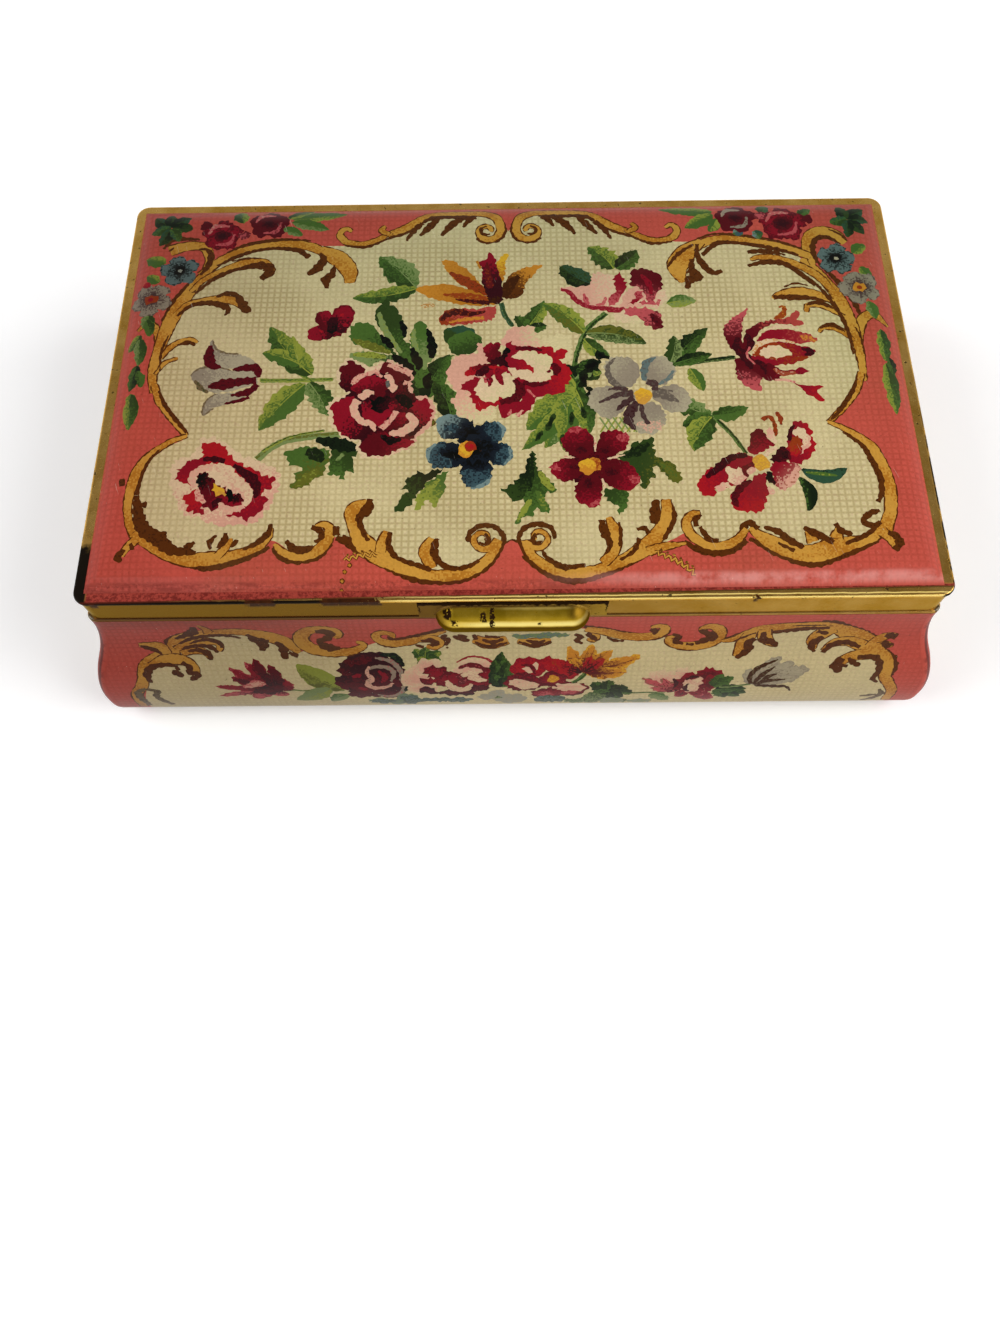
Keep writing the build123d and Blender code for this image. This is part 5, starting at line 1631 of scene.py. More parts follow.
def pale_flower(s):
    """The grey-white flower, with plum strokes round its yellow eye."""
    for points in (
        [(29.4, -2), (27.6, -3.4), (25.6, -3.6), (23.6, -2), (22, 0.6), (22, 3), (23.4, 4.8), (26, 5.2),
         (28.6, 4.4), (30, 2.4), (30, 0)],
        [(31, -2.4), (30.2, 0.6), (31.4, 3.6), (33.4, 5), (36, 4.8), (37.8, 3), (38.2, 0.4), (37, -1.8),
         (34.8, -3), (32.6, -3.4)],
        [(28.4, -5), (26, -4.4), (23, -3.2), (20, -3.6), (18, -5.6), (17.8, -8.2), (19.6, -10.6),
         (22.6, -12), (25, -11), (26.4, -8.6), (28.6, -7)],
        [(32.6, -4.4), (34.6, -3.4), (37.4, -3), (40, -4), (41.2, -6.4), (40.8, -9), (38.8, -10.6),
         (36, -10.4), (33.8, -8), (32.2, -6.6)],
        [(28.6, -7.6), (27.2, -8.6), (26.2, -10.6), (26.6, -13.4), (28.4, -15.4), (31, -16.6),
         (33.6, -15.4), (35, -13), (35, -10.6), (33.6, -8.6), (31.4, -7.6)],
    ):
        patch(s, points, "lilac", "white", 0.4)
    blot(s, 31.6, -14, 3.0, 1.6, "blush", "white", "even", rough=0.6)
    shading(
        s,
        ("steel", "lilac", [(24.6, 4.8), (22.8, 2.6), (22.8, -0.4), (24.4, -2.8), (26.6, -4)],
         [0.4, 0.9, 1.3, 1.6, 0.6]),
        ("slate", "steel", [(34, 4.8), (31.8, 3.4), (31, 0.8), (31, -1.8)], [0.5, 1.5, 1.5, 0.8]),
        ("slate", "lilac", [(37.8, 1), (36.6, -1.2), (34, -2.9)], [0.5, 1.0, 0.5]),
        ("plum", "steel", [(28.2, -5.2), (25, -5.6), (22, -6.8), (20.2, -7.8)], [1.6, 1.4, 0.9, 0.4]),
        ("plum", "maroon", [(28.2, -6.4), (26, -8), (24.2, -10)], [1.2, 1.4, 0.5]),
        ("plum", "steel", [(27, -4.4), (24.4, -3.8), (22.4, -4.2)], [0.9, 0.9, 0.4]),
        ("steel", "lilac", [(32.6, -5.4), (35, -5.6), (38.6, -7.8)], [2.0, 2.2, 0.4]),
        ("steel", "lilac", [(33.6, -4.4), (37.4, -4.8)], [1.0, 0.4]),
        ("plum", "maroon", [(29, -7.6), (27.4, -10), (26.6, -12.4), (28.2, -15.4)], [1.3, 2.2, 2.0, 0.5]),
        ("plum", "steel", [(29.8, -8), (30, -11), (31.2, -13.8)], [0.8, 1.0, 1.0]),
        ("plum", "steel", [(31.4, -2), (33.2, -2.8), (33.2, -4.6)], [1.2, 1.8, 1.0]),
    )
    blot(s, 30.3, -6, 2.0, 2.2, "yellow", "gold", "right")


def blue_flower(s):
    """The blue-black flower: black from the eye outward, teal only at the rims."""
    for points, rim in (
        ([(-9.4, -17.4), (-11, -16.8), (-14.4, -17.4), (-16.4, -15), (-16.2, -12), (-14, -10.6),
          (-11.4, -11.4), (-9, -12.6), (-8.4, -15)], "sky"),
        ([(-8.6, -17), (-8.2, -14.4), (-6, -12.8), (-3.2, -12.6), (-1.6, -14.6), (-2, -17), (-3.6, -18.6),
          (-6, -18.6)], "blue"),
        ([(-6, -20.4), (-5.6, -18.6), (-2.4, -18.2), (-0.4, -19.2), (0, -21.8), (-1.6, -24.2),
          (-3.4, -24.4), (-5, -22.6)], "blue"),
        ([(-8.4, -22.4), (-6.4, -23), (-4.4, -24.4), (-4.4, -27), (-6, -29.2), (-9, -30.2), (-10.8, -28.6),
          (-11.2, -26), (-10.4, -23.6)], "blue"),
        ([(-10.6, -21), (-11.6, -18.8), (-14, -18), (-16.8, -18.4), (-18.6, -20.2), (-18.4, -23),
          (-16.8, -24.8), (-14, -24.8), (-11.4, -24)], "blue"),
    ):
        patch(s, points, "navy", rim, 0.4)
        lick(s, points[3:6], [0.4, 1.0, 0.4], "sky", rim)
    for x, y, rx, ry, turn in (
        (-9, -16.4, 2.8, 3.8, 20), (-6.2, -18.6, 3.6, 1.8, -30), (-13, -21.2, 3.6, 2.2, 0),
        (-8.2, -23.4, 3.0, 2.2, 0), (-6, -21, 1.8, 2.0, 0), (-8.6, -20, 3.4, 3.2, 0),
    ):
        blot(s, x, y, rx, ry, "black", "navy", "edge", turn, 1.0)
    for x, y in (
        (-16, -22.4), (-14.6, -23.6), (-4, -14.8), (-2.4, -21.6), (-7.4, -27.2), (-9.6, -26.4),
        (-13.4, -14.2),
    ):
        blot(s, x, y, 1.6, 1.3, "blue", "navy", "even", rough=0.6)
    blot(s, -10.2, -20, 1.8, 2.2, "yellow", "orange", rough=0.3)
    blot(s, -9, -19.2, 1.4, 1.3, "red", "rust", rough=0.3)


def crimson_flower(s):
    """Five crimson petals with paler tips round a yellow eye."""
    blot(s, 18.2, -24.6, 5.6, 5.4, "wine", "maroon", rough=0.6)
    for points in (
        [(16.6, -22.6), (13.6, -22), (12, -19.6), (12.4, -16.8), (14.6, -15), (17, -15.6), (18.5, -17.6),
         (18.4, -20.6)],
        [(18.8, -22), (19.4, -18.4), (20.8, -16.4), (23.4, -16), (25.5, -17), (25.8, -19.4), (24, -21.4),
         (21.6, -22.6)],
        [(19.2, -25), (21.6, -23.2), (24.6, -23.4), (26.8, -25.6), (27.2, -28.4), (25.6, -30.4),
         (22.6, -30.2), (20.4, -28.4)],
        [(17.4, -26.4), (19, -26.8), (19.9, -29.4), (19.4, -32.4), (18.2, -34.3), (15.8, -33.8),
         (14.4, -31.6), (14.6, -29)],
        [(16.4, -24.6), (13.4, -22.6), (11.2, -23), (9.6, -25), (10.4, -27.4), (12.6, -28.4), (15, -27.2)],
    ):
        points = [(18.2 + 1.08 * (x - 18.2), -24.6 + 1.08 * (y + 24.6)) for x, y in points]
        patch(s, points, "wine", "crimson", 0.35)
        tip = points[len(points) // 2]
        blot(
            s, 18.2 + 0.92 * (tip[0] - 18.2), -24.6 + 0.92 * (tip[1] + 24.6), 1.5, 0.9, "crimson", "rose",
            "even", rough=0.6,
        )
    for x, y, rx, ry in (
        (20.6, -20.6, 1.6, 1.2), (15.6, -20.6, 1.4, 1.2), (22, -26.4, 1.6, 1.4), (17, -29, 1.2, 1.6),
        (14, -25, 1.4, 0.9),
    ):
        blot(s, x, y, rx, ry, "maroon", "wine", rough=0.6)
    for points in (
        [(18.8, -21), (19, -17)], [(21.4, -22.9), (25.6, -21.8)], [(20, -28), (20.8, -30.6)],
        [(11.6, -22.2), (14.4, -22.4)],
    ):
        lick(s, points, [0.3, 0.5, 0.3], "petal", "rose")
    blot(s, 18.6, -24.2, 1.5, 1.8, "rust", "orange", rough=0.35)
    blot(s, 16.9, -24.8, 1.9, 2.1, "yellow", "orange", "right", rough=0.3)


pale_flower(lid_sheet)
blue_flower(lid_sheet)
crimson_flower(lid_sheet)
anemone(lid_sheet)
dogwood(lid_sheet)
print("with open flowers:", len(lid_sheet.shapes))

# %% [markdown]
# ## The lid's picture: tulips
# A striped tulip points left, and a parrot tulip with split, curling petals points right.
# %% Tulips
def striped_tulip(s):
    """The white tulip at the left, striped in wine red."""
    for points in (
        [(-58.6, 1.6), (-58.8, 3.8), (-60.8, 5.8), (-63.6, 7.2), (-67, 7.6), (-69.2, 9), (-70.3, 11.6),
         (-71.1, 9), (-71, 6), (-70, 3.6), (-67.4, 3), (-64, 3.2), (-61, 2.4)],
        [(-58.6, -1), (-58.6, 1.8), (-61, 2.4), (-65, 2.6), (-69, 3.6), (-72.4, 3.2), (-74.3, 1.2),
         (-73, -1.2), (-70.4, -3.4), (-66.4, -3.6), (-62, -2.6)],
        [(-58.4, -0.4), (-60, -2.6), (-64, -3.8), (-68, -4), (-70.2, -6.4), (-70.3, -9.9), (-68, -8),
         (-64.4, -6.6), (-61, -5), (-58.8, -3)],
    ):
        patch(s, points, "white", "lilac", 0.25)
        lick(s, points[3:7], [0.3, 0.5, 0.3], "smoke", "lilac")
    for points, widths in (
        ([(-70.5, 9.8), (-70.5, 6), (-69.2, 3.8), (-67.4, 3.6)], [0.8, 2.2, 2.3, 0.6]),
        ([(-58.4, 0.4), (-59, 3), (-61.4, 3.2), (-64.8, 2.6)], [1.0, 2.0, 1.7, 0.5]),
        ([(-58.8, -0.4), (-62, -0.6), (-66, -1.4), (-70, -2)], [1.7, 1.9, 2.8, 0.8]),
        ([(-58.4, -1.6), (-60.4, -3.6), (-64.4, -4.6)], [1.2, 1.8, 0.5]),
        ([(-60, -5.2), (-63, -6.2), (-65.8, -6.9)], [0.8, 0.9, 0.4]),
    ):
        lick(s, points, widths, "wine", "maroon")
    lick(s, [(-73.2, -0.2), (-71.4, -2.6), (-69.6, -3.7)], [0.5, 1.3, 0.4], "smoke", "moss")


def parrot_tulip(s):
    """The open tulip at the right: long split petals that curl at their tips."""
    patch(
        s,
        [(53.8, 5.6), (51.6, 7.4), (50.7, 10), (50.4, 12.4), (51.4, 14.6), (53.2, 16.4), (54.6, 17.4),
         (56.7, 19.2), (56.2, 17), (55.2, 14.8), (54.7, 12), (54.4, 9.6), (55, 7)],
        "wine", "rose",
    )
    patch(
        s,
        [(54.8, 5), (52.6, 4), (52.1, 1.6), (52.4, -1), (53.6, -3), (55.4, -4.4), (57.8, -5.2), (57.4, -3),
         (58.2, -1), (57.6, 1.5), (56.4, 4)],
        "wine", "rose",
    )
    lick(
        s, [(62.8, 15.4), (64.6, 16.6), (65.4, 18.2), (65.2, 19.4), (64, 19)], [0.8, 1.4, 1.3, 0.8, 0.4],
        "rust", "orange",
    )
    patch(
        s,
        [(54.2, 6.2), (54.8, 9.6), (55.4, 11.6), (57, 13.4), (59.4, 14.6), (62.4, 15.4), (65, 15.6),
         (66.6, 16.4), (67.6, 17.7), (68.9, 18), (68.8, 16.6), (67.6, 15.3), (69.1, 14.9), (69.5, 13.8),
         (68, 13.5), (65.4, 14.1), (62.4, 14.1), (60, 13.1), (58.6, 11.5), (57.4, 10), (56.6, 8),
         (55.6, 6)],
        "wine", "coral",
    )
    lick(s, [(60.4, 11.9), (62.4, 13.1), (65, 13.4), (68.2, 12.9)], [0.4, 0.9, 0.9, 0.4], "petal", "blush")
    patch(
        s,
        [(57.8, 9.4), (59.4, 11.2), (61.6, 12.4), (64.4, 12.6), (67, 12), (69, 11.4), (70.7, 11.2),
         (71.2, 10.2), (72.2, 9.5), (71, 8.8), (69.4, 8.4), (67, 8.4), (64.4, 8.5), (62, 8.4), (60, 8.6),
         (58.6, 7.8)],
        "crimson", "coral",
    )
    blot(s, 70, 9.9, 1.7, 1.1, "orange", "coral", "even", -20, 0.5)
    patch(
        s,
        [(56.4, 4.8), (57.4, 7.6), (60, 8.8), (63.6, 8.9), (66.4, 8.2), (69, 7.4), (71.4, 6), (70, 4.8),
         (67.4, 4.4), (64, 3.9), (60.4, 3.8)],
        "rust", "crimson",
    )
    patch(
        s, [(58, 5.4), (58.8, 7), (61, 7.7), (63.6, 7.4), (65.4, 6.4), (65.4, 5), (63, 4.4), (60, 4.4)],
        "petal", "cream", 0.4,
    )
    lick(
        s, [(56.8, 5.6), (57.4, 7.4), (59.2, 8.7), (61.6, 9.3), (64.6, 9.1), (66.8, 8.5)],
        [0.5, 1.2, 1.2, 0.8, 0.6, 0.4], "petal", "orange",
    )
    lick(s, [(68, 7), (70, 6.2), (70.6, 5.6), (68.6, 5)], [0.6, 1.2, 1.2, 0.6], "maroon", "wine")
    patch(
        s,
        [(55.4, 5), (57.6, 4.8), (60, 4), (62.4, 3.9), (65, 4.2), (67.4, 4.6), (69.6, 4.4), (67, 3),
         (64, 2.3), (61, 2), (58.6, 1.4), (57, 2.2), (55.4, 3.4)],
        "crimson", "rust",
    )
    patch(
        s,
        [(55, 4.6), (57.4, 3.6), (60.6, 2.4), (61.8, 1.4), (63, 0.7), (65, 0.6), (66.8, 1.3), (68.7, 0.9),
         (68.9, 0), (67.4, -0.5), (64.8, -0.6), (62.6, -1), (61.6, -2.3), (59.6, -2), (57.6, -0.8),
         (56, 1)],
        "wine", "crimson",
    )
    lick(s, [(61, 1.2), (63, -0.2), (66, 0)], [0.6, 1.2, 0.6], "rust", "blush")
    lick(s, [(61, -2), (63.4, -2), (65.6, -2.7)], [0.5, 0.6, 0.5], "blush", "rose")
    patch(
        s,
        [(65.2, -2.6), (67, -3.4), (69.4, -3.8), (70.6, -3.5), (72, -3.9), (71, -4.7), (70.2, -5),
         (70.9, -6.4), (71.8, -8.1), (70.4, -8.1), (69, -6.6), (68, -6.3), (67, -4.8), (65.8, -3.6)],
        "crimson", "red", 0.2,
    )
    for points, widths in (
        ([(53.6, 10.4), (53, 7.4), (54.8, 4.6), (56, 1.2)], [0.8, 1.8, 2.2, 1.0]),
        ([(55.4, 11.2), (56.6, 8.8), (55.4, 6.4)], [0.8, 1.5, 1.2]),
        ([(57, 3.6), (58.6, 2.2), (59.2, -0.4)], [1.0, 1.5, 0.5]),
    ):
        lick(s, points, widths, "maroon", "wine")
    lick(s, [(56.2, 7.6), (55.2, 5), (57, 2.4)], [0.3, 0.5, 0.3], "rose", "blush")


striped_tulip(lid_sheet)
parrot_tulip(lid_sheet)
print("with tulips:", len(lid_sheet.shapes))

# %% [markdown]
# ## The lid's picture: gold scrolls
# Long bands frame the field left and right, S-scrolls crown it at the top, and three
# pairs of scrolls meet in cusps along the front. Both halves follow the same plan but
# are drawn separately, since the printer's two halves differ in their details.
# %% Side scrolls
THIN, HEM, SHADE = [0.3, 0.6, 0.3], [0.5, 1.0, 0.6], [0.4, 1.3, 0.5]


def left_scrolls(s):
    """The frame's left half, from the corner curl at the top to the front cusps."""
    scrollwork(s, hems=(
        ([(-82.9, 17), (-81.4, 21.9), (-79, 26.5), (-76, 30.6)], HEM),
        ([(-85.2, 39.6), (-83, 42.4), (-79.6, 42.6), (-76.4, 42.4)], [0.6, 1.3, 0.5]),
        ([(-71.4, 35.8), (-66.5, 39.8), (-60.4, 41.6), (-54.2, 42.1), (-48.8, 41.5)], [0.5, 0.8, 0.8, 0.5]),
        ([(-70.7, -48.2), (-66.4, -49.1), (-62.9, -48.9), (-59.3, -47.9), (-55.7, -46.3), (-52.3, -44.2)],
          [0.4, 1.2, 1.0, 1.2, 0.9]),
    ), bands=(
        ([(-88.4, 14.6), (-86, 16.6), (-83.4, 13.6), (-82.6, 8), (-82.5, 3)], [0.6, 1.6, 2.0, 1.6, 1.0]),
        ([(-82.4, -3.6), (-83.2, 2), (-82.4, 10), (-80.6, 18), (-77.4, 25.6), (-73.6, 32), (-71, 35)],
          [1.4, 2.2, 2.6, 3.4, 3.2, 2.4, 1.6]),
        ([(-73.4, -15.6), (-77, -11), (-80.6, -6), (-82.6, -1)], [1.0, 1.5, 1.7, 1.4]),
        ([(-74.6, 31), (-73.4, 35.6), (-74.6, 39.4), (-77, 40.4), (-80.6, 40), (-83.6, 38.8)],
          [1.4, 1.9, 2.2, 2.4, 2.6, 3.2]),
        ([(-75, 31), (-71, 35.4), (-66, 38.4), (-60.4, 40), (-54, 40.6), (-48.6, 39.6), (-45.4, 37.6)],
          [2.2, 2.0, 1.9, 1.8, 2.0, 2.4, 2.2]),
        ([(-46.4, 38.6), (-41.6, 35.6), (-38.8, 31.6), (-38.7, 28)], [2.4, 4.6, 4.2, 2.0]),
        ([(-77, 26), (-74, 29.8), (-69.6, 32.6), (-64, 35), (-60, 35), (-57.8, 32.6), (-58.6, 30.6)],
          [1.0, 1.2, 1.4, 1.9, 1.8, 1.6, 0.8]),
        ([(-80, 19), (-77, 22), (-72.7, 23.4), (-68.4, 23.6), (-65, 22.4), (-62.6, 19.6)],
          [1.0, 1.8, 1.5, 2.0, 2.2, 1.2]),
        ([(-82, 6), (-79.6, 9.8), (-75.8, 11.6), (-73.6, 10.6)], [0.6, 1.3, 1.4, 0.7]),
        ([(-82.6, 1.6), (-80.6, 5), (-77.8, 6.2)], [0.5, 1.0, 0.6]),
        ([(-73.2, -15.4), (-77.4, -17.4), (-81.8, -21.4), (-83.6, -26), (-84.4, -32), (-83.6, -37.6),
          (-81.4, -41.8)], [0.8, 1.3, 1.5, 2.4, 1.7, 1.5, 2.0]),
        ([(-82.4, -40.6), (-79.6, -42.9), (-75.4, -45.6), (-70.6, -47.2), (-65.6, -47), (-62, -46.6),
          (-58.6, -45.8), (-54.6, -44.2), (-52.4, -41.4), (-52.2, -39.4)], [1.8, 1.6, 1.7, 2.2, 3.0, 3.2,
          2.2, 2.0, 1.4, 0.5]),
        ([(-81.4, -42), (-83.2, -44.2), (-84.2, -46)], [2.0, 1.6, 1.4]),
        ([(-63.4, -46.4), (-61.2, -43.6), (-60.8, -42)], [1.8, 1.4, 0.6]),
    ), licks=(
        ([(-79.4, 18.6), (-77, 21.4), (-74, 22.4), (-70.6, 22.2), (-67.4, 20.6), (-68, 18.6)],
          [0.5, 0.9, 1.2, 1.4, 1.6, 0.6]),
        ([(-70.6, 24.4), (-68, 25.4), (-65.6, 24.6), (-64.4, 22.4), (-62.4, 19.4)],
          [0.6, 1.2, 1.4, 2.2, 1.6]),
        ([(-75.8, 25.4), (-72, 29.6), (-67.4, 32.4), (-62, 33.8), (-59.4, 33.6), (-58.4, 31.8),
          (-60.4, 29.6)], [0.6, 0.9, 1.2, 0.9, 1.6, 2.6, 1.2]),
        ([(-68, 35.4), (-64, 36.2), (-60.4, 36)], THIN),
        ([(-75.2, 31), (-73.6, 34), (-73.2, 37.4), (-74.6, 39.2), (-76.4, 39.2)],
          [0.5, 1.3, 1.5, 1.1, 0.4]),
        ([(-83.8, 38.6), (-82.6, 40)], THIN),
        ([(-71.4, 33.9), (-66.5, 36.9), (-61.2, 38.8), (-56.5, 39.2), (-51.9, 38.5), (-48.8, 36.2)],
          [0.5, 1.1, 0.9, 0.8, 1.2, 1.3]),
        ([(-46.4, 37.6), (-45.4, 35.6), (-46.4, 33.2), (-49, 30.9)], [0.6, 1.9, 2.2, 1.0]),
        ([(-42.6, 33.8), (-43, 31), (-44.4, 29.4), (-44, 26.4)], [0.5, 1.7, 2.2, 0.6]),
        ([(-81.6, 2.4), (-82, 8), (-80.8, 13)], THIN), ([(-78.4, 10), (-75.6, 10.8), (-74.2, 9.8)], SHADE),
        ([(-73.4, -14.6), (-76.4, -11), (-79.6, -6.6), (-81.2, -3)], [0.6, 1.0, 0.9, 0.4]),
        ([(-79, -19), (-81.2, -22.4), (-82.4, -27), (-82.6, -31)], [0.4, 0.8, 0.7, 0.9]),
        ([(-82.8, -31), (-81.8, -35.4), (-80, -39.6), (-76.6, -42), (-73.4, -44.7), (-68, -45.5)],
          [1.0, 2.2, 2.8, 3.0, 2.0, 1.0]),
        ([(-80.4, -32.6), (-81, -34)], [0.7, 1.6]), ([(-74.9, -40.5), (-77.4, -41)], [0.6, 1.8]),
        ([(-68.6, -42.9), (-70.6, -44.4)], [0.8, 1.7]),
        ([(-65, -44.8), (-65.3, -43), (-64.1, -41.2)], SHADE),
        ([(-63.6, -44.4), (-62.2, -42.4), (-62.1, -40.6)], [0.5, 1.6, 0.8]),
        ([(-60.6, -44.2), (-59.4, -42.4)], [0.7, 1.1]),
        ([(-58, -44.8), (-55.4, -43.4), (-53, -41), (-52.3, -38.4)], [0.6, 1.2, 1.4, 0.7]),
        ([(-83.6, -44.6), (-85, -46.4), (-83.9, -47.4)], [0.8, 1.4, 0.9]),
        ([(-82.6, -43), (-81.8, -44.6)], [0.7, 0.9]), ([(-86.6, -26.6), (-86.2, -28.6)], [1.0, 1.2]),
    ))


def right_scrolls(s):
    """The frame's right half, as traced, not mirrored."""
    scrollwork(s, hems=(
        ([(83.6, 15), (82, 21), (79.8, 25.6), (76.6, 30.6), (73.2, 35.4)], [0.6, 1.3, 1.2, 0.9, 0.5]),
        ([(71.9, 37), (66.9, 39.3), (60.8, 41), (54.6, 42), (50, 42), (46.4, 40.6)],
          [0.4, 0.6, 0.7, 0.6, 0.5]),
        ([(51, -43.4), (55.4, -46.4), (60, -48.6), (64.6, -49.6), (69.2, -48.3), (73.8, -46.5),
          (78.6, -44.3)], [0.8, 1.4, 1.5, 1.3, 1.1, 0.7]),
    ), bands=(
        ([(89.6, 13.6), (86, 16.8), (83, 14.4), (81.6, 9), (81.2, 3)], [0.6, 2.2, 2.6, 1.8, 1.2]),
        ([(81.4, -2.6), (81.6, 4), (81, 12), (79, 21), (75.6, 28), (71.6, 34)],
          [1.2, 1.8, 2.6, 2.8, 2.4, 2.0]),
        ([(71.8, -13.8), (75.8, -9.6), (79.2, -5), (81.2, 0)], [0.9, 1.4, 1.6, 1.4]),
        ([(74, 32), (72.9, 37), (74, 41.2), (77.4, 42.6), (80.8, 41.2), (82.4, 38.6)],
          [1.4, 1.7, 2.2, 2.8, 2.8, 1.6]),
        ([(73.6, 34.6), (67, 37.6), (60.8, 39.4), (54.6, 40.4), (50, 40.2), (46.4, 38.4)],
          [2.0, 2.1, 2.0, 2.0, 2.2, 2.2]),
        ([(47.6, 39.8), (43.4, 36.2), (41, 32), (41.8, 27)], [2.0, 4.8, 5.2, 1.2]),
        ([(78, 23), (75, 28), (70.8, 31.6), (66, 33.8), (61.4, 34.6), (58.8, 33.8)],
          [1.2, 1.8, 1.8, 1.8, 1.8, 0.8]),
        ([(77.4, 20.6), (73.4, 22.8), (69, 23.6), (65, 23), (63, 21.8)], [1.2, 2.2, 2.8, 2.2, 0.8]),
        ([(79.4, 16), (75, 19.4), (71.2, 19.6), (70.6, 17.4)], [0.8, 1.6, 1.6, 0.8]),
        ([(80.8, 9), (77.4, 12.4), (74, 13), (72.8, 11.4)], [0.6, 1.3, 1.3, 0.6]),
        ([(71.6, -13.6), (76.4, -16.4), (80.4, -20.4), (82.2, -26), (82.9, -31), (82.4, -36.4),
          (80.4, -41.6)], [0.8, 1.4, 2.2, 2.7, 2.6, 2.5, 2.8]),
        ([(80, -41.6), (76.6, -43.8), (72.6, -44.8), (68.4, -46), (63.6, -47.2), (58.6, -46), (54.4, -43.6),
          (51.4, -40.8)], [2.2, 2.0, 3.4, 4.4, 3.8, 3.8, 3.2, 1.0]),
        ([(79.6, -42), (81.4, -44), (82.2, -46)], [2.4, 2.0, 1.6]),
        ([(69.6, -43.6), (70.6, -40.8)], [2.8, 1.0]), ([(64.6, -44.4), (63.6, -41.6)], [2.6, 1.0]),
    ), licks=(
        ([(82.6, 5), (82.4, 10), (81.4, 13)], THIN),
        ([(80, 5), (79.6, 12), (78, 18), (75.4, 23.6), (72, 28.4)], [0.4, 0.9, 1.0, 0.9, 0.5]),
        ([(75, 32.6), (74.4, 37), (75.6, 40), (78.4, 40.6), (81, 38.6)], [0.6, 1.2, 1.3, 1.2, 0.5]),
        ([(79, 43.2), (81.6, 41.6), (83, 39.4)], THIN),
        ([(70.8, 35), (66.2, 36.8), (59.4, 38.6), (52.3, 39.4), (49.4, 37.7), (47.3, 35.4)],
          [0.6, 1.2, 1.1, 0.9, 1.3, 0.9]),
        ([(38.4, 31.6), (41.3, 35.8), (45.4, 38.9)], [0.4, 1.0, 0.6]),
        ([(46.3, 39), (46.1, 35.4), (47.6, 31.9), (49.6, 29.8), (51.8, 30.5)], [0.7, 1.2, 1.7, 1.5, 0.9]),
        ([(44.6, 34.2), (44.4, 30.6), (45.2, 29), (43.6, 27.6), (42.8, 24.9)], [1.0, 1.4, 3.2, 2.0, 0.8]),
        ([(73.6, 25.4), (70, 29.8), (66.9, 32.4), (62.3, 33), (58.1, 31.8)], [0.6, 1.2, 1.4, 1.5, 0.8]),
        ([(67.6, 35.2), (62.4, 36.4), (58.4, 36.2)], [0.5, 1.4, 1.0]),
        ([(76.8, 20.2), (73, 21.6), (68.5, 22), (63.2, 22.2)], [0.4, 1.0, 1.7, 0.9]),
        ([(72, 25.6), (69, 26.3), (66, 25.2)], THIN),
        ([(77.6, 18.4), (73.6, 20.4), (70.6, 19.6)], SHADE), ([(79, 11.6), (76, 13.8), (73, 12.8)], SHADE),
        ([(72.4, -13.2), (75.6, -9.4), (78.6, -4.8), (80, -1)], [0.5, 1.1, 1.0, 0.4]),
        ([(74.6, -16.4), (78.4, -20), (80, -24), (81.2, -28.4), (81, -32.4), (79.8, -34.8)],
          [0.4, 0.9, 1.2, 1.4, 1.2, 0.9]),
        ([(80, -36.8), (77.6, -37.6), (76, -39.6), (78.2, -40.6), (79.6, -39.6)],
          [0.8, 1.3, 1.3, 1.3, 0.9]),
        ([(71.4, -44.9), (75.4, -43.2), (78.6, -41)], [0.6, 1.1, 0.7]),
        ([(54.4, -40.6), (57.2, -41.7), (59.4, -43.7), (62.4, -45.8)], [0.8, 1.5, 1.5, 1.0]),
        ([(57, -44.6), (60.4, -46.5)], [0.6, 0.8]),
        ([(62.9, -40.7), (65, -42.2), (67, -43.3), (69, -44.6)], [0.7, 1.7, 1.4, 1.1]),
        ([(69.9, -39.9), (71, -41.8), (73.2, -42.6)], [0.8, 1.6, 0.8]),
        ([(49.6, -42.8), (50.1, -40.4), (51.6, -39.6), (53.2, -41)], [1.3, 1.4, 1.5, 0.9]),
        ([(80.8, -42.2), (82.6, -43.2), (83, -45), (81.6, -46.6)], [1.0, 1.6, 1.7, 1.0]),
    ))


left_scrolls(lid_sheet)
right_scrolls(lid_sheet)

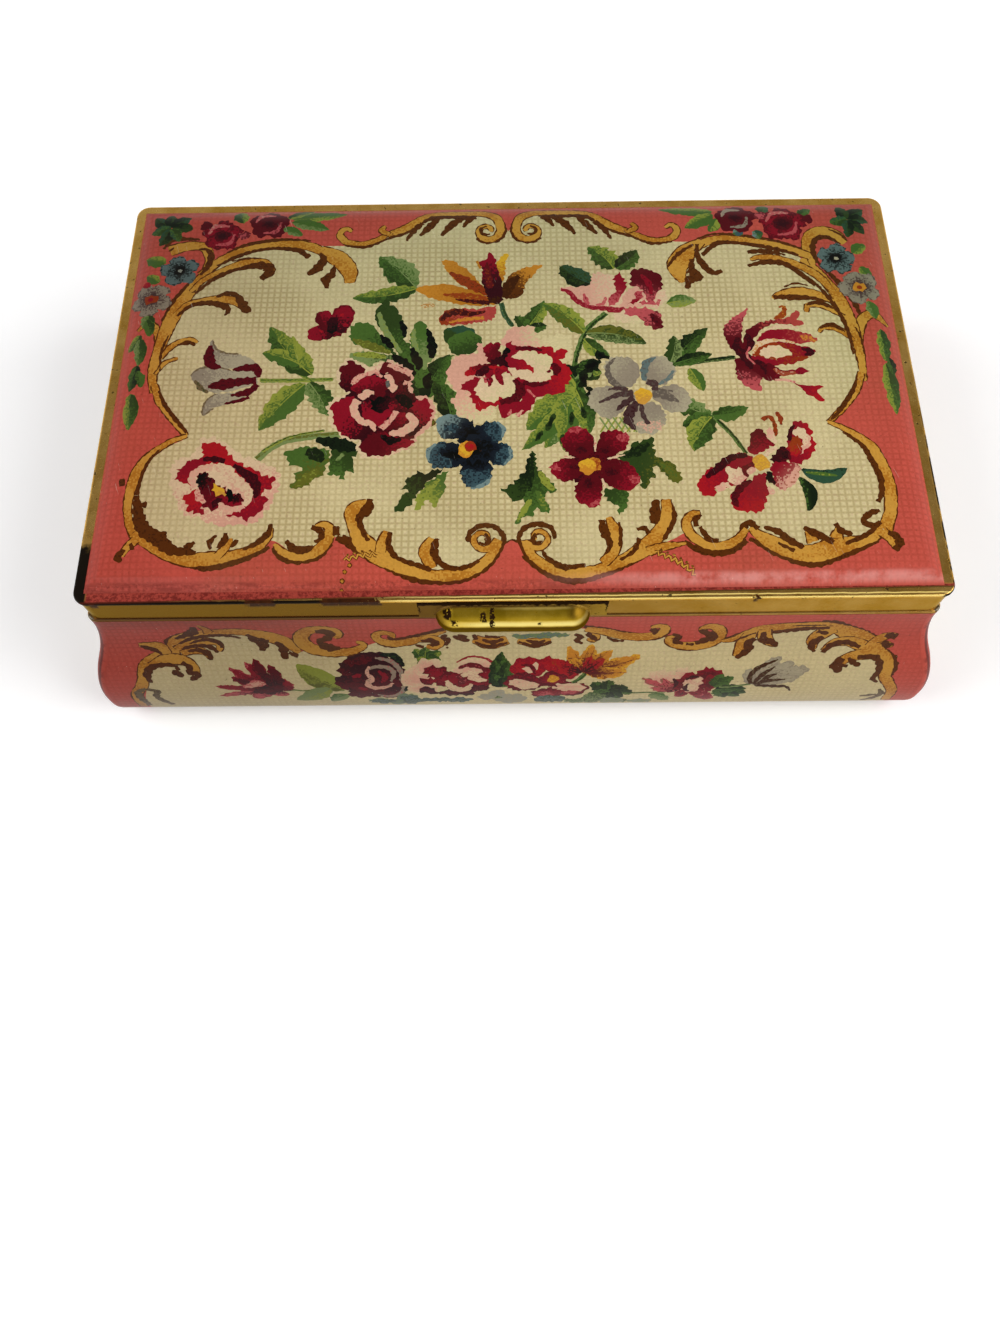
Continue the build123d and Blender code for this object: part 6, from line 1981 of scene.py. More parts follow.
# %% [markdown]
# ## The lid's picture: crown and cusps
# The S-scrolls of the crown and the cusps along the front use the same three layers:
# brown hems, gold bands and brown shading.
# %% Crown and cusp scrolls
def crown_scrolls(s):
    """The two S-scrolls over the middle."""
    for side in (-1, 1):
        s.at(flip=side < 0)
        scrollwork(s, hems=(
            ([(1.3, 47), (0.9, 44), (2.2, 41.4), (5.4, 40.4), (8, 41.6)], [0.6, 1.0, 1.2, 1.2, 0.7]),
        ), bands=(
            ([(30.4, 43), (26.6, 44.6), (23.4, 46.6), (20.6, 48.8), (17, 50), (11, 50.2), (6, 50),
              (2.8, 48), (1.9, 44.6)] + curl(5.2, 44, 3.3, 180, 1.05), [1.2, 1.9, 2.2, 2.0, 1.9, 1.9, 2.1,
              2.2, 2.0, 1.8, 1.6, 1.3, 1.0]),
            ([(28.8, 44), (32.4, 41.6), (36, 40.2), (40, 41), (41.8, 43.4), (40.4, 45.4), (38.8, 44.4)],
              [1.0, 1.3, 1.6, 1.6, 1.7, 1.4, 0.8]),
            ([(29.4, 43.2), (31.6, 44.6), (30.4, 46)], [1.0, 1.4, 0.7]),
        ), licks=(
            ([(22, 46.2), (19.6, 48.2), (16, 48.8), (11.6, 48.6), (7.6, 48.9)], [0.5, 1.4, 1.0, 1.5, 0.5]),
            ([(11.4, 48.4), (14, 46.2), (16.6, 42.6)], [1.5, 1.9, 0.6]),
            ([(17.4, 48.4), (19.4, 45.8), (22, 42.6)], [1.3, 1.8, 0.6]),
            ([(21.4, 46.8), (23.8, 44), (25.2, 41)], [1.2, 1.5, 0.5]),
            ([(8.2, 48.8), (10.4, 46.9), (11.2, 45.2)], [1.2, 1.3, 0.5]),
            ([(22.6, 45.6), (26, 43.4), (30, 41.8), (35, 39.4), (40.4, 39.8)], [0.4, 0.8, 0.5, 0.9, 0.4]),
            ([(5.4, 45.6), (6.9, 44.6), (6.2, 43), (4.6, 43)], [0.4, 0.8, 0.8, 0.4]),
        ))
    s.at()


def cusp_scrolls(s):
    """The scrolls that meet at the middle of the front."""
    scrollwork(s, hems=(
        ([(-51.6, -44.4), (-49.6, -47), (-45.7, -48), (-41.6, -46.9), (-38.8, -43.6)],
          [0.7, 1.2, 0.9, 1.1, 0.6]),
        ([(-38, -42.2), (-35.6, -43.4), (-32.6, -45.6), (-29.6, -48), (-23, -51), (-17.3, -52.2),
          (-11.6, -52.1), (-7.3, -50.7), (-4.2, -48.2), (-2.3, -45), (-1.9, -42.2), (-3.8, -39.9),
          (-7, -39.6), (-9.2, -41.4), (-9.6, -43.6)], [1.2, 1.8, 1.4, 0.9, 1.2, 1.5, 0.9, 1.1, 1.0, 1.1,
          0.9, 1.1, 1.1, 1.1, 0.8]),
        ([(9.3, -43), (8.4, -40.2), (5.4, -39.3), (2.6, -40.4), (1.4, -43), (2.2, -46), (4.4, -49),
          (8.4, -51.5), (13.4, -52.3), (18.4, -51.6), (24.6, -49.4), (28.8, -47.3)], [0.8, 1.1, 1.2, 1.0,
          1.2, 1.0, 1.1, 1.2, 1.0, 0.9, 0.7, 0.5]),
        ([(37, -44), (40, -46.1), (43.8, -46.9), (47.7, -45.9), (50.4, -43.8)], [0.7, 1.5, 1.5, 1.4, 1.0]),
    ), bands=(
        ([(-51.4, -43.6), (-49, -45.8), (-45.6, -46.7), (-42, -45.4), (-39.8, -42.4), (-39.6, -39.8),
          (-41, -38.8), (-42.8, -39.4)], [0.7, 1.6, 1.9, 2.2, 2.4, 2.2, 1.8, 0.8]),
        ([(-31.6, -33), (-34.6, -35), (-34.2, -39), (-32.4, -43), (-29, -46.4), (-24, -49.4), (-17.6, -51),
          (-11.6, -50.9), (-7, -49.2), (-4.1, -46.2), (-3, -43.2)] + curl(-6.2, -42.8, 3.0, -10, -1.1),
          [0.8, 3.4, 2.8, 4.2, 4.2, 2.4, 1.9, 2.0, 2.2, 2.2, 2.0, 1.7, 1.3, 1.0, 0.8]),
        ([(-27.2, -40.6), (-28, -43.6), (-28.4, -46)], [1.2, 2.2, 2.0]),
        ([(-17.4, -42.4), (-18.6, -45.6), (-17.2, -49.6)], [1.2, 3.0, 2.0]),
        ([(33.8, -33.4), (33.6, -38), (30.8, -43), (26.4, -46.8), (20, -49.8), (13.6, -50.9), (8.4, -49.9),
          (4.6, -47.4), (3, -44.2)] + curl(5.6, -42.6, 3.0, 195, 1.1), [2.0, 2.6, 3.2, 3.8, 2.4, 1.9, 2.0,
          2.1, 2.0, 1.6, 1.3, 1.0, 0.8]),
        ([(21, -37.8), (22.2, -41.6), (21.8, -45.8), (19.4, -49)], [1.2, 2.6, 2.4, 2.0]),
        ([(29, -46.4), (32.3, -45.2), (37.4, -44.4)], [2.2, 1.6, 0.5]),
        ([(50.6, -41), (48.4, -43.6), (45.6, -45), (42, -45), (38.8, -42.6), (37.7, -39.8), (39, -37.2),
          (41, -36.9)], [1.2, 1.8, 1.9, 1.8, 2.0, 2.0, 1.7, 0.8]),
    ), licks=(
        ([(-48.9, -42.7), (-47.2, -44.6), (-45, -45.1), (-42.9, -44.2)], [0.8, 1.6, 1.9, 0.8]),
        ([(-43.6, -39.5), (-41.8, -40.2), (-41.2, -42), (-42.6, -43.2)], [0.9, 1.3, 1.2, 0.7]),
        ([(-38.2, -39.2), (-38, -41.6)], [1.1, 1.4]), ([(-36.8, -42.2), (-34.6, -42.6)], [1.4, 0.9]),
        ([(-31, -32.6), (-31.6, -35.4), (-33.2, -37.2), (-32.4, -40.4), (-31, -43)],
          [1.2, 2.2, 1.4, 1.0, 0.8]),
        ([(-26.4, -40.9), (-26.6, -44), (-25, -46.9), (-21, -48.7), (-17.3, -50)],
          [0.9, 1.3, 0.9, 1.0, 0.9]),
        ([(-16.2, -42.6), (-16.8, -45.6), (-15.4, -48.6), (-12.6, -49.7), (-9.4, -49.3), (-7, -47.9)],
          [1.0, 1.7, 1.2, 0.9, 0.9, 0.6]),
        ([(-5.9, -41.6), (-5, -42.9), (-6, -44.2), (-7.2, -43.6)], [0.5, 0.9, 0.8, 0.4]),
        ([(5, -41.6), (4.4, -43), (5.4, -44), (6.6, -43.4)], [0.5, 0.9, 0.8, 0.4]),
        ([(6.4, -45.8), (7.7, -47.9), (11.3, -49.7), (15.6, -49.2)], [0.6, 1.1, 1.1, 0.5]),
        ([(19.4, -38.4), (20, -41.6), (21, -44.6), (19.8, -47)], [1.2, 1.8, 1.2, 0.6]),
        ([(23.2, -39), (23.5, -42), (23, -45)], [0.5, 0.8, 0.5]),
        ([(23, -48.3), (26.2, -46), (27.4, -43)], [0.5, 0.9, 0.8]),
        ([(27, -40.9), (28.6, -40.6), (29.6, -42)], [0.8, 1.2, 0.9]),
        ([(31.6, -33.5), (31.2, -36.4), (30.8, -39.6)], [1.2, 2.2, 1.6]),
        ([(35.2, -35.2), (35.2, -38.4), (33.8, -41.4), (32.4, -43.6)], [0.6, 1.1, 1.0, 0.7]),
        ([(41.2, -37.4), (39.8, -38.6), (39.9, -40.4)], [0.6, 1.2, 0.9]),
        ([(40.6, -40.4), (42.2, -43.3), (44.4, -43.9)], [0.9, 1.3, 0.8]),
    ))


def vine_sprays(s):
    """Fine gold twigs that curl off the front scrolls over the pink."""
    for x, y in ((-36.6, -53.8), (-36.4, -52), (-35.8, -50.2), (-34.8, -48.8)):
        blot(s, x, y, 0.62, 0.62, "brown", "brown", rough=0.1)
        blot(s, x, y, 0.4, 0.4, "gold", "amber", rough=0.05)
    for x0, y0, x1, y1 in ((-36, -47.6, -29, -46.4), (30.6, -46.4, 39, -51.4)):
        line = flowing([(x0, y0), ((x0 + x1) / 2, (y0 + y1) / 2 + 0.5), (x1, y1)], 0.5)
        wave = line + across(line) * (0.55 * np.sin(np.arange(len(line)) * 2.2))[:, None]
        s.lay(ribbon(wave, [0.8, 1.0, 0.8]), "brown")
        s.lay(ribbon(wave, [0.35, 0.5, 0.35]), "gold")
        for k in range(2, len(line) - 1, 3):
            blot(s, *(line[k] + across(line)[k] * 0.9), 0.5, 0.35, "gold", "brown", turn=40 * k, rough=0.08)


crown_scrolls(lid_sheet)
cusp_scrolls(lid_sheet)
vine_sprays(lid_sheet)
lid_sheet.lay(
    [(-2.4, -47), (-1.6, -44.4), (-0.9, -43.4), (0, -43.1), (0.9, -43.4), (1.4, -44.4), (2.4, -47)], "pink"
)
lick(lid_sheet, [(-1.5, -43.9), (0, -43), (1.2, -43.9)], [0.3, 0.4, 0.3])

# %% [markdown]
# ## The lid's picture: corner sprays
# On the pink, small garlands of roses, pansies and daisies fill the four corners, and
# pairs of long leaves run down the sides. They are printed smaller and plainer.
# %% Corner sprays
def small_rose(s, x, y, r, main="crimson", pale="rose"):
    """A little full rose for the corners, r its radius in mm."""
    for k in range(5):
        a = math.radians(72 * k + 20)
        blot(
            s, x + r * 0.45 * math.cos(a), y + r * 0.4 * math.sin(a), r * 0.62, r * 0.5, main, "wine",
            "edge", 72 * k, 0.5,
        )
    lick(
        s, [(x - r * 0.7, y + r * 0.1), (x - r * 0.4, y + r * 0.6), (x + r * 0.3, y + r * 0.6)],
        [0.4, 1.2, 0.5], pale, "blush",
    )
    lick(
        s, [(x + r * 0.6, y + r * 0.1), (x + r * 0.4, y - r * 0.5), (x - r * 0.3, y - r * 0.6)],
        [0.4, 1.0, 0.4], pale, main,
    )
    blot(s, x, y, r * 0.4, r * 0.36, "maroon", "wine", rough=0.4)


def pansy(s, x, y, r, turn=0.0, main="sky", deep="navy", eye="black", heart="white"):
    """A five-petalled flower for the corners, r its radius in mm."""
    s.at(x, y, turn)
    for k in range(5):
        a = math.radians(72 * k + 90)
        tip = (r * math.cos(a), r * math.sin(a))
        petal(
            s, (0, 0), tip, r * 0.42, main, deep, "base", 0.2, 1.25, 2.4, 0.4,
            fringe=deep if deep != "navy" else "blue", streaks=2, streak_ink=deep, streak_length=0.7,
        )
    blot(s, 0, 0, r * 0.3, r * 0.26, eye, eye, rough=0.5)
    blot(s, 0, 0, r * 0.14, r * 0.12, heart, heart, rough=0.15)
    s.at()


def corner_sprays(s):
    """Leaves as (foot x, foot y, run x, run y, half width, inks), then roses and pansies."""
    for x, y, dx, dy, half, dark, light in (
        (-84, 46.4, -4.6, 3.4, 1.9, "night", "teal"), (-84, 46.4, -0.4, 4.8, 1.7, "night", "moss"),
        (-84, 46.4, 4.6, 3.4, 1.9, "night", "teal"),
        (-84, 46.4, -5.2, -1.6, 1.7, "moss", "teal"), (-84, 46.4, 5.6, -0.6, 1.8, "night", "moss"),
        (-84, 46, -2.4, -5.6, 1.7, "night", "teal"), (-84, 46, 2.4, -4.2, 1.5, "moss", "teal"),
        (84, 46.4, 4.6, 3.4, 1.9, "night", "teal"), (84, 46.4, -1.6, 4.8, 1.7, "night", "moss"),
        (84, 46.4, 5.4, -0.6, 1.7, "night", "teal"),
        (84, 46.4, -4.6, -0.8, 1.7, "moss", "teal"), (84, 46, 3.6, -4.6, 1.7, "night", "moss"),
        (84, 46, -0.6, -5.6, 1.6, "night", "teal"),
        (-66, 47.6, -1.4, 5.0, 2.0, "moss", "lime"), (-54, 48.6, 13.8, 1.8, 2.0, "leaf", "lime"),
        (-54, 47.6, 9.6, -2.6, 1.8, "leaf", "sage"), (-55, 49, 6.4, 3.6, 1.5, "moss", "lime"),
        (-56, 45.6, 5.0, -2.4, 1.4, "leaf", "sage"),
        (51, 49.6, -13.6, 1.4, 1.9, "leaf", "lime"), (51, 48.6, -7.6, -4.4, 2.0, "leaf", "lime"),
        (52, 47, -2.6, -4.2, 1.6, "lime", "leaf"), (63, 48.6, 1.6, 3.8, 1.8, "moss", "teal"),
        (58, 43.4, -2.8, -1.2, 1.3, "blue", "sky"), (60.6, 43, 1.2, -2.8, 1.4, "teal", "sky"),
        (72, 47.6, 3.4, 2.4, 1.4, "moss", "leaf"),
        (-84, 35, -5.4, 1.8, 1.9, "leaf", "lime"), (-85, 29, -3.2, 2.6, 1.6, "leaf", "lime"),
        (-86, 19.4, -1.4, -4.4, 1.8, "moss", "sage"), (-86.6, 17.8, 1.2, -5.2, 1.4, "moss", "leaf"),
        (-87.6, 13.2, -2.6, -4.4, 1.6, "moss", "lime"), (-87.6, 12.2, 0.6, -8.2, 1.7, "moss", "sage"),
        (-87.4, 4.4, -0.8, -7.4, 1.7, "night", "leaf"), (-87.8, -3.6, 0.8, -10.2, 1.9, "moss", "lime"),
        (-87, 2.8, 1.4, -5, 1.2, "leaf", "moss"),
        (84, 35.4, 3.4, 2.8, 1.8, "leaf", "lime"), (85, 31, 2.2, -3.6, 1.5, "leaf", "lime"),
        (85.6, 20.6, 1.2, -5.4, 1.5, "leaf", "sage"), (87.4, 12.4, -0.2, -9.6, 1.8, "moss", "lime"),
        (87.2, 2.6, 0.4, -14.4, 2.0, "moss", "lime"), (88.2, 4.4, 0.4, -5, 1.2, "night", "leaf"),
    ):
        leaf(
            s, (x, y), (x + dx, y + dy), half, dark, light, "leaf" if dark != "night" else "moss", 0.3, 3,
            0.25, False,
        )
    small_rose(s, -71, 43.6, 5.0)
    small_rose(s, -59.6, 47.2, 4.9, "wine", "rose")
    small_rose(s, 56.4, 47.2, 4.9, "wine", "lilac")
    small_rose(s, 68, 45.2, 5.8, "crimson", "rose")
    for x, y, ink in (
        (-65.6, 43.4, "rose"), (-75.4, 46.8, "wine"), (62.6, 47.8, "rose"), (74.2, 46.6, "wine")
    ):
        blot(s, x, y, 1.6, 1.4, ink, "wine", rough=0.4)
    pansy(s, -80.4, 32.6, 4.8, 10, "slate", "black", "black", "mist")
    pansy(s, 79.8, 33.8, 4.8, -14, "slate", "black", "black", "white")
    pansy(s, -86.4, 23.8, 5.2, 30, "lilac", "plum", "rust", "crimson")
    pansy(s, 84.2, 24.8, 5.2, 20, "lilac", "plum", "orange", "rust")
    blot(s, -88, 28.6, 1.2, 1.0, "red", "crimson", rough=0.3)


corner_sprays(lid_sheet)
print("whole lid picture:", len(lid_sheet.shapes))

# %% [markdown]
# ## Laying the lid's film
# The cushion of the lid is flat in the middle and falls off in an even round shoulder
# along all four sides, mitred at the corners. Height at any point depends only on the
# distance to the nearest side, so nested rectangles guide where the film bends.
# %% Laying the lid's film
CUSHION_HALF = (92.05, 53.8)
CUSHION_TOP = 54.0
SHOULDER_WIDTH = 6.5
SHOULDER_RADIUS = 9.7


def rectangle(margin):
    """The cushion's outline, drawn in by a margin."""
    a, b = CUSHION_HALF[0] - margin, CUSHION_HALF[1] - margin
    return [(-a, -b), (a, -b), (a, b), (-a, b)]


def cushion_margin(flat):
    """The distance to the nearest side, and whether that side is across x or y."""
    gap = np.array(CUSHION_HALF) - np.abs(flat)
    return gap.min(1), gap.argmin(1)


def cushion_place(flat):
    """Where points of the sheet come to lie on the pressed cushion."""
    margin, _ = cushion_margin(flat)
    fall = np.clip(SHOULDER_WIDTH - margin, 0, SHOULDER_WIDTH)
    height = CUSHION_TOP - SHOULDER_RADIUS + np.sqrt(SHOULDER_RADIUS**2 - fall**2)
    return np.column_stack([flat, height])


def cushion_normal(flat):
    """The way the cushion faces at those points."""
    margin, side = cushion_margin(flat)
    lean = np.clip(SHOULDER_WIDTH - margin, 0, SHOULDER_WIDTH) / SHOULDER_RADIUS
    normal = np.zeros((len(flat), 3))
    normal[np.arange(len(flat)), side] = lean * np.sign(flat[np.arange(len(flat)), side])
    normal[:, 2] = np.sqrt(1 - lean**2)
    return normal


def lid_guides():
    """Nested rectangles down the shoulder and the four mitre lines."""
    rings = [rectangle(m) for m in np.arange(0.75, SHOULDER_WIDTH + 0.1, 0.82)]
    lines = [ring + ring[:1] for ring in rings]
    for a in (-1, 1):
        for b in (-1, 1):
            outer, inner = rectangle(0.05)[2], rectangle(SHOULDER_WIDTH + 0.5)[2]
            lines.append([(a * outer[0], b * outer[1]), (a * inner[0], b * inner[1])])
    return lines


def even_grid(low, high, pitch):
    """Extra points, so that wide plain areas get triangles of an even size."""
    xs = np.arange(low[0] + pitch / 2, high[0], pitch)
    ys = np.arange(low[1] + pitch / 2, high[1], pitch)
    return [(x + 0.013, y + 0.017) for x in xs for y in ys]


FILM_INSET = 0.05
PINK_GROUND = (None, "pink", "pink", None, None, 0.6)
lid_film = printed_film(
    lid_sheet, rectangle(FILM_INSET), lid_guides(), even_grid((-85, -46.5), (85, 46.5), 2.2),
    cushion_place, cushion_normal, PINK_GROUND,
)
lid_film.data.materials.append(printed_ink)
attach(lid_film, "lid")

# %% [markdown]
# ## The front wall's picture
# The front repeats the lid's theme in one long row: tulip, dark rose, pink rose, red
# anemone, lily, carnation and a white tulip, under scrolls that end in corner curls.
# It is drawn in three thirds. Points are counted in fine squares, 13 to the millimetre,
# to the right and down from each third's upper corner, 5 mm below the rim's top.
# %% The front wall's picture
RIM_TOP = 51.5
SQUARES = 13


def squares(left):
    """Turns points counted in squares from x = left into points of the sheet."""
    return lambda *points: [(left + x / SQUARES, RIM_TOP - 5 - y / SQUARES) for x, y in points]


LEFT, MIDDLE, RIGHT = squares(-100), squares(-40), squares(20)
WALL_FIELD = (
    LEFT((95, 600), (112, 520), (122, 440), (150, 366), (170, 292), (228, 258), (276, 236), (288, 196),
        (330, 160), (410, 132), (480, 130), (560, 150), (620, 180), (655, 222), (690, 214), (740, 228),
        (800, 226), (850, 204), (900, 184))
    + MIDDLE((155, 190), (205, 184), (255, 160), (315, 124), (400, 112), (650, 112), (735, 126), (790, 142),
        (850, 164), (905, 170), (950, 160), (978, 178))
    + RIGHT((218, 200), (256, 213), (300, 211), (338, 194), (366, 193), (400, 186), (440, 156), (480, 134),
        (560, 125), (640, 118), (700, 144), (760, 184), (820, 232), (870, 262), (894, 305), (898, 350),
        (925, 394), (948, 440), (954, 520), (956, 600))
)


def wall_left_scrolls(s):
    """The corner curls and the first arch."""
    p = LEFT
    scrollwork(s, hems=(
        (p((262, 238), (266, 180), (290, 150), (345, 132), (366, 112)), [0.6, 1.6, 1.2, 1.6, 2.0]),
        (p((158, 262), (142, 300), (136, 340), (112, 380), (92, 420)), THIN),
        (p((684, 212), (740, 234), (800, 238)), HEM),
    ), bands=(
        (p((274, 234), (282, 190), (300, 164), (350, 142), (410, 126), (480, 122), (540, 136), (590, 160),
         (630, 190), (652, 228)), [2.0, 3.0, 3.2, 2.8, 2.2, 2.2, 3.0, 4.0, 3.6, 1.4]),
        (p((404, 128), (396, 102), (380, 84)), [2.2, 1.4, 0.5]),
        (p((285, 210), (330, 184), (380, 170), (420, 184), (412, 218)), [2.0, 2.8, 2.6, 2.0, 0.9]),
        (p((295, 226), (340, 212), (370, 222), (380, 252)), [1.4, 2.2, 2.0, 0.9]),
        (p((250, 228), (205, 248), (166, 282), (152, 325), (132, 368), (106, 405), (94, 450), (92, 520)),
         [3.2, 2.8, 2.8, 2.6, 2.6, 2.4, 2.0, 1.8]),
        (p((188, 274), (240, 250), (292, 252), (320, 280), (322, 314)), [1.6, 2.8, 3.0, 2.4, 1.0]),
        (p((178, 186), (215, 190), (242, 194), (250, 226)), [1.2, 2.2, 2.8, 2.4]),
        (p((770, 162), (788, 142), (772, 118), (730, 110), (690, 126), (668, 162), (682, 200), (730, 224),
         (800, 226), (848, 206), (852, 190), (832, 182)), [1.0, 1.6, 2.0, 2.6, 3.2, 3.6, 3.4, 2.6, 2.4, 2.2,
         1.6, 0.8]),
    ), licks=(
        (p((296, 158), (340, 134), (360, 116), (366, 92)), [0.8, 1.4, 2.4, 1.0]),
        (p((300, 182), (345, 156), (400, 143), (450, 143), (492, 158)), [0.5, 1.1, 1.0, 1.1, 0.6]),
        (p((330, 182), (380, 164), (420, 178), (424, 204)), [0.5, 0.9, 1.3, 0.7]),
        (p((300, 208), (330, 196), (370, 192), (398, 206), (404, 224)), [0.5, 1.0, 1.1, 1.4, 0.7]),
        (p((318, 218), (350, 212), (376, 230), (380, 254)), [0.5, 1.2, 1.6, 0.8]),
        (p((512, 138), (528, 164), (550, 182), (542, 218)), [0.8, 2.0, 2.8, 1.0]),
        (p((590, 178), (606, 204), (606, 252)), [0.9, 2.1, 1.4]), (p((622, 226), (648, 242)), [0.9, 1.3]),
        (p((566, 166), (560, 192)), [0.9, 0.6]),
        (p((180, 192), (214, 206), (236, 228)), [0.9, 1.5, 0.7]),
        (p((166, 348), (168, 306), (194, 278), (240, 270), (272, 278)), [0.9, 1.9, 1.5, 1.1, 0.6]),
        (p((286, 262), (306, 280), (300, 302), (324, 310), (296, 338)), [1.0, 1.5, 1.3, 1.8, 0.9]),
        (p((246, 298), (264, 306), (276, 320)), [1.1, 2.0, 0.8]), (p((260, 290), (274, 284)), [0.8, 1.0]),
        (p((718, 128), (754, 128), (752, 158), (722, 178), (742, 204), (780, 210)),
         [1.2, 2.0, 1.8, 1.4, 2.6, 0.9]),
    ))
    for points, widths in (
        (p((142, 380), (112, 400), (106, 440), (116, 505)), [0.8, 1.8, 1.7, 1.0]),
        (p((140, 384), (172, 396), (160, 430), (172, 466), (194, 502)), [0.8, 1.6, 1.3, 1.7, 1.0]),
    ):
        lick(s, points, widths, "smoke", "umber")


def wall_crest(s):
    """The scrolls and small shells that meet in the middle, half hidden by the pull."""
    p = MIDDLE
    scrollwork(s, hems=(
        (p((112, 192), (150, 206), (200, 198)), THIN),
        (p((728, 112), (790, 126), (840, 144), (890, 154)), [1.2, 1.1, 1.0, 0.5]),
        (p((870, 184), (940, 182), (978, 160), (984, 128)), [0.4, 0.8, 0.8, 0.5]),
    ), bands=(
        (p((148, 168), (164, 158), (158, 142), (130, 136), (112, 152), (122, 176), (155, 190), (205, 184),
         (255, 160), (320, 124)), [0.9, 1.4, 1.8, 2.0, 2.2, 2.2, 2.4, 2.4, 2.2, 1.8]),
        (p((238, 172), (275, 170), (300, 186), (286, 206), (260, 206)), [1.6, 2.4, 2.6, 2.2, 1.0]),
        (p((405, 172), (450, 194), (504, 178)), [2.8, 3.8, 2.8]),
        (p((536, 180), (585, 194), (634, 182)), [2.0, 3.0, 2.0]),
        (p((742, 148), (768, 166), (760, 184), (742, 178)), [1.8, 2.4, 1.6, 0.8]),
        (p((735, 126), (790, 142), (850, 164), (905, 170), (952, 160), (970, 132), (952, 112), (926, 122)),
         [1.8, 2.4, 2.6, 2.6, 2.6, 2.4, 2.0, 0.9]),
    ), licks=(
        (p((172, 168), (212, 160), (262, 142), (322, 118)), [0.5, 1.0, 1.1, 1.1]),
        (p((146, 158), (162, 170), (180, 166)), [0.6, 1.0, 0.4]),
        (p((246, 182), (272, 176), (290, 190), (274, 206)), [0.6, 1.3, 1.6, 0.7]),
        (p((226, 198), (252, 210)), [0.6, 1.1]),
        (p((324, 150), (312, 164), (328, 178), (318, 202)), [0.8, 1.4, 1.2, 0.6]),
        (p((342, 158), (366, 172), (390, 182)), [0.8, 1.5, 0.9]), (p((356, 150), (384, 164)), [0.5, 1.0]),
        (p((406, 188), (450, 210), (504, 192)), [0.7, 1.2, 0.7]),
        (p((428, 176), (458, 190), (494, 174)), [0.7, 1.4, 0.7]), (p((404, 150), (412, 178)), [0.7, 1.1]),
        (p((436, 160), (482, 166)), [0.9, 0.9]),
        (p((536, 188), (585, 208), (636, 190)), [0.7, 1.2, 0.7]),
        (p((560, 182), (594, 194), (618, 182)), [0.6, 1.3, 0.6]),
        (p((704, 154), (724, 170), (710, 184), (730, 200)), [0.8, 1.4, 1.2, 0.6]),
        (p((738, 150), (756, 168), (774, 188)), [0.9, 1.5, 0.7]),
        (p((925, 132), (944, 142), (936, 158)), [1.0, 1.6, 0.8]),
        (p((800, 172), (828, 187), (854, 189)), [0.5, 1.0, 0.5]),
    ))
    blot(s, *p((322, 212))[0], 0.4, 0.4, "brown", rough=0.1)
    blot(s, *p((602, 158))[0], 7.0, 1.1, "slate", "sage", "even", 2, 0.4)


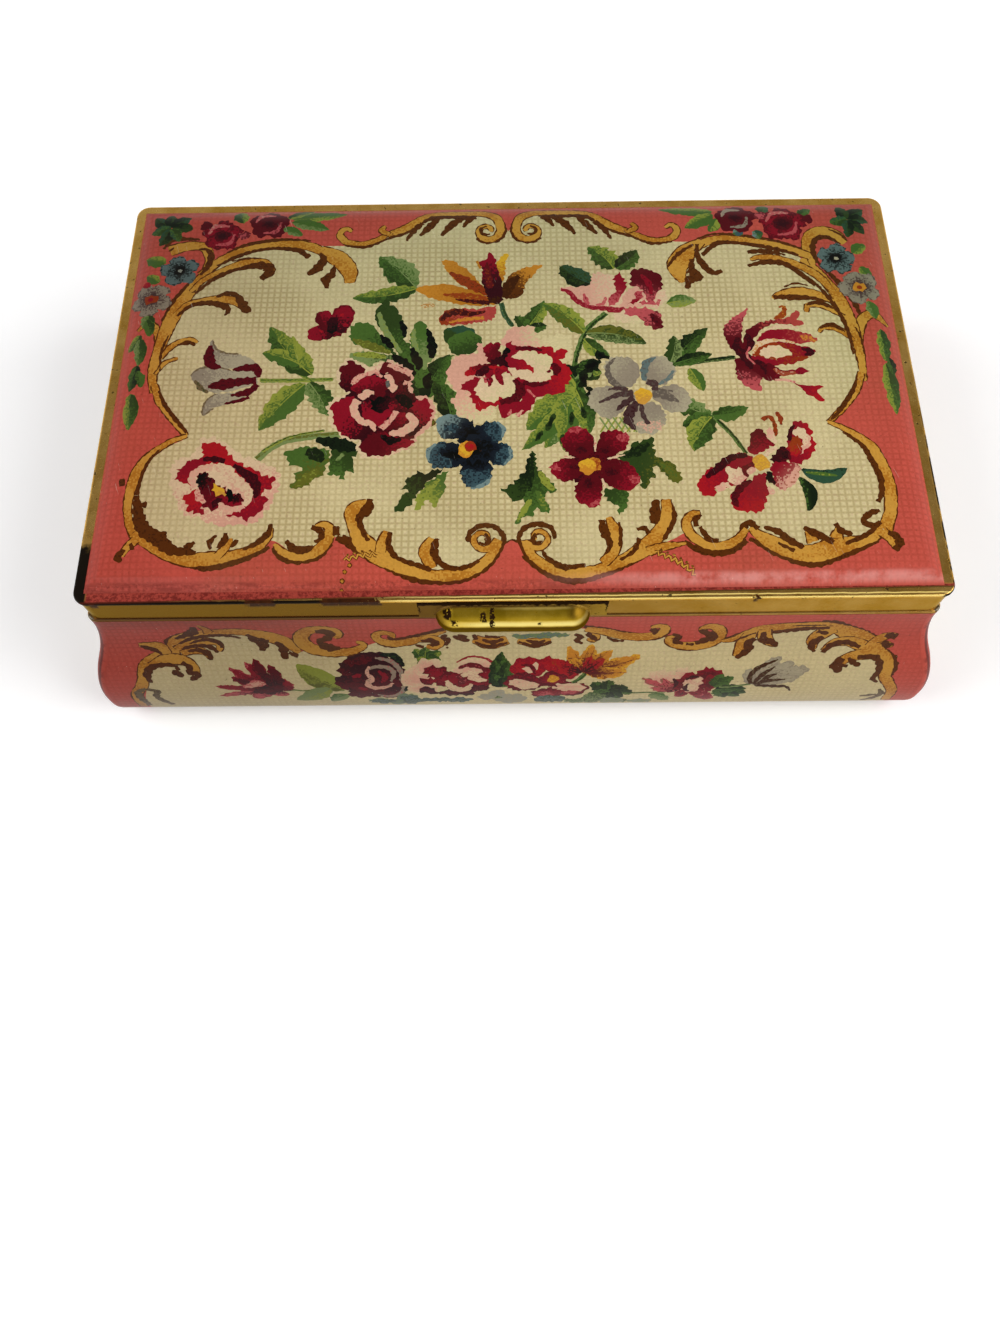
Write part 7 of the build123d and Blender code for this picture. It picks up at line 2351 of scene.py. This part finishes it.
def wall_right_scrolls(s):
    """The last arch and the far corner's curls."""
    p = RIGHT
    scrollwork(s, hems=(
        (p((640, 94), (682, 104), (722, 128), (762, 148), (802, 176), (838, 190)),
         [0.8, 1.8, 1.8, 1.8, 2.0, 1.4]),
        (p((866, 244), (898, 270), (914, 318), (908, 362)), [1.0, 1.8, 1.8, 1.0]),
        (p((908, 362), (942, 398), (960, 450)), THIN),
        (p((366, 188), (430, 148), (478, 120), (560, 104), (640, 97)), [0.4, 0.8, 0.7, 0.6, 0.5]),
    ), bands=(
        (p((222, 168), (204, 180), (218, 202), (256, 214), (300, 212), (338, 194), (354, 162), (346, 130),
         (318, 118), (298, 132), (304, 154)), [0.8, 1.8, 2.2, 2.4, 2.8, 3.2, 3.2, 2.8, 2.4, 1.8, 0.9]),
        (p((366, 194), (400, 186), (440, 156), (480, 134), (560, 120), (640, 114), (700, 138), (760, 176),
         (818, 218)), [0.8, 2.0, 2.8, 2.6, 1.8, 2.4, 4.0, 5.2, 4.8]),
        (p((446, 158), (436, 200), (416, 258)), [2.8, 3.6, 0.9]),
        (p((484, 138), (494, 182), (532, 218)), [2.8, 3.0, 0.9]),
        (p((692, 138), (660, 160), (640, 195), (650, 236)), [3.0, 4.0, 3.0, 1.0]),
        (p((678, 240), (706, 206), (750, 200), (802, 226)), [1.0, 2.6, 3.0, 3.2]),
        (p((820, 226), (836, 192), (862, 174), (882, 178)), [2.8, 2.8, 2.4, 1.2]),
        (p((840, 226), (868, 216), (880, 230)), [2.8, 2.2, 1.0]),
        (p((820, 238), (870, 262), (894, 305), (898, 350), (925, 394), (948, 440), (954, 520)),
         [4.4, 3.0, 2.6, 2.6, 2.4, 2.2, 2.0]),
        (p((815, 252), (775, 262), (748, 280), (738, 312)), [3.2, 2.8, 2.6, 1.0]),
    ), licks=(
        (p((214, 158), (236, 172), (226, 192), (252, 206)), [0.6, 1.4, 1.4, 0.7]),
        (p((292, 138), (316, 156), (338, 172), (312, 190), (288, 206)), [1.2, 1.8, 2.4, 1.8, 0.8]),
        (p((262, 206), (284, 208)), [0.9, 0.6]),
        (p((396, 200), (436, 172), (462, 154)), THIN),
        (p((505, 156), (560, 145), (620, 136), (674, 134)), [1.0, 1.4, 1.3, 0.9]),
        (p((560, 120), (660, 118)), THIN),
        (p((464, 184), (446, 208), (452, 232), (420, 266)), [1.3, 2.0, 1.8, 0.8]),
        (p((484, 152), (490, 188), (520, 202), (536, 222)), [0.8, 1.8, 1.8, 0.8]),
        (p((664, 176), (644, 204), (640, 222), (654, 244)), [1.0, 2.0, 1.6, 0.8]),
        (p((640, 150), (676, 164)), [1.0, 1.2]),
        (p((680, 248), (700, 216), (742, 205), (788, 228)), [1.0, 1.7, 1.5, 0.9]),
        (p((848, 174), (886, 182)), [1.5, 1.8]), (p((850, 206), (878, 226)), [1.4, 2.0]),
        (p((790, 266), (840, 266), (864, 290), (870, 330), (864, 362), (884, 382)),
         [1.0, 1.5, 1.5, 1.4, 1.3, 0.6]),
        (p((746, 268), (732, 296), (752, 328)), [1.6, 2.5, 1.2]), (p((746, 298), (770, 302)), [1.0, 0.9]),
        (p((764, 268), (780, 284), (806, 300)), [0.8, 1.5, 1.0]),
    ))
    blot(s, *p((822, 234))[0], 2.4, 1.6, "gold", "amber", "even", 30, 0.2)
    for points in (
        ((904, 426), (920, 460), (904, 512)), ((860, 482), (908, 468)),
        ((874, 522), (912, 490), (930, 448)),
    ):
        lick(s, p(*points), [0.7, 1.4, 0.8], "smoke", "umber")


def petals(s, p, base, tips, main, second, fringe, streak_ink="maroon", streaks=1, blunt=1.9):
    """Several petals from one base; tips are (x, y, half width, bend) in squares and mm."""
    for x, y, half, bend in tips:
        petal(
            s, p(base)[0], p((x, y))[0], half, main, second, "base", bend, 1.1, blunt, 0.4, fringe=fringe,
            streaks=streaks, streak_ink=streak_ink, streak_length=0.85,
        )


def blots(s, p, main, second, places, mix="edge", rough=0.5):
    """Ragged ovals; places are (x, y) in squares, then two radii in mm and a turn."""
    for x, y, rx, ry, turn in places:
        blot(s, *p((x, y))[0], rx, ry, main, second, mix, turn, rough)


def licks(s, p, main, second, widths, *lines):
    """Several strokes of one ink; lines are points in squares."""
    for line in lines:
        lick(s, p(*line), widths, main, second)


def sprig(s, p, base, tips, half, dark, light, middle="leaf"):
    """Several leaves from one base."""
    for tip in tips:
        leaf(s, p(base)[0], p(tip)[0], half, dark, light, middle, 0.3, 4, 0.35)


def wall_flowers(s):
    """The row of flowers, left to right."""
    p = LEFT
    stem(s, p((596, 394), (640, 402), (700, 396), (768, 402)), 0.6, "sage", "olive")
    leaf(s, *p((766, 398), (636, 272)), 3.5, "olive", "lime", "lime", 0.6, 4, 0.12)
    leaf(s, *p((724, 388), (600, 470)), 2.8, "lime", "sage", "sage", 0.6, 4, 0.2)
    leaf(s, *p((774, 428), (714, 488)), 2.0, "sage", "leaf", "sage", -0.6, 3, 0.2)
    blots(s, p, "sage", "leaf", ((586, 391, 1.5, 1.2, 0),), rough=0.2)
    petals(
        s, p, (556, 398), ((472, 450, 2.0, -0.6), (548, 436, 2.2, 0.4), (356, 434, 1.1, -0.4)), "rose",
        "wine", "crimson",
    )
    petals(
        s, p, (556, 398),
        ((428, 284, 1.5, 0.5), (482, 262, 1.5, 0.3), (592, 334, 1.9, -1.2), (360, 368, 1.1, 0.3)),
        "crimson", "wine", "rose",
    )
    petals(
        s, p, (556, 398), ((422, 328, 1.5, 0.3), (508, 248, 1.3, 0.2), (552, 274, 1.6, -0.8)), "wine",
        "maroon", "crimson",
    )
    blots(s, p, "blush", "rose", ((492, 362, 2.6, 1.4, 20), (470, 376, 1.6, 0.8, 0)))
    blots(s, p, "wine", "maroon", ((520, 402, 3.4, 1.6, 0), (556, 384, 1.6, 2.0, 0)))
    blots(
        s, p, "wine", "maroon",
        ((800, 300, 3.2, 3.0, 0), (786, 356, 3.0, 3.0, 0), (828, 262, 3.6, 2.4, 0), (826, 412, 4.0, 3.4, 0),
          (884, 258, 4.4, 2.2, -20), (904, 328, 5.0, 6.2, 0), (900, 412, 4.4, 3.6, 0),
          (850, 346, 5.0, 6.0, 0)),
        "left", 0.7,
    )
    licks(
        s, p, "crimson", "wine", [0.6, 1.4, 0.6], ((884, 304), (904, 330), (888, 360)),
        ((800, 330), (830, 320)), ((812, 388), (840, 400)),
    )
    licks(
        s, p, "lilac", "rose", [0.4, 1.0, 1.1, 0.5],
        ((846, 302), (880, 286), (920, 292), (932, 320), (918, 354)),
        ((880, 252), (922, 262), (950, 296), (954, 340)),
        ((948, 340), (958, 384), (938, 430), (900, 446), (868, 432)),
    )
    licks(
        s, p, "blush", "lilac", [0.5, 1.3, 1.3, 0.6],
        ((858, 284), (848, 312), (862, 340), (844, 362), (862, 388), (902, 384), (924, 362)),
    )
    licks(
        s, p, "black", "moss", [0.7, 1.7, 0.7], ((894, 238), (940, 246), (966, 284)),
        ((966, 330), (974, 372), (958, 410)),
    )
    p = MIDDLE
    sprig(
        s, p, (255, 262), ((222, 216), (262, 206), (304, 228), (300, 262), (228, 262)), 1.6, "moss", "lime"
    )
    blots(
        s, p, "blush", "petal",
        ((226, 344, 4.4, 4.0, 0), (258, 292, 3.4, 2.8, 0), (238, 396, 3.4, 2.2, 0), (404, 318, 5.0, 4.8, 0),
          (430, 290, 3.0, 2.6, 0)),
        rough=0.7,
    )
    blots(
        s, p, "crimson", "wine",
        ((288, 318, 3.4, 2.4, -30), (264, 352, 2.4, 1.4, 0), (330, 352, 4.0, 3.4, 0),
          (396, 376, 4.6, 2.6, 10), (440, 336, 1.6, 3.4, 0)),
        rough=0.8,
    )
    blots(
        s, p, "wine", "maroon",
        ((250, 408, 2.8, 1.3, -20), (408, 398, 3.4, 1.7, 16), (344, 424, 4.4, 1.6, 0)), rough=0.7,
    )
    licks(
        s, p, "petal", "blush", [0.8, 2.0, 1.8, 0.7], ((312, 352), (330, 392), (366, 404), (392, 372)),
        ((360, 330), (392, 316), (404, 344), (440, 352)),
    )
    licks(
        s, p, "wine", "rose", [0.6, 1.5, 0.7], ((352, 296), (384, 282), (424, 292), (436, 318)),
        ((340, 330), (364, 346), (352, 372)),
    )
    licks(s, p, "crimson", "rose", THIN, ((346, 272), (390, 250), (438, 258), (472, 292), (470, 336)))
    sprig(
        s, p, (488, 390), ((486, 228), (462, 262), (508, 264), (458, 320), (520, 330)), 2.2, "night",
        "leaf", "moss",
    )
    blots(
        s, p, "red", "crimson",
        ((566, 298, 4.2, 3.4, 20), (690, 306, 3.4, 3.2, 0), (634, 286, 3.0, 2.2, -40)),
    )
    blots(
        s, p, "crimson", "wine",
        ((552, 366, 4.6, 3.8, 0), (694, 408, 5.0, 3.6, 10), (628, 438, 4.0, 2.8, 0),
          (645, 352, 3.4, 3.0, 0)),
    )
    blots(
        s, p, "blush", "petal",
        ((556, 374, 3.6, 2.2, -16), (706, 398, 3.6, 1.9, 0), (574, 296, 2.0, 1.2, 30),
          (664, 388, 1.8, 0.9, 10)),
    )
    blots(s, p, "rose", "crimson", ((622, 438, 2.4, 1.5, 0), (700, 430, 2.6, 1.2, 10)))
    licks(
        s, p, "wine", "crimson", [0.5, 1.1, 0.5], ((546, 284), (578, 290), (588, 324)),
        ((520, 340), (560, 346), (600, 368)), ((660, 392), (640, 376), (606, 386)),
        ((668, 300), (700, 320), (696, 336)),
    )
    blots(s, p, "yellow", "orange", ((645, 350, 1.4, 1.5, 0),), rough=0.3)
    stem(s, p((746, 318), (732, 344), (704, 370)), 1.1, "leaf", "moss")
    petals(
        s, p, (738, 318),
        ((688, 212, 1.7, 0.3), (762, 206, 1.7, 0.2), (826, 230, 1.9, 0.3), (910, 252, 1.9, -0.6),
          (872, 312, 2.0, -0.8), (700, 262, 1.6, 0)),
        "orange", "wine", "yellow", "wine", 2, 1.6,
    )
    petals(
        s, p, (738, 318), ((640, 262, 1.4, 0.4), (760, 250, 1.1, 0), (800, 262, 1.2, 0)), "red", "maroon",
        "rust", "maroon", 1, 1.7,
    )
    sprig(
        s, p, (826, 424),
        ((770, 366), (820, 356), (886, 398), (902, 440), (862, 486), (800, 506), (756, 452)), 2.4, "night",
        "leaf", "moss",
    )
    stem(s, p((870, 440), (940, 436), (1010, 434)), 0.6, "leaf", "moss")
    p = RIGHT
    leaf(s, *p((178, 448), (242, 504)), 2.2, "leaf", "sage", "sage", 0.4, 3, 0.3)
    blots(s, p, "blush", "petal", ((206, 362, 4.2, 3.8, 0), (268, 334, 2.4, 2.4, 0)), rough=0.7)
    petals(
        s, p, (262, 428),
        ((143, 346, 1.1, 0.3), (208, 350, 1.2, 0.4), (176, 404, 1.2, 0.2), (232, 372, 1.3, -0.3)), "rose",
        "wine", "smoke",
    )
    petals(
        s, p, (300, 410), ((378, 500, 2.0, 0.3), (344, 470, 1.6, 0.3), (268, 474, 1.6, -0.3)), "crimson",
        "wine", "rose",
    )
    blots(
        s, p, "wine", "crimson",
        ((302, 386, 4.4, 4.6, 0), (344, 340, 3.4, 2.8, 20), (362, 384, 1.8, 4.0, 0)), rough=0.7,
    )
    blots(s, p, "petal", "blush", ((300, 396, 2.2, 3.0, 20), (318, 366, 1.4, 1.8, -30)), rough=0.6)
    licks(
        s, p, "maroon", "wine", [0.5, 1.0, 0.5], ((280, 360), (300, 344), (322, 346)),
        ((290, 380), (284, 410), (300, 432)), ((240, 352), (254, 378), (250, 404)),
    )
    sprig(s, p, (376, 400), ((392, 330), (428, 344), (420, 380)), 1.9, "moss", "leaf")
    sprig(s, p, (380, 420), ((488, 446), (470, 474), (424, 482), (480, 414)), 2.2, "night", "leaf", "moss")
    stem(s, p((392, 402), (440, 398), (492, 384)), 0.8, "sage", "moss")
    petals(
        s, p, (490, 384),
        ((556, 262, 1.9, 0.8), (604, 288, 2.4, 0.6), (652, 310, 2.5, 0.2), (632, 350, 1.9, 0),
          (474, 304, 1.3, 0.8)),
        "white", "lilac", "lilac", "smoke", 1, 2.1,
    )
    licks(
        s, p, "umber", "smoke", [0.8, 1.3, 0.4], ((488, 384), (478, 344), (498, 304), (552, 272)),
        ((496, 386), (512, 340), (548, 300)), ((500, 390), (540, 368), (592, 362)),
        ((504, 394), (560, 400), (604, 404), (622, 434)), ((520, 380), (530, 352), (560, 332)),
    )
    # Grey-green clouds of small leaves stand along the foot.
    for p, main, second, places in (
        (LEFT, "slate", "sage", ((868, 482, 3.0, 1.6, 0), (962, 470, 3.0, 3.2, 0),
         (925, 494, 2.4, 1.6, 0))),
        (MIDDLE, "slate", "moss", ((100, 488, 3.2, 1.5, 0), (192, 476, 2.6, 3.0, 0),
         (270, 480, 5.0, 1.5, 0), (350, 484, 3.0, 1.7, 0), (640, 482, 4.2, 2.2, 0))),
        (MIDDLE, "mist", "white", ((490, 466, 3.0, 2.6, 0), (440, 462, 2.6, 2.0, 20),
         (534, 470, 2.8, 2.2, -20), (470, 430, 2.2, 1.6, 0), (516, 496, 2.6, 1.8, 0))),
        (MIDDLE, "sage", "moss", ((470, 466, 0.9, 0.9, 0), (780, 476, 3.0, 3.4, 0), (860, 500, 3.0, 1.6, 0),
         (720, 500, 3.0, 1.4, 0))),
        (RIGHT, "sage", "mist", ((60, 500, 3.4, 1.8, 0), (150, 508, 3.4, 1.4, 0))),
    ):
        blots(s, p, main, second, places, "even", 0.6)


def wall_picture(name, seed):
    """The whole picture of a long wall."""
    s = Sheet(name, seed)
    s.lay(flowing(WALL_FIELD), "cream", "petal", level(0.1), canvas=0.4)
    wall_flowers(s)
    wall_left_scrolls(s)
    wall_crest(s)
    wall_right_scrolls(s)
    return s


# %% [markdown]
# ## Laying the wall films
# The wall's profile is three arcs that flow into each other: a hollow under the
# shoulder, a swell above the foot and a small roll under it. The same profile serves
# all four sides, so one pair of functions lays every wall film.
# %% Laying the wall films
FLARE, HOLLOW_RADIUS, SWELL_RADIUS, FOOT_RADIUS = 7.0, 36.0, 38.0, 7.3
HOLLOW_TOP, HOLLOW_FOOT, SWELL_FOOT = 41.3, 26.03, 9.9


def flare_at(z):
    """How far the wall stands out beyond the rim at this height, and its slope."""
    z = np.asarray(z, float)
    hollow = np.clip(HOLLOW_TOP - z, 0, HOLLOW_TOP - HOLLOW_FOOT)
    swell = np.clip(z - SWELL_FOOT, 0, HOLLOW_FOOT - SWELL_FOOT)
    foot = np.clip(FOOT_RADIUS - z, 0, FOOT_RADIUS - 0.3)
    hollow_out = HOLLOW_RADIUS - np.sqrt(HOLLOW_RADIUS**2 - hollow**2)
    swell_out = FLARE - SWELL_RADIUS + np.sqrt(SWELL_RADIUS**2 - swell**2)
    foot_out = FLARE - FOOT_RADIUS + np.sqrt(FOOT_RADIUS**2 - foot**2)
    out = np.where(z > HOLLOW_FOOT, hollow_out, np.where(z > FOOT_RADIUS, swell_out, foot_out))
    slope = np.where(
        z > HOLLOW_FOOT, -hollow / np.sqrt(HOLLOW_RADIUS**2 - hollow**2),
        np.where(z > FOOT_RADIUS, -swell / np.sqrt(SWELL_RADIUS**2 - swell**2),
            foot / np.sqrt(FOOT_RADIUS**2 - foot**2)),
    )
    return out, slope


def wall_film(sheet, side, half_across, out_from_middle):
    """Lays a sheet on one wall. side is the wall's outward direction."""
    out_way = np.array([*side, 0.0])
    along = np.array([-side[1], side[0], 0.0])
    rows = np.concatenate([np.arange(1.2, 10.0, 0.85), np.arange(10.6, PRINT_TOP - 0.3, 1.3)])
    edge = np.concatenate([[1.0], rows, [PRINT_TOP]])
    reach = half_across + flare_at(edge)[0] - 2.3
    rim = [(a, z) for a, z in zip(reach, edge)] + [(-a, z) for a, z in zip(reach[::-1], edge[::-1])]
    guides = [[(-half_across - 8, z), (half_across + 8, z)] for z in rows]

    def place(flat):
        out, _ = flare_at(flat[:, 1])
        level_part = np.outer(flat[:, 0], along) + np.outer(out_from_middle + out, out_way)
        return level_part + np.outer(flat[:, 1], (0, 0, 1))

    def normal(flat):
        _, slope = flare_at(flat[:, 1])
        aim = out_way[None, :] - np.outer(slope, (0, 0, 1))
        return aim / np.linalg.norm(aim, axis=1)[:, None]

    film = printed_film(
        sheet, rim, guides, even_grid((-half_across, 2), (half_across, 42), 2.6), place, normal,
        PINK_GROUND,
    )
    film.data.materials.append(printed_ink)
    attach(film, "box")
    return film


wall_film(wall_picture("front_print", 21), (0, -1), HALF_RIM["x"], HALF_RIM["y"])
wall_film(wall_picture("back_print", 22), (0, 1), HALF_RIM["x"], HALF_RIM["y"])

# %% [markdown]
# ## The end walls' picture
# The picture does not show the ends. They are given a shorter version of the same
# design: corner curls, a pair of C-scrolls, one dark rose and a tulip to each side.
# %% The end walls' picture
def drop(points):
    """Points given in mm as (across, below the rim's top), turned into heights."""
    return [(x, RIM_TOP - h) for x, h in points]


END_FIELD = [
    (-50.6, 52), (-50, 42), (-47.6, 33), (-42, 26), (-37.6, 20), (-31, 16), (-23, 16.6), (-17, 20.6),
    (-10, 21.6), (-4, 19), (0, 19.6), (4, 19), (10, 21.6), (17, 20.6), (23, 16.6), (31, 16), (37.6, 20),
    (42, 26), (47.6, 33), (50, 42), (50.6, 52),
]


def end_picture(name, seed):
    """The picture of a short wall, drawn for one half and flipped for the other."""
    s = Sheet(name, seed)

    def y(below):
        return RIM_TOP - below

    s.lay(flowing(drop(END_FIELD)), "cream", "petal", level(0.1), canvas=0.4)
    for side in (-1, 1):
        s.at(flip=side < 0)
        stem(s, drop([(6, 36), (14, 38), (22, 36.4), (27, 34)]), 0.9, "leaf", "moss")
        for base, tip, dark in (
            ((12, 37.6), (17.4, 29.4), "moss"), ((16, 38), (24, 42.6), "night"),
            ((10, 37), (12.4, 44.6), "moss"), ((22, 36.6), (28.6, 40.6), "leaf"),
            ((7, 33), (13.6, 25.6), "night"),
        ):
            leaf(s, (base[0], y(base[1])), (tip[0], y(tip[1])), 2.4, dark, "lime", "leaf", 0.5, 4, 0.35)
        main, fringe = ("red", "blush") if side > 0 else ("lilac", "white")
        for tip, half, bend in (
            ((34, 25.6), 2.2, 0.8), ((37.6, 29), 2.2, 0.3), ((40, 33), 2.4, 0), ((37, 38.6), 2.0, -1.0),
            ((30.6, 25.4), 1.8, 0.8),
        ):
            petal(
                s, (26.6, y(34.4)), (tip[0], y(tip[1])), half, main, "wine", "base", bend, 1.15, 2.2, 0.4,
                fringe=fringe, streaks=2, streak_ink="wine", streak_length=0.8,
            )
        scroll(
            s, drop([(49.6, 52), (50, 43), (47.6, 35), (43.6, 28.6), (38.6, 24)]),
            [2.0, 2.6, 2.6, 2.8, 3.0], 1, 0.32,
        )
        scroll(
            s, drop([(40.6, 26), (40.4, 21.6), (43, 20), (45.4, 21.6), (44.4, 23.6)]),
            [2.6, 2.4, 2.0, 1.8, 0.9], -1, 0.4,
        )
        scroll(
            s, drop([(39.6, 24.6), (37, 19), (31, 15.4), (25, 15.6), (20, 18.6), (17.4, 22.6)]),
            [3.0, 3.0, 2.8, 3.0, 3.0, 0.9], 1, 0.4,
        )
        scroll(
            s, drop([(2.4, 18.4), (4.6, 21), (10, 21.8), (14.6, 20), (15.6, 16.6), (13.4, 14.6), (11, 16)]),
            [0.8, 2.0, 2.6, 2.8, 2.4, 1.8, 0.9], -1, 0.42, (0.1, 0.9),
        )
        for points in (
            [(36, 19), (34, 22), (31, 23.6)], [(30.6, 17), (29, 20), (26, 21.4)],
            [(41.6, 27), (40.4, 30), (42, 32.6)], [(46.6, 36), (44.4, 38.6), (45.4, 42)],
        ):
            lick(s, drop(points), [0.5, 1.5, 0.5])
    s.at()
    for k in range(5):
        a = math.radians(72 * k + 30)
        petal(
            s, (-7, y(37)), (-7 + 6.4 * math.cos(a), y(37) + 5.4 * math.sin(a)), 2.4, "sky", "navy", "base",
            0, 1.2, 2.6, 0.4, fringe="blue", streaks=2, streak_ink="navy",
        )
    blot(s, -7, y(37), 1.4, 1.3, "yellow", "orange", rough=0.25)
    dark_rose(s, 1.6, y(32), 0.72, 10)
    return s


wall_film(end_picture("left_end_print", 23), (-1, 0), HALF_RIM["y"], HALF_RIM["x"])
wall_film(end_picture("right_end_print", 24), (1, 0), HALF_RIM["y"], HALF_RIM["x"])
